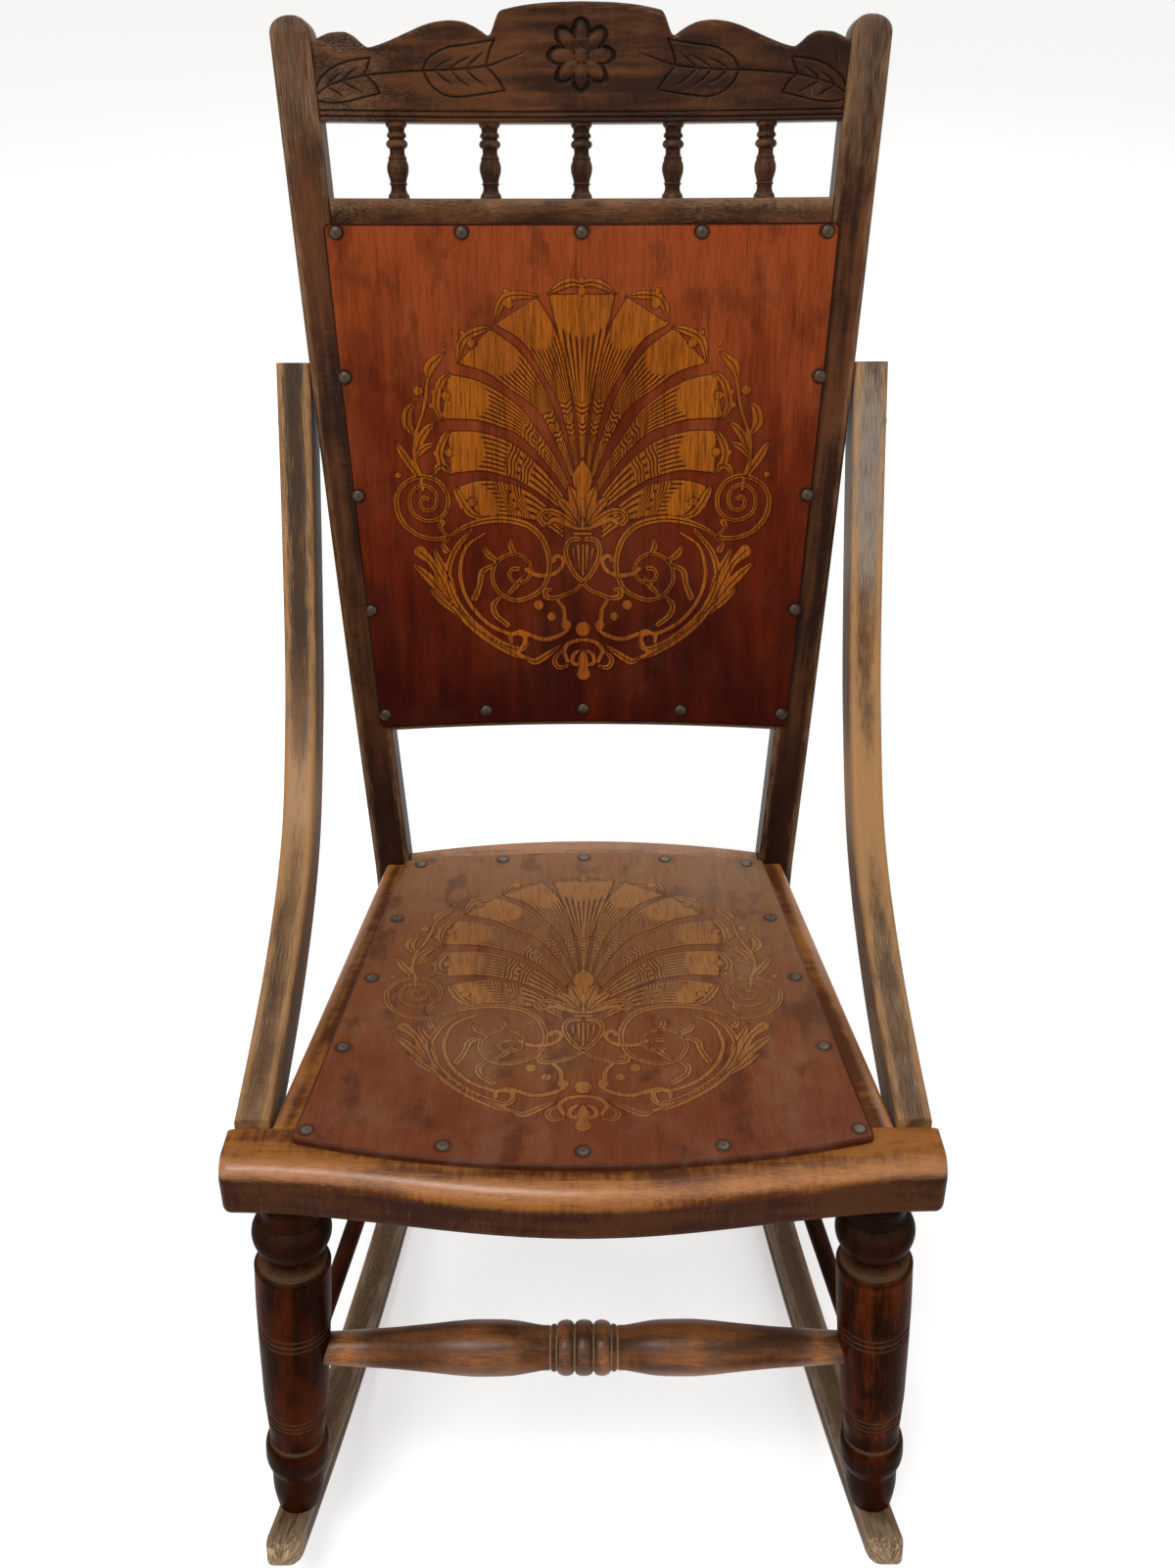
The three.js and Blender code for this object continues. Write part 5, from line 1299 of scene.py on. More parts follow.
@dataclass
class BackShape:
    """Where the posts stand and how far the back is hollowed, in the back's own plane."""

    spread_low: float = 163.5  # middle of a post at the seat
    spread_high: float = 205.0  # and at its top
    side_bow: float = 7.2  # four times how far a post bows outwards
    height: float = 647.0  # of the posts above the seat frame
    post_width: float = 29.5
    post_depth: float = 28.0
    hollow_low: float = 14.0  # depth of the hollow at the seat
    hollow_high: float = 20.0  # and at the top of the posts
    panel: tuple[float, float] = (124.0, 509.5)  # lower and upper edges of the panel
    laps: tuple[float, float] = (9.0, 6.0)  # how far it laps over the posts at those edges

    def centre(self, h: Array) -> Array:
        """Middle of a post: a straight line bowed outwards by b s (1 - s), plumb below the seat."""
        s = h / self.height
        return np.where(s > 0, blend(self.spread_low, self.spread_high, s)
                        + self.side_bow * s * (1 - s), self.spread_low)

    def inner(self, h: Array) -> Array:
        """Inner face of a post."""
        return self.centre(h) - self.post_width / 2

    def outer(self, h: Array) -> Array:
        """Outer face of a post."""
        return self.centre(h) + self.post_width / 2

    def hollow(self, x: Array, h: Array) -> Array:
        """Depth of the hollow: a parabola across, deepest at the middle, nothing at the posts.

        Args:
            x: Places across.
            h: Heights above the seat frame.

        Returns:
            How far the hollow lies behind the posts' front faces.
        """
        share = x / (self.inner(h) - GAP)
        bow = blend(self.hollow_low, self.hollow_high, h / self.height)
        return bow * np.clip(1 - share**2, 0, None)

    def panel_half(self, h: Array | float) -> Array:
        """Half the width of the panel, which has straight sides, at a height."""
        low, high = self.panel
        ends = [float(self.inner(np.array(edge))) + lap for edge, lap in zip(self.panel, self.laps)]
        return blend(*ends, (h - low) / (high - low))


ROCKER_CENTRE = np.array([-48.0, 877.9])  # y and z of the middle of the rockers' curve
ROCKER_TOP = 1230.0  # radius of their upper faces


def stop_at_rocker(points: Array, along: Array) -> Array:
    """Slide places that reach into the rocker back along a line to just above its upper face.

    The slide t is the larger root of a t^2 + 2 b t + c = 0, which says that |offset + t line| is
    the limit.

    Args:
        points: Places in the seat's frame.
        along: Unit direction towards the floor.

    Returns:
        The places, no further from the curve's middle than its radius less the gap.
    """
    offset = points[..., 1:] - ROCKER_CENTRE
    line = along[1:]
    limit = ROCKER_TOP - GAP
    b = (offset * line).sum(axis=-1)
    c = (offset**2).sum(axis=-1) - limit**2
    a = float(line @ line)
    slide = (-b + np.sqrt(np.clip(b * b - a * c, 0, None))) / a
    return points + np.where(c > 0, slide, 0)[..., None] * along


@dataclass
class Posts:
    """Two square posts: the sides of the back above the seat, and the rear legs below it."""

    shape: BackShape
    rake: float = math.radians(5.0)  # how far the rear legs lean, in the seat's frame
    leg: float = 318.9  # their length
    taper: float = 4.0  # how much narrower they are at the foot
    edge: float = 3.0  # rounding of the corners
    top_round: float = 13.5  # height of the dome on top

    def leg_along(self) -> Array:
        """Direction of the rear leg in the seat's frame."""
        return np.array([0.0, math.sin(self.rake), -math.cos(self.rake)])

    def surface(self) -> Surface:
        """Left post: a rounded square section, with a dome on top and a taper at the foot.

        Above the seat its front face runs straight up the back's plane. Below, it follows the leg.

        Returns:
            The post's skin.
        """
        low = np.linspace(1, 0, 90, endpoint=False)
        body = np.linspace(0, self.shape.height - self.top_round, 170)
        turn = np.linspace(0, np.pi / 2, 12)[1:]
        dome = self.shape.height - self.top_round * (1 - np.sin(turn))
        h = np.concatenate([body, dome])
        shrink = np.concatenate([np.ones(len(body)), np.maximum(np.cos(turn), 0.06)])
        above = np.stack([self.shape.centre(h), np.zeros(len(h)), h], axis=-1)
        above[:, 1] += self.shape.post_depth * (1 - shrink) / 2 * 0.8
        above = to_seat(above, Plane.BACK)
        knee = np.array([self.shape.spread_low, POST_FRONT, RAIL_TOP])
        # 3% longer than the leg, because the rocker's curve then cuts it
        below = knee + self.leg_along() * self.leg * low[:, None] * 1.03
        path = np.concatenate([below, above])
        tapered = 1 - self.taper / self.shape.post_width * low
        size = np.concatenate([tapered, shrink])
        deep_size = np.concatenate([tapered, 0.2 + 0.8 * shrink])
        section, close = rounded_section(self.shape.post_width, self.shape.post_depth, self.edge)
        rings = np.stack([section[:, 0] * size[:, None], section[:, 1] * deep_size[:, None]], -1)
        tilt = np.array([0.0, math.cos(BACK_LEAN), -math.sin(BACK_LEAN)])
        made = swept(path, np.array([1.0, 0, 0]), tilt, rings, close * 0.55 + 0.12)
        made.points = stop_at_rocker(made.points, self.leg_along())
        # paler towards the top, darker towards the seat and below it
        z = made.points[:, 2]
        made.fields["age"] = 0.45 * ease(z, 470, 600) - 0.8 * ease(z, 190, 20)
        return made

    def build(self, finish: bpy.types.Material) -> None:
        """Place both posts."""
        place_pair(self.surface(), "back_post", finish)


@dataclass
class BackRails:
    """Upper and lower rails of the back, both hollowed to the sitter's back."""

    shape: BackShape
    thickness: float = 18.0
    upper: tuple[float, float] = (481.0, 527.0)  # lower and upper edges of the upper rail
    lower: tuple[float, float] = (120.0, 162.0)  # and of the lower one

    def rail(self, low: float, high: float, offset: float) -> Surface:
        """Rail between two heights: a rounded section carried across along the hollow.

        Args:
            low: Its lower edge.
            high: Its upper edge.
            offset: Shifts the grain.

        Returns:
            The rail's skin.
        """
        s = np.linspace(-1, 1, 120)[:, None]
        section, close = rounded_section(high - low, self.thickness, 1.6)
        h = (low + high) / 2 + section[:, 0][None]
        x = s * (self.shape.inner(h) - GAP)
        y = self.shape.hollow(x, h) + section[:, 1][None]
        h = np.broadcast_to(h, x.shape)
        grain = np.stack([h + offset, y, x], axis=-1)
        return skin(np.stack([x, y, h], axis=-1), grain,
                    np.broadcast_to(0.45 + 0.35 * close, x.shape), Plane.BACK)

    def build(self, finish: bpy.types.Material) -> None:
        """Place the two rails."""
        place(self.rail(*self.upper, 11.0), "upper_back_rail", finish)
        place(self.rail(*self.lower, 77.0), "lower_back_rail", finish)


# Gouged lines of the two sprays, left half: distance from the middle, height, half width
SPRAY = {
    "stem": [(40.9, 46, 0.35), (53.9, 41.4, 0.7), (67.3, 37.1, 0.84), (89.7, 34.6, 0.84),
        (117.1, 33.3, 0.84), (137.7, 31.8, 0.77), (154.9, 29.8, 0.77), (168.7, 26.4, 0.7),
        (179.7, 22.7, 0.7), (187.9, 17.1, 0.56)],
    "great_leaf_top": [(61.8, 53.9, 0.84), (79.3, 50.9, 0.84), (96.5, 48.2, 0.84),
        (108.5, 41.8, 0.84), (113, 34.5, 0.7)],
    "great_leaf_top_end": [(61.8, 53.9, 0.7), (64.9, 48.1, 0.84), (68.4, 37.4, 0.56)],
    "great_leaf_low": [(55, 21.1, 0.7), (72.5, 18.4, 0.84), (93.1, 16.7, 0.91),
        (106.1, 22.7, 0.84), (113, 33.1, 0.7)],
    "great_leaf_low_end": [(55, 21.1, 0.7), (61.5, 30.5, 0.84), (68.4, 36.7, 0.56)],
    "great_vein_1": [(104.8, 34.8, 0.56), (99.3, 38.5, 0.77), (91.7, 41.3, 0.35)],
    "great_vein_2": [(93.8, 35.2, 0.56), (86.9, 39.6, 0.77), (79.3, 43.1, 0.35)],
    "great_vein_3": [(82.8, 35.9, 0.56), (76.6, 40.7, 0.77), (70.4, 45.8, 0.35)],
    "great_vein_4": [(103.4, 32.7, 0.56), (97.9, 27.9, 0.77), (92.4, 25.3, 0.35)],
    "great_vein_5": [(92.4, 33.1, 0.56), (86.9, 27.6, 0.77), (80, 23.5, 0.35)],
    "great_vein_6": [(82.1, 34.1, 0.56), (76.6, 29.3, 0.77), (69, 23.9, 0.35)],
    "small_leaf_top": [(149.8, 41.3, 0.84), (165.2, 38.9, 0.84), (177.2, 33.8, 0.84),
        (185.1, 26.8, 0.77), (188.6, 19.5, 0.56)],
    "small_leaf_top_end": [(149.8, 41.3, 0.7), (151.8, 35.9, 0.84), (154.6, 30.1, 0.56)],
    "small_leaf_low": [(187.9, 13.2, 0.56), (179, 11.8, 0.84), (168.7, 12.5, 0.84),
        (154.9, 15.9, 0.84), (143.9, 18.5, 0.7)],
    "small_leaf_low_end": [(143.9, 18.5, 0.7), (147.4, 24.7, 0.84), (152.9, 29.5, 0.56)],
    "small_vein_1": [(180.3, 23.1, 0.56), (175.5, 27.9, 0.77), (169.3, 31.7, 0.35)],
    "small_vein_2": [(169.3, 26.7, 0.56), (164.5, 31.2, 0.77), (159, 34.9, 0.35)],
    "small_vein_3": [(179, 21.3, 0.56), (173.5, 18.7, 0.77), (168.7, 15.4, 0.35)],
    "small_vein_4": [(168.7, 25, 0.56), (162.5, 22, 0.77), (155.6, 18.7, 0.35)],
}


@dataclass
class Crest:
    """Crest rail: a scalloped board with a carved flower and two sprays of leaves."""

    shape: BackShape
    bottom: float = 578.0  # its lower edge
    height: float = 78.8  # in the middle
    thickness: float = 21.0
    drop: float = 30.5  # how far the deepest notch lies below the middle
    flower: float = 43.9  # middle of the flower, above the lower edge
    soft: float = 1.8  # rounding of the edges
    # share of the half length, share of the deepest notch
    edge: tuple[tuple[float, float], ...] = (
        (0, 0), (0.11, 0.02), (0.2, 0.07), (0.28, 0.16), (0.302, 0.2), (0.31, 0.25), (0.35, 0.72),
        (0.375, 0.63), (0.41, 0.51), (0.45, 0.43), (0.49, 0.41), (0.54, 0.44), (0.59, 0.52),
        (0.65, 0.67), (0.72, 0.85), (0.77, 0.96), (0.8, 1), (0.82, 0.93), (0.85, 0.77),
        (0.885, 0.69), (0.93, 0.71), (0.97, 0.8), (1, 0.9))

    def carving(self, x: Array, up: Array) -> tuple[Array, Array]:
        """Carving of the crest's face: gouged lines, and a flower of eight petals round a button.

        A petal is a dome sqrt(1 - q^2) over an ellipse, in a gouge around a slightly larger one.

        Args:
            x: Places across.
            up: Heights above the crest's lower edge.

        Returns:
            The depth of the cut, and how deep in a cut each place lies, from 0 to 1, for painted
            shade.
        """
        a = np.abs(x)
        cut = np.full(x.shape, -FAR)
        for line in SPRAY.values():
            cut = np.maximum(cut, inside_line(a, up, line)[0])
        # two grooves run along the lower edge
        for level in (3.2, 7.0):
            cut = np.maximum(cut, 0.75 - np.abs(up - level) + np.where(level > 4, 0, 0.15))
        cut = ease(cut, -0.35, 0.75)
        depth = 1.5 * cut
        # petals 17.6 mm long and 10 mm wide, their middles 13.4 mm out, lie in gouges 3.2 mm deep,
        # and a button of 5.3 mm radius stands in a round hollow 2.4 mm deep
        from_middle = np.hypot(x, up - self.flower)
        sector = (np.arctan2(up - self.flower, x) / (np.pi / 4) + 0.5) % 1 - 0.5
        along = from_middle * np.cos(sector * np.pi / 4)
        beside = from_middle * np.sin(sector * np.pi / 4)
        petal = np.hypot((along - 13.4) / 8.8, beside / 5.0)
        gouge = np.hypot((along - 15.0) / 10.2, beside / 6.9)
        hollow = 3.2 * ease(1.06 - gouge, 0, 0.2)
        hollow = np.maximum(hollow, 2.4 * ease(from_middle, 7.8, 6.2))
        bloom = np.where(petal < 1, 0.3 + 2.9 * np.sqrt(np.clip(1 - petal**2, 0, None)), 0)
        button = 3.4 * np.sqrt(np.clip(1 - (from_middle / 5.3) ** 2, 0, None))
        flower = hollow - np.maximum(np.where(hollow > 0, bloom, 0), button)
        inside = from_middle < 27
        # painted shade in the hollow round the petals and in the gouged lines, not on petals or
        # button
        bare = 1 - ease(np.maximum(bloom, button), 0.2, 1.5)
        shade = np.where(inside, ease(hollow, 0.5, 1.9) * bare, cut)
        return np.where(inside, np.maximum(flower, -0.3), depth), shade

    def surface(self) -> Surface:
        """Crest: a closed section for each place across, its top following the scallops.

        Returns:
            The crest's skin.
        """
        s = np.linspace(-1, 1, 560)[:, None]
        fall = smooth_through(list(self.edge), np.abs(s))
        top = self.bottom + self.height - fall * self.drop
        soft, thick = self.soft, self.thickness
        count, face_rows, back_rows, edge_rows = len(s), 104, 12, 7
        front = blend(self.bottom + soft, top - soft, np.linspace(0, 1, face_rows)[None])
        back = blend(top - soft, self.bottom + soft, np.linspace(0, 1, back_rows)[None])

        def strip(y: Array, z: Array, level: Array | float) -> tuple[Array, Array]:
            """Depths and heights of a strip of the section that is alike at every place across."""
            return np.broadcast_to(y, (count, len(y))), level + np.broadcast_to(z, (count, len(z)))

        bend = np.linspace(0, np.pi / 2, 5)
        cos, sin = np.cos(bend)[1:-1], np.sin(bend)[1:-1]
        through_edge, level_edge = np.linspace(soft, thick - soft, edge_rows), np.zeros(edge_rows)
        rows = [
            (np.zeros((count, face_rows)), front),
            strip(soft * (1 - cos), soft * sin, top - soft),
            strip(through_edge, level_edge, top),
            strip(thick - soft * (1 - sin), soft * cos, top - soft),
            (np.full((count, back_rows), thick), back),
            strip(thick - soft * (1 - cos), -soft * sin, self.bottom + soft),
            strip(through_edge[::-1], level_edge, self.bottom),
            strip(soft * (1 - sin), -soft * cos, self.bottom + soft),
        ]
        y = np.concatenate([row[0] for row in rows], axis=1)
        h = np.concatenate([row[1] for row in rows], axis=1)
        x = s * (self.shape.inner(h) - GAP)
        cut, dark = np.zeros(x.shape), np.zeros(x.shape)
        face = slice(0, face_rows)
        cut[:, face], dark[:, face] = self.carving(x[:, face], h[:, face] - self.bottom)
        y = y + cut + self.shape.hollow(x, h)
        grain = np.stack([h, y, x], axis=-1)
        # only the upper edge is rubbed
        wear = np.full(x.shape, 0.1)
        wear[:, face_rows - 4:face_rows + 8] = 0.5
        made = skin(np.stack([x, y, h], axis=-1), grain, wear, Plane.BACK)
        # painted shade in the carving's cuts and hollows
        made.fields["cut"] = np.concatenate([dark.ravel(), [0.0, 0.0]])
        # paler on the viewer's left, darker on the right
        side = made.points[:, 0]
        made.fields["age"] = 0.3 * ease(-side, 90, 170) - 0.6 * ease(side, 50, 170)
        return made

    def build(self, finish: bpy.types.Material) -> None:
        """Place the crest."""
        place(self.surface(), "crest_rail", finish)


@dataclass
class Spindles:
    """Five short turned spindles between the upper rail and the crest."""

    shape: BackShape
    count: int = 5
    pitch: float = 67.3  # from one to the next
    low: float = 527.2  # lower ends
    high: float = 577.9  # upper ends
    radius: float = 8.0
    depth: float = 9.0  # their middles, behind the rails' front faces
    # share of the length from the lower end, share of the radius
    shares: tuple[tuple[float, float], ...] = (
        (0, 0.99), (0.04, 0.95), (0.08, 0.78), (0.13, 0.7), (0.17, 0.72), (0.19, 0.84),
        (0.21, 0.74), (0.3, 0.88), (0.36, 0.98), (0.41, 1.0), (0.47, 0.93), (0.52, 0.82),
        (0.54, 0.86), (0.56, 0.76), (0.61, 0.68), (0.66, 0.7), (0.68, 0.88), (0.72, 0.99),
        (0.76, 0.9), (0.78, 0.72), (0.8, 0.74), (0.82, 0.88), (0.85, 0.87), (0.88, 0.73),
        (0.93, 0.76), (0.96, 0.93), (1, 0.99))

    def build(self, finish: bpy.types.Material) -> None:
        """Place the spindles.

        Args:
            finish: Their material.
        """
        length = self.high - self.low
        keys = [(share * length, width * self.radius) for share, width in self.shares]
        for i in range(self.count):
            x = (i - (self.count - 1) // 2) * self.pitch
            ends = [np.array([x, float(self.shape.hollow(x, h)) + self.depth, h])
                    for h in (self.low, self.high)]
            piece = turned(*ends, profile_from(keys, 0.5), 28, Plane.BACK, 13.0 * i)
            # short pieces out of reach: their grooves are darker, and their beads keep their stain
            piece.wear = piece.wear * 0.7
            piece.fields["age"] *= -0.9
            place(piece, f"spindle_{i + 1}", finish)


# Panels and their nails


@dataclass
class Panel:
    """Thin pressed board with a chamfered edge, laid as a map of shares onto its outline.

    Attributes:
        node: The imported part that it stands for.
        plane: The plane that it is drawn in.
        shape: The back's shape.
        corner: Rounding of its corners.
        die_height: Height of the ornament's centre.
        relief: How far the ornament stands out.
        thickness: Of the board.
        chamfer: Width of the chamfer round its face.
        wide: Width that shares across are measured by.
        tall: Height that shares up are measured by.
        columns: Even steps of the grid across.
        rows: Even steps of the grid up.
    """

    node: str
    plane: Plane
    shape: BackShape
    corner: float
    die_height: float = 0.0
    relief: float = 0.8
    thickness: float = BOARD
    chamfer: float = 1.3
    wide: float = 350.0
    tall: float = 360.0
    columns: int = 286
    rows: int = 296

    def outline(self, s: Array, t: Array) -> tuple[Array, Array]:
        """Place on the board for a share across, from -1 to 1, and a share up, from 0 to 1.

        Args:
            s: Shares across.
            t: Shares up.

        Returns:
            The places across and up.
        """
        if self.plane is Plane.BACK:
            v = blend(*self.shape.panel, t)
            return s * self.shape.panel_half(v), v
        bow = 1 - s**2
        front, rear = SEAT_BOARD
        front_bow, rear_bow = SEAT_BOARD_BOWS
        v = blend(front - front_bow * bow, rear + rear_bow * bow, t)
        return s * blend(*SEAT_BOARD_HALVES, t), v

    def face(self, x: Array, v: Array) -> Array:
        """Depth of the bare face, positive into the board."""
        if self.plane is Plane.BACK:
            return self.shape.hollow(x, v) - self.thickness - GAP
        return np.zeros_like(x)

    def laid(self, x: Array, v: Array, depth: Array) -> Array:
        """Turn places on the board and depths into it to places in the plane's own frame.

        Args:
            x: Places across.
            v: Places up.
            depth: Depths into the board.

        Returns:
            The places, with x, y and z last.
        """
        if self.plane is Plane.BACK:
            return np.stack([x, depth, v], axis=-1)
        return np.stack([x, v, -depth], axis=-1)

    def stations(self, low: float, high: float, count: int, length: float) -> Array:
        """Shares from 0 to 1: fine steps at both edges, even small ones from low to high.

        Args:
            low: Where the small steps start.
            high: Where they end.
            count: How many there are.
            length: The board's length this way, in millimetres.

        Returns:
            The shares, rising.
        """
        # millimetres from the edge, close together over the chamfer
        edge = np.array([0.0, 0.5, 1.0, 1.5, 2.2, 3.2, 4.4, 6.0]) / length
        wide = edge[-1] * 1.5
        start = np.linspace(edge[-1], low, 5)[1:-1] if low > wide else []
        end = np.linspace(high, 1 - edge[-1], 5)[1:-1] if 1 - high > wide else []
        return np.concatenate([edge, start, np.linspace(low, high, count), end, 1 - edge[::-1]])

    def scuff_and_reflection(self, x: Array, v: Array) -> Array:
        """How much duller than the rest a place is, where a sitter has rubbed it.

        That is a patch in the middle of the back, which is rubbed and also paints a reflection
        there, and on the seat its rear, one side, one rear corner and a scroll in front.

        Args:
            x: Places across.
            v: Places up.

        Returns:
            How dull each place is, 0 where it isn't rubbed.
        """
        if self.plane is Plane.BACK:
            return 0.9 * hill(x, 18, 38) * hill(v, 275, 55)
        corner = 0.6 * hill(x, 120, 40) * hill(v, 155, 35)
        scroll = 0.5 * hill(x, -75, 50) * hill(v, -50, 45)
        side = 0.4 * ease(x, 30, 150) * ease(v, -80, 40)
        return 0.25 * ease(v, 60, 190) + side + corner + scroll

    def surface(self) -> Surface:
        """Board: a fine grid in front, the same outline behind, and a wall between them.

        Returns:
            The board's skin.
        """
        back = self.plane is Plane.BACK
        # the even steps cover the ornament
        s = self.stations(0.055, 0.945, self.columns, self.wide) * 2 - 1
        low, high = (0.085, 0.915) if back else (0.03, 0.95)
        t = self.stations(low, high, self.rows, self.tall)
        s, t = np.meshgrid(s, t)
        x, v = self.outline(s, t)
        side, end = self.wide / 2 * (1 - np.abs(s)), self.tall * np.minimum(t, 1 - t)
        # places within a corner's square are pulled in until its sides lie on a quarter circle
        dx, dy = np.clip(self.corner - side, 0, None), np.clip(self.corner - end, 0, None)
        both = (dx > 0) & (dy > 0)
        pull = np.where(both, np.maximum(dx, dy) / np.where(both, np.hypot(dx, dy), 1), 1) - 1
        x = x + np.sign(s) * dx * pull
        v = v + np.sign(t - 0.5) * dy * pull
        inside = np.where(both, self.corner - np.maximum(dx, dy), np.minimum(side, end))
        nails = nail_places(self.plane, self.shape)
        around = np.min([np.hypot(x - a, v - b) for a, b in nails], axis=0)
        ornament = Ornament().fields(x, v - self.die_height)
        relief = self.relief * ease(ornament["raised"], -0.8, 0.5)
        depth = self.face(x, v) + np.clip(self.chamfer - inside, 0, None) - relief
        front = self.laid(x, v, depth).reshape(-1, 3)
        # the rim, in order round the board, with a wall down to the back and a fan closing the back
        rows, columns = s.shape
        numbers = np.arange(rows * columns).reshape(rows, columns)
        rim = np.concatenate([numbers[0, :-1], numbers[:-1, -1], numbers[-1, :0:-1],
                              numbers[:0:-1, 0]])
        rx, rv = x.ravel()[rim], v.ravel()[rim]
        behind = self.laid(rx, rv, self.face(rx, rv) + self.thickness)
        centre_x, centre_v = np.zeros(1), np.full(1, v.mean())
        middle = self.laid(centre_x, centre_v, self.face(centre_x, centre_v) + self.thickness)
        first = rows * columns
        here = np.arange(len(rim))
        following = np.roll(here, -1)
        wall = np.stack([rim, first + here, first + following, rim[following]], axis=-1)
        fan = np.stack([first + here, np.full(len(rim), first + len(rim)), first + following], -1)
        points = np.concatenate([front, behind, middle])
        up = points[:, 2 if back else 1]
        grain = np.stack([points[:, 0], np.zeros(len(points)), up], axis=-1)
        grain += 211.0 if back else 0.0
        spare = len(rim) + 1
        # the colour changes from the foot of the board to its head; on the back panel partly as
        # painted shade below and painted light above
        shade = np.concatenate([t.ravel(), np.full(spare, 0.5)])
        made = Surface(points, [grid_quads(rows, columns), wall, fan], grain, shade, self.plane)
        made.fields["scuff_and_reflection"] = self.scuff_and_reflection(points[:, 0], up)
        for key, values in ornament.items():
            outside = {"raised": -RELIEF_REACH, "vein": FAR}.get(key, 0.0)
            made.fields[key] = np.concatenate([values.ravel(), np.full(spare, outside)])
        # darker along the edge and round the nails
        darker_edge = np.minimum(inside, 0.7 + 0.5 * np.clip(around - 4.6, 0, None))
        made.fields["rim"] = np.concatenate([darker_edge.ravel(), np.zeros(spare)])
        return made

    def build(self, slot: str, finish: bpy.types.Material) -> None:
        """Place the board."""
        place(self.surface(), self.node, finish)


def seat_nail_places() -> Array:
    """Places of the seat's nails: a bowed row in front, pairs at the sides, a bowed row behind.

    Returns:
        Rows of the place across and the place up the seat.
    """
    # 9 and 14 mm in from the sides, 7 mm in from the front and the rear, and less bowed than those
    front_half, rear_half = SEAT_BOARD_HALVES[0] - 9.0, SEAT_BOARD_HALVES[1] - 14.0
    front_bow, rear_bow = (0.78 * bow for bow in SEAT_BOARD_BOWS)
    share = np.array([-1, -0.5, 0, 0.5, 1])
    bow = 1 - share**2
    front = np.stack([share * front_half, SEAT_BOARD[0] + 7.0 - front_bow * bow], axis=-1)
    rear = np.stack([share * rear_half, SEAT_BOARD[1] - 7.0 + rear_bow * bow], axis=-1)
    up = np.repeat([0.268, 0.505, 0.739], 2)
    half = blend(front_half, rear_half, up)
    sides = np.stack([np.tile([-1.0, 1.0], 3) * half, blend(*SEAT_BOARD, up)], axis=-1)
    return np.concatenate([front, sides, rear])


def back_nail_places(shape: BackShape) -> Array:
    """Places of the back's nails: a row along the top, pairs at the sides, a row along the bottom.

    Args:
        shape: The back's shape.

    Returns:
        Rows of the place across and the height above the seat frame.
    """
    def level(h: float, inset: float) -> Array:
        """Row of five nails at a height, the outer ones an inset away from the panel's sides."""
        share = np.array([-1, -0.495, 0, 0.495, 1])
        return np.stack([share * (shape.panel_half(h) - inset), np.full(5, h)], axis=-1)

    low, high = shape.panel
    h = blend(low, high, np.repeat([0.255, 0.49, 0.72], 2))
    sides = np.stack([np.tile([-1.0, 1.0], 3) * (shape.panel_half(h) - 3.7), h], axis=-1)
    return np.concatenate([level(high - 6.0, 9.0), sides, level(low + 11.5, 6.0)])


def nail_places(plane: Plane, shape: BackShape) -> Array:
    """Places of the nails of the seat's or the back's panel."""
    return back_nail_places(shape) if plane is Plane.BACK else seat_nail_places()


@dataclass
class Nails:
    """Nails round one panel, all struck from one shape.

    Attributes:
        plane: The plane of the panel that they hold.
        shape: The back's shape.
        radius: Of a head.
        rise: Height of a head.
        bare: Shares of the radius between which the metal shows bare.
        sides: Points round a head.
    """

    plane: Plane
    shape: BackShape
    radius: float
    rise: float
    bare: tuple[float, float, float, float] = (0.0, 0.3, 0.75, 1.0)
    sides: int = 20

    def stand(self, x: float, v: float) -> tuple[Array, Array]:
        """Where a nail stands on its panel.

        Args:
            x: Its place across.
            v: Its place up.

        Returns:
            The middle of its head's foot, and the direction out of the panel.
        """
        if self.plane is Plane.SEAT:
            return np.array([x, v, -0.1]), np.array([0, 0, 1.0])
        # the face is hollow, so a head sits on its highest place under it
        under = x + self.radius * np.array([-1.0, 0.0, 1.0])
        face = float(self.shape.hollow(under, np.full(3, v)).min()) - BOARD - GAP
        return np.array([x, face, v]), np.array([0, -1.0, 0])

    def head(self, middle: Array, out: Array, offset: float) -> Surface:
        """Head: a dome of height rise sqrt(1 - (r / R)^2) over a short rim.

        Args:
            middle: The middle of its foot.
            out: Unit direction out of the panel.
            offset: Shifts the tarnish.

        Returns:
            The head's skin.
        """
        rim = 0.25
        turn = np.linspace(0, np.pi / 2, 7)
        dome = [(rim + (self.rise - rim) * math.sin(a), self.radius * math.cos(a) + 0.02)
                for a in turn]
        profile = np.array([(-0.6, self.radius * 0.6), (-0.2, self.radius * 0.98), *dome])
        made = turned(middle, middle + out * self.rise, profile, self.sides, self.plane, offset)
        ring = np.repeat(profile[:, 1] / self.radius, self.sides)
        made.wear[:len(ring)] = np.interp(ring, self.bare, [0.3, 0.9, 0.9, 0.0])
        made.wear[-1] = made.wear[len(ring) - 1]
        return made

    def build(self, node: str, slot: str, finish: bpy.types.Material) -> None:
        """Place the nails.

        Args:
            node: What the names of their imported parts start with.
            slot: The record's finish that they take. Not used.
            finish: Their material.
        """
        for i, (x, v) in enumerate(nail_places(self.plane, self.shape)):
            place(self.head(*self.stand(x, v), 3.0 * i), f"{node}_{i + 1}", finish)


# Stays


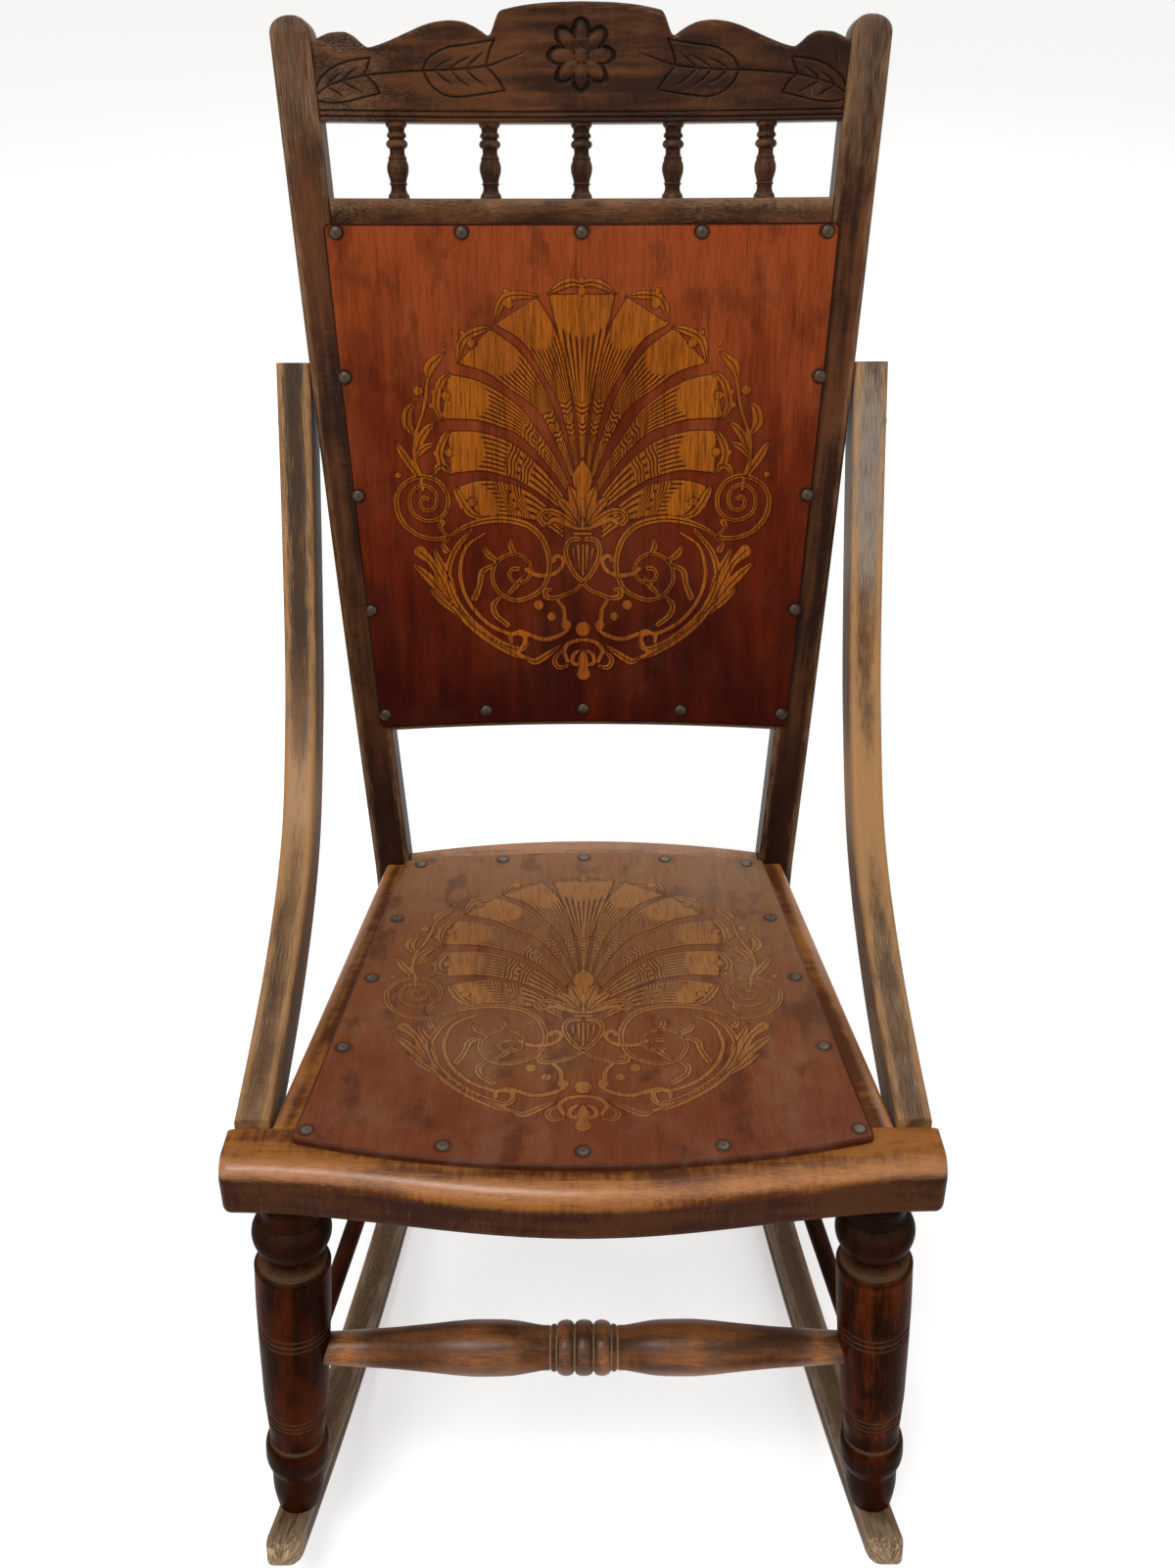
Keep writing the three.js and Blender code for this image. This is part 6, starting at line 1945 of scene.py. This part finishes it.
@dataclass
class Stays:
    """Bent side stays that rise from the front rail to the outsides of the posts."""

    shape: BackShape
    reach: float = 392.5  # front to back
    rise: float = 399.0  # foot to top
    start: float = -136.7  # front edge of the foot
    stand: float = 2.0  # height of the foot
    depth: float = 37.0  # of the section, front to back
    thin: float = 23.0  # its thickness at the foot
    thick: float = 26.0  # and at the top
    foot_inner: float = 205.0  # inner face of the foot
    edge: float = 3.2  # rounding of the edges
    screw_drop: float = 42.0  # from the top down to the screw, along the front edge
    # the front edge, as shares of the reach and of the rise
    shares: tuple[tuple[float, float], ...] = (
        (0, 0), (0.1325, 0.0325), (0.2725, 0.073), (0.395, 0.12), (0.502, 0.175), (0.594, 0.246),
        (0.693, 0.371), (0.772, 0.496), (0.892, 0.747), (1, 1))

    def path(self, count: int) -> tuple[Array, Array]:
        """Front edge and the way into the stay, both in the side view.

        Args:
            count: How many places to give.

        Returns:
            The edge's places, and unit directions square to it, as y and z.
        """
        points = np.array(self.shares) * [self.reach, self.rise] + [self.start, self.stand]
        held = np.concatenate([points[:1], points, points[-1:]])
        edge = even(through(held, 24), count)
        tangent = np.gradient(edge, axis=0)
        tangent /= np.linalg.norm(tangent, axis=1)[:, None]
        return edge, np.stack([tangent[:, 1], -tangent[:, 0]], axis=-1)

    def inner(self, z: Array) -> Array:
        """Inner face at a height: a straight line from the foot to the post."""
        top = float(self.shape.outer((self.stand + self.rise - RAIL_TOP) / math.cos(BACK_LEAN)))
        return blend(self.foot_inner, top + GAP, (z - self.stand) / self.rise)

    def surface(self) -> Surface:
        """Left stay: a rounded section carried along the edge, standing upright where it starts.

        Returns:
            The stay's skin.
        """
        edge, deep = self.path(220)
        level = ease(run_along(edge), 30.0, 0.0)[:, None]
        deep = blend(deep, np.array([0.0, -1.0]), level)
        deep /= np.linalg.norm(deep, axis=1)[:, None]
        up = (edge[:, 1] - self.stand) / self.rise
        thickness = blend(self.thin, self.thick, up)
        path = np.stack([self.inner(edge[:, 1]) + thickness / 2, edge[:, 0], edge[:, 1]], axis=-1)
        section, close = rounded_section(self.thin, self.depth, self.edge, 5, 6)
        wide = np.stack([section[None, :, 0] * (thickness / self.thin)[:, None],
                         np.broadcast_to(section[:, 1], (len(path), len(section)))], axis=-1)
        into = np.concatenate([np.zeros((len(path), 1)), deep], axis=-1)
        front = np.exp(-section[:, 1] / 9.0)
        wear = 0.15 + 0.45 * close + 0.2 * front
        made = swept(path, np.array([1.0, 0, 0]), into, wide, wear)
        # flecks of old paint on the outer front edge, from 240 to 330 mm up
        outer = (section[:, 0] > self.thin / 2 - 4) & (section[:, 1] < 4)
        high = hill(path[:, 2], 285, 48)
        made.fields["chip"] = 0.93 * np.concatenate([(high[:, None] * outer).ravel(), [0.0, 0.0]])
        return made

    def screw(self) -> Surface:
        """Screw head on the outer face of the left stay, below its top.

        Returns:
            The head's skin.
        """
        edge, deep = self.path(2000)
        run = run_along(edge)
        i = int(np.searchsorted(run, run[-1] - self.screw_drop))
        y, z = edge[i] + deep[i] * self.depth / 2
        thickness = blend(self.thin, self.thick, (z - self.stand) / self.rise)
        middle = np.array([float(self.inner(z)) + thickness + 0.2, y, z])
        profile = profile_from([(0, 6.0), (0.8, 6.0), (1.8, 5.3), (2.6, 3.6), (3.0, 1.0)], 0.2)
        return turned(middle, middle + np.array([3.0, 0, 0]), profile, 32)

    def build(self, finish: bpy.types.Material, steel: bpy.types.Material) -> None:
        """Place both stays and their screws.

        Args:
            finish: The stays' material.
            steel: The screws' material.
        """
        left = self.surface()
        right = left.mirrored()
        up = (left.points[:, 2] - self.stand) / self.rise
        # hands have rubbed both a quarter of the way up; the left one is paler where it rises to
        # the post, bleached and also painted light there, and the right one is darker, most where
        # it rises to the post, which is painted shade, and alone keeps flecks of paint
        handled = hill(up, 0.25, 0.1)
        # painted light and bleaching on the left stay's upper part
        left.fields = {"age": ease(up, 0.5, 0.75) - 0.6 * ease(up, 0.82, 1.0)
                       + 0.25 * ease(up, 0.25, 0.05)}
        left.wear = left.wear + 0.15 * hill(up, 0.45, 0.2) + 0.6 * handled
        # painted shade on the right stay, darkest where it rises to the post
        right.fields["age"] = (-0.3 - 0.75 * ease(up, 0.38, 0.65) + 0.45 * ease(up, 0.3, 0.1)
                               + 0.2 * handled)
        right.wear = right.wear + 0.4 * handled
        place(left, "side_stay_left", finish)
        place(right, "side_stay_right", finish)
        place_pair(self.screw(), "stay_screw", steel)


# Legs, stretchers and rockers


@dataclass
class Undercarriage:
    """Turned front legs and stretchers, and the two bow rockers."""

    posts: Posts
    leg_top: tuple[float, float, float] = (191.8, -156.0, -46.6)
    leg_foot: tuple[float, float, float] = (215.0, -160.0, -347.0)
    # distance below the rail and radius, as measured
    leg_keys: tuple[tuple[float, float], ...] = (
        (0, 19.6), (10, 19.6), (12.6, 20.4), (13.6, 20), (14.6, 18.4), (16, 20.6), (18, 22.9),
        (21, 25), (25, 26.3), (28, 26.5), (32, 26), (36, 24.6), (40, 22.2), (44, 19), (46.5, 17),
        (48, 16.2), (49.4, 17.2), (51.5, 21), (52.8, 22.6), (53.4, 22), (54, 22.4), (55.5, 24.6),
        (57.2, 25.7), (60, 25.6), (80, 25.6), (108.2, 25.2), (109.2, 24.2), (109.8, 24.2),
        (110.8, 25.1), (113.2, 25), (114.2, 24), (114.8, 24), (115.8, 24.9), (118.2, 24.9),
        (119.2, 23.9), (119.8, 23.9), (120.8, 24.8), (140, 24.3), (160, 23.6), (180, 22.9),
        (194.7, 21.9), (195.7, 20.9), (196.3, 20.9), (197.3, 21.7), (199.2, 21.6), (200.2, 20.6),
        (200.8, 20.6), (201.8, 21.4), (203.7, 21.2), (204.7, 20.2), (205.3, 20.2), (206.3, 21),
        (217, 20.2), (225, 19.7),
        (229.5, 19.5), (231.5, 21.6), (235, 22.6), (239, 23.0), (247, 23.0), (252, 22.4),
        (256, 21.2), (259, 19.6), (262, 19.0), (270, 18.8), (280, 18.5), (290, 17.4), (298, 16.0),
        (306, 14.6))
    # distance from the middle of the front stretcher and radius, as measured
    stretcher_keys: tuple[tuple[float, float], ...] = (
        (0, 18.7), (2.5, 18.5), (4.6, 17.7), (5.8, 16.7), (6.3, 15.6), (6.9, 15.6), (7.4, 16.7),
        (8.6, 17.7), (10.8, 18.5), (13, 18.6), (15.2, 18.2), (17.2, 17.3), (18.3, 16.3),
        (18.8, 15.2), (19.4, 15.2), (20, 15.9), (22.3, 15.6), (22.9, 14.6), (23.6, 14.5),
        (24.3, 15), (28, 15), (33, 15.7), (40, 16.9),
        (50, 18.4), (60, 18.9), (73, 19.0), (90, 18.0), (100, 16.9), (110, 15.9), (120, 15.0),
        (130, 14.1), (140, 13.4), (160, 12.3), (176, 11.4), (190, 11.0))
    front_drop: float = 142.0  # from the rail down the leg to the front stretcher
    side_drops: tuple[float, float] = (189.0, 235.0)  # ends of the side stretchers, front and rear
    side_radius: float = 7.3
    rear_drop: float = 173.0
    rear_radius: float = 9.0
    rocker_radius: float = 1250.0  # of the lower faces
    rocker_width: float = 26.0
    rocker_height: float = 20.0
    toe: float = 0.1322  # how much closer the rockers stand for each step back
    tip_width: float = 5.0
    tip_round: float = 15.0  # length of the rounding at both tips
    tip_lift: float = 0.38  # how far a tip rises from below, as a share of the height
    tip_fall: float = 0.5  # and how far it falls from above
    reach: float = 385.0  # along the arc from its lowest place to the rear tip
    front_reach: float = 381.0  # and to the front tip
    flat: float = 40.0  # length of the worn flat

    def leg(self) -> Surface:
        """Left front leg: the measured profile, cut level below the rail and round the rocker.

        Returns:
            The leg's skin.
        """
        top, foot = np.array(self.leg_top), np.array(self.leg_foot)
        along = (foot - top) / np.linalg.norm(foot - top)
        # it starts a little above the rail's underside, so that the level cut goes right across
        keys = [(-4.0, 20.4), *self.leg_keys]
        made = turned(top, foot, profile_from(keys, 0.9), 64)
        points = made.points
        over = np.clip(points[:, 2] - top[2], 0, None)
        points = points + (over / -along[2])[:, None] * along
        made.points = stop_at_rocker(points, along)
        # dark above the shoulder and at the foot, with dust in the groove over the shoulder
        drop = made.grain[:, 2]
        shoulder = ease(drop, 58.5, 57)
        made.fields["age"] = blend(made.fields["age"], -0.6, shoulder) - 0.5 * ease(drop, 228, 245)
        made.fields["age"] += 1.7 * shoulder * hill(drop, 53.5, 0.8) + 1.1 * hill(drop, 52, 4)
        made.wear = np.minimum(made.wear, 0.62) + 0.24 * ease(drop, 58, 62) * ease(drop, 230, 210)
        return made

    def in_leg(self, drop: float) -> Array:
        """Middle of the left front leg at a distance below the rail."""
        top, foot = np.array(self.leg_top), np.array(self.leg_foot)
        return blend(top, foot, drop / np.linalg.norm(foot - top))

    def front_stretcher(self) -> Surface:
        """Front stretcher: rings at its middle, a long swelling and a thin end on both sides.

        Returns:
            The stretcher's skin.
        """
        end = self.in_leg(self.front_drop)
        in_socket = 8.0  # from the leg's middle to the stretcher's end
        half = float(end[0]) - in_socket
        right = profile_from(list(self.stretcher_keys), 0.9)
        both = np.concatenate([right[::-1] * [-1, 1], right[1:]])
        both = both[np.abs(both[:, 0]) <= half]
        middle = np.array([0.0, end[1], end[2]])
        made = turned(middle, middle + np.array([1.0, 0, 0]), both, 48)
        # feet have rubbed the swellings and the ends
        x = np.abs(made.points[:, 0])
        made.wear += 0.45 * hill(x, 166, 13) + 0.3 * hill(x, 72, 24)
        return made

    def plain_stretcher(self, start: Array, end: Array, radius: float, offset: float) -> Surface:
        """Thin stretcher, a little fuller in the middle.

        Args:
            start: Middle of one end.
            end: Middle of the other.
            radius: At its middle.
            offset: Shifts the grain.

        Returns:
            The stretcher's skin.
        """
        length = float(np.linalg.norm(end - start))
        keys = [(0, radius * 0.8), (length * 0.25, radius * 0.94), (length / 2, radius),
                (length * 0.75, radius * 0.94), (length, radius * 0.8)]
        return turned(start, end, profile_from(keys, 3.0), 28, offset=offset)

    def rear_leg(self, drop: float) -> Array:
        """Middle of the left rear leg at a distance below the seat frame's top."""
        shape = self.posts.shape
        y = POST_FRONT + math.tan(self.posts.rake) * drop + shape.post_depth / 2
        return np.array([shape.spread_low, y, RAIL_TOP - drop])

    def rocker(self) -> Surface:
        """Left rocker: a section carried round the arc, rounded at both tips, with a worn flat.

        A place at arc a stands at angle tilt + a / R from straight down, and the tips lose height
        as 1 - sqrt(1 - t^2).

        Returns:
            The rocker's skin.
        """
        body = np.linspace(self.tip_round - self.front_reach, self.reach - self.tip_round, 150)
        tip = self.tip_round * np.sin(np.linspace(0, np.pi / 2, 10)[1:])
        arc = np.concatenate([body[0] - tip[::-1], body, body[-1] + tip])
        t = np.clip(np.maximum(body[0] - arc, arc - body[-1]) / self.tip_round, 0, 1)
        fall = 1 - np.sqrt(1 - t**2)
        low = self.rocker_radius - fall * self.rocker_height * self.tip_lift
        high = ROCKER_TOP + fall * self.rocker_height * self.tip_fall
        # the worn flat cuts the arc off along its chord, which lies at R cos(half) / cos(turn)
        turn, half = arc / self.rocker_radius, self.flat / 2 / self.rocker_radius
        chord = self.rocker_radius * math.cos(half) / np.cos(turn)
        low = np.where(np.abs(turn) < half, np.minimum(low, chord), low)
        width = blend(self.rocker_width, self.tip_width, fall)
        section, close = rounded_section(self.rocker_width, self.rocker_height, 2.8, 5, 6)
        u = section[:, 0] / self.rocker_width
        v = section[:, 1] / self.rocker_height
        radius = high[:, None] + (low - high)[:, None] * v
        angle = (SEAT_TILT + turn)[:, None]
        y = ROCKER_CENTRE[0] + np.sin(angle) * radius
        z = ROCKER_CENTRE[1] - np.cos(angle) * radius
        x = self.leg_foot[0] - self.toe * (y - self.leg_foot[1]) + width[:, None] * u
        grain = np.stack(np.broadcast_arrays(u * self.rocker_width, v * self.rocker_height,
                                             arc[:, None]), axis=-1)
        made = skin(np.stack([x, y, z], axis=-1), grain,
                    np.broadcast_to(0.3 + 0.5 * close, y.shape).copy())
        # feet and walls have bared and chipped the tips, and the rest has blackened
        end = ease(np.abs(made.grain[:, 2]), self.front_reach - 60, self.front_reach - 5)
        made.fields["age"] = 0.95 * end - 0.5
        made.fields["chip"] = 0.92 * end
        return made

    def build(self, stain: bpy.types.Material, warm: bpy.types.Material,
              dusty: bpy.types.Material) -> None:
        """Place the legs, the stretchers and the rockers.

        Args:
            stain: The material of the legs and the thin stretchers.
            warm: The front stretcher's.
            dusty: The rockers'.
        """
        leg = self.leg()
        place(leg, "front_leg_left", stain)
        leg.wear = leg.wear - 0.15  # the right leg has kept more of its stain
        place(leg.mirrored(), "front_leg_right", stain)
        place(self.front_stretcher(), "front_stretcher", warm)
        front, rear = self.side_drops
        side = self.plain_stretcher(self.in_leg(front), self.rear_leg(rear), self.side_radius, 5.0)
        place_pair(side, "side_stretcher", stain)
        end = self.rear_leg(self.rear_drop)
        behind = self.plain_stretcher(end * [-1, 1, 1], end, self.rear_radius, 9.0)
        place(behind, "rear_stretcher", stain)
        place_pair(self.rocker(), "rocker", dusty)


# Studio


@dataclass
class Studio:
    """White floor and world, and broad lamps over the chair."""

    floor_reach: float = 6.0

    def build(self) -> None:
        """Lay the floor, light the scene and set how it is shown."""
        bpy.context.scene.view_settings.view_transform = "Standard"
        self.floor()
        self.world()
        self.lamp("key_lamp", (-0.7, -1.3, 3.1), 1.0, 40.0)
        self.lamp("left_lamp", (-2.2, -2.2, 1.5), 2.0, 18.0)
        self.lamp("right_lamp", (2.4, -1.8, 1.6), 2.0, 16.0)
        self.lamp("back_lamp", (0.6, 2.4, 2.6), 2.0, 20.0)

    def floor(self) -> None:
        """Plain pale floor that shows white to the camera and still takes the chair's shadow."""
        r = self.floor_reach
        mesh = bpy.data.meshes.new("floor")
        mesh.from_pydata([(-r, -r, 0), (r, -r, 0), (r, r, 0), (-r, r, 0)], [], [(0, 1, 2, 3)])
        floor = bpy.data.objects.new("floor", mesh)
        bpy.context.scene.collection.objects.link(floor)
        bench = Bench("white_paper")
        bench.shader.inputs["Base Color"].default_value = linear("#e9e8e6")
        bench.shader.inputs["Roughness"].default_value = 0.9
        seen = self.seen(bench.tree)
        bench.tree.links.new(add_node(bench.tree, "Math", seen, 0.42, operation="MULTIPLY"),
                             bench.shader.inputs["Emission Strength"])
        bench.shader.inputs["Emission Color"].default_value = (1, 1, 1, 1)
        mesh.materials.append(bench.material)
        floor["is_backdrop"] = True

    def seen(self, tree: Tree) -> Socket:
        """Whether a ray comes from the camera, a mirror or a glass, as 1 or 0.

        Args:
            tree: The nodes that it is worked out in.

        Returns:
            That number.
        """
        path = add_node(tree, "LightPath").node.outputs
        seen = add_node(tree, "Math", path["Is Camera Ray"], path["Is Glossy Ray"],
                        operation="MAXIMUM")
        return add_node(tree, "Math", seen, path["Is Transmission Ray"], operation="MAXIMUM")

    def world(self) -> None:
        """World: soft grey light, and plain white where it is seen or mirrored."""
        world = bpy.data.worlds.new("studio")
        bpy.context.scene.world = world
        world.use_nodes = True
        tree = world.node_tree
        tree.nodes.clear()
        strength = add_node(tree, "Math", self.seen(tree), 0.45, 0.55, operation="MULTIPLY_ADD")
        light = add_node(tree, "Background", (1, 1, 1, 1), strength)
        add_node(tree, "OutputWorld", named={"Surface": light})

    def lamp(self, name: str, spot: tuple[float, float, float], size: float, power: float) -> None:
        """Square lamp at a spot, turned to the chair's middle.

        Args:
            name: The lamp's name.
            spot: Where it stands, in metres.
            size: Its side, in metres.
            power: Its power, in watts.
        """
        light = bpy.data.lights.new(name, "AREA")
        light.size = size
        light.energy = power
        lamp = bpy.data.objects.new(name, light)
        bpy.context.scene.collection.objects.link(lamp)
        lamp.location = spot
        aim = lamp.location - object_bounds()[0].lerp(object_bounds()[1], 0.5)
        lamp.rotation_euler = aim.to_track_quat("Z", "Y").to_euler()


def add_camera() -> None:
    """Camera at the photograph's place: its position and axes were found in the seat's frame."""
    picture_height, focal_length = 1601, 1475  # of the photograph, in its own pixels
    sensor = 36.0
    position = np.array([4.2, -858.1316, 645.2352])
    # to its right, up and back
    axes = np.array([[0.999997, -0.000428, -0.002442], [0.002348, 0.479494, 0.877542],
                     [0.000795, -0.877545, 0.479494]])
    world = leaned(axes, SEAT_TILT, np.zeros(3))
    camera = bpy.data.cameras.new("photo_camera")
    camera.sensor_fit = "VERTICAL"
    camera.sensor_height = sensor
    camera.lens = sensor * focal_length / picture_height
    made = bpy.data.objects.new("photo_camera", camera)
    bpy.context.scene.collection.objects.link(made)
    matrix = np.eye(4)
    matrix[:3, :3] = world.T
    matrix[:3, 3] = to_row(position, Plane.SEAT)
    made.matrix_world = Matrix(matrix.tolist())
    bpy.context.scene.camera = made


def main() -> None:
    """Build the chair from the floor up, then light it and set the camera."""
    logging.basicConfig(level=logging.INFO, format="%(name)s: %(message)s")
    shape = BackShape()
    # back posts, rails, crest and spindles: dark brown, nearly black in the hollows, hardly glossy
    stain = StainedWood("dark_stained_birch", "#28150b", "#56321b", "#7c5a3a", pale="#6c5845",
                        deep="#1b0903", flecks=0.45, gloss=0.07, grime=0.25).make()
    # seat frame: the stain has gone to orange, polished where legs brush it
    rails = StainedWood("orange_worn_birch", "#53290f", "#925b28", "#b4743a", deep="#260b02",
                        gloss=0.06, polish=0.9, roughness=0.42, figure=0.3, grime=0.28,
                        dust_share=0.04, ragged=0.45).make()
    # stays: dry grey-brown wood with tan places where hands lay
    grey = StainedWood("worn_stained_birch", "#472e1a", "#735233", "#a87a4c", pale="#8c8276",
                       deep="#2f2218", gloss=0.08, grime=0.3, wear_start=0.5, ragged=0.7).make()
    # legs: deep red-brown that keeps its colour in the shade
    red = StainedWood("red_brown_stained_birch", "#1a0600", "#431904", "#733410", pale="#57432f",
                      deep="#160d08", gloss=0.01, wear_start=0.7, wear_full=1.35, dust="#4a3c30",
                      dust_share=0.15, roughness=0.36, polish=0.0, ragged=0.6).make()
    # front stretcher: lighter and more orange than the legs, from shoes
    warm = StainedWood("orange_brown_birch", "#3a1c0a", "#744421", "#a9662e", pale="#93805e",
                       deep="#1c0f08", gloss=0.08, wear_start=0.65, wear_full=1.25, dust="#5a4a3c",
                       roughness=0.36, ragged=0.7, grime=0.4, polish=0.4).make()
    # rockers: brown under a coat of grey dust, with no gloss left
    dusty = StainedWood("dusty_worn_birch", "#38230f", "#5e442c", "#8e745a", pale="#b09a80",
                        deep="#2c1e14", dust="#6c5a48", dust_share=0.4, gloss=0.03, grime=0.5,
                        ragged=1.3).make()
    # back panel: cherry red with golden forms, still whole and a little glossy
    cherry = PressedBoard("glossy_pressed_board", dark="#320501", middle="#5a1c06",
                          light="#863c1a", gold="#9a5310", gold_foot="#9c5218", line="#250a03",
                          haze="#8a6a4c", gilt=0.95, scuffed=0.1, roughness=0.3, gloss=0.03,
                          coat=0.02, stained=0.35).make()
    # seat panel: the same board sat dull and brown, with its gold nearly gone
    brown = PressedBoard("worn_pressed_board", dark="#68331a", middle="#784424", light="#845634",
                         gold="#a87038", gold_foot="#9a5e2c", line="#431c0c", haze="#a08a70",
                         gilt=0.8, scuffed=0.34, roughness=0.46, gloss=0.1, coat=0.0,
                         stained=0.6).make()
    # nails and screws: small dark domes with a dull glint
    brass = OldMetal("antique_brass", "#1a120a", "#3c2b1a", metallic=0.5).make()
    steel = OldMetal("old_steel", "#2c2119", "#5a4c40", metallic=0.45).make()
    SeatFrame().build(rails)
    Panel("seat_panel", Plane.SEAT, shape, corner=3.0, relief=0.6).build(
        "worn_pressed_board", brown)
    Panel("back_panel", Plane.BACK, shape, corner=5.0, die_height=306.0, relief=0.9).build(
        "glossy_pressed_board", cherry)
    posts = Posts(shape)
    posts.build(stain)
    BackRails(shape).build(stain)
    Crest(shape).build(stain)
    Spindles(shape).build(stain)
    Stays(shape).build(grey, steel)
    Nails(Plane.SEAT, shape, 4.4, 0.9).build("seat_nail", "old_steel", steel)
    Nails(Plane.BACK, shape, 5.0, 2.6).build("back_nail", "antique_brass", brass)
    Undercarriage(posts).build(red, warm, dusty)
    add_camera()
    Studio().build()


if __name__ == "__main__":
    main()
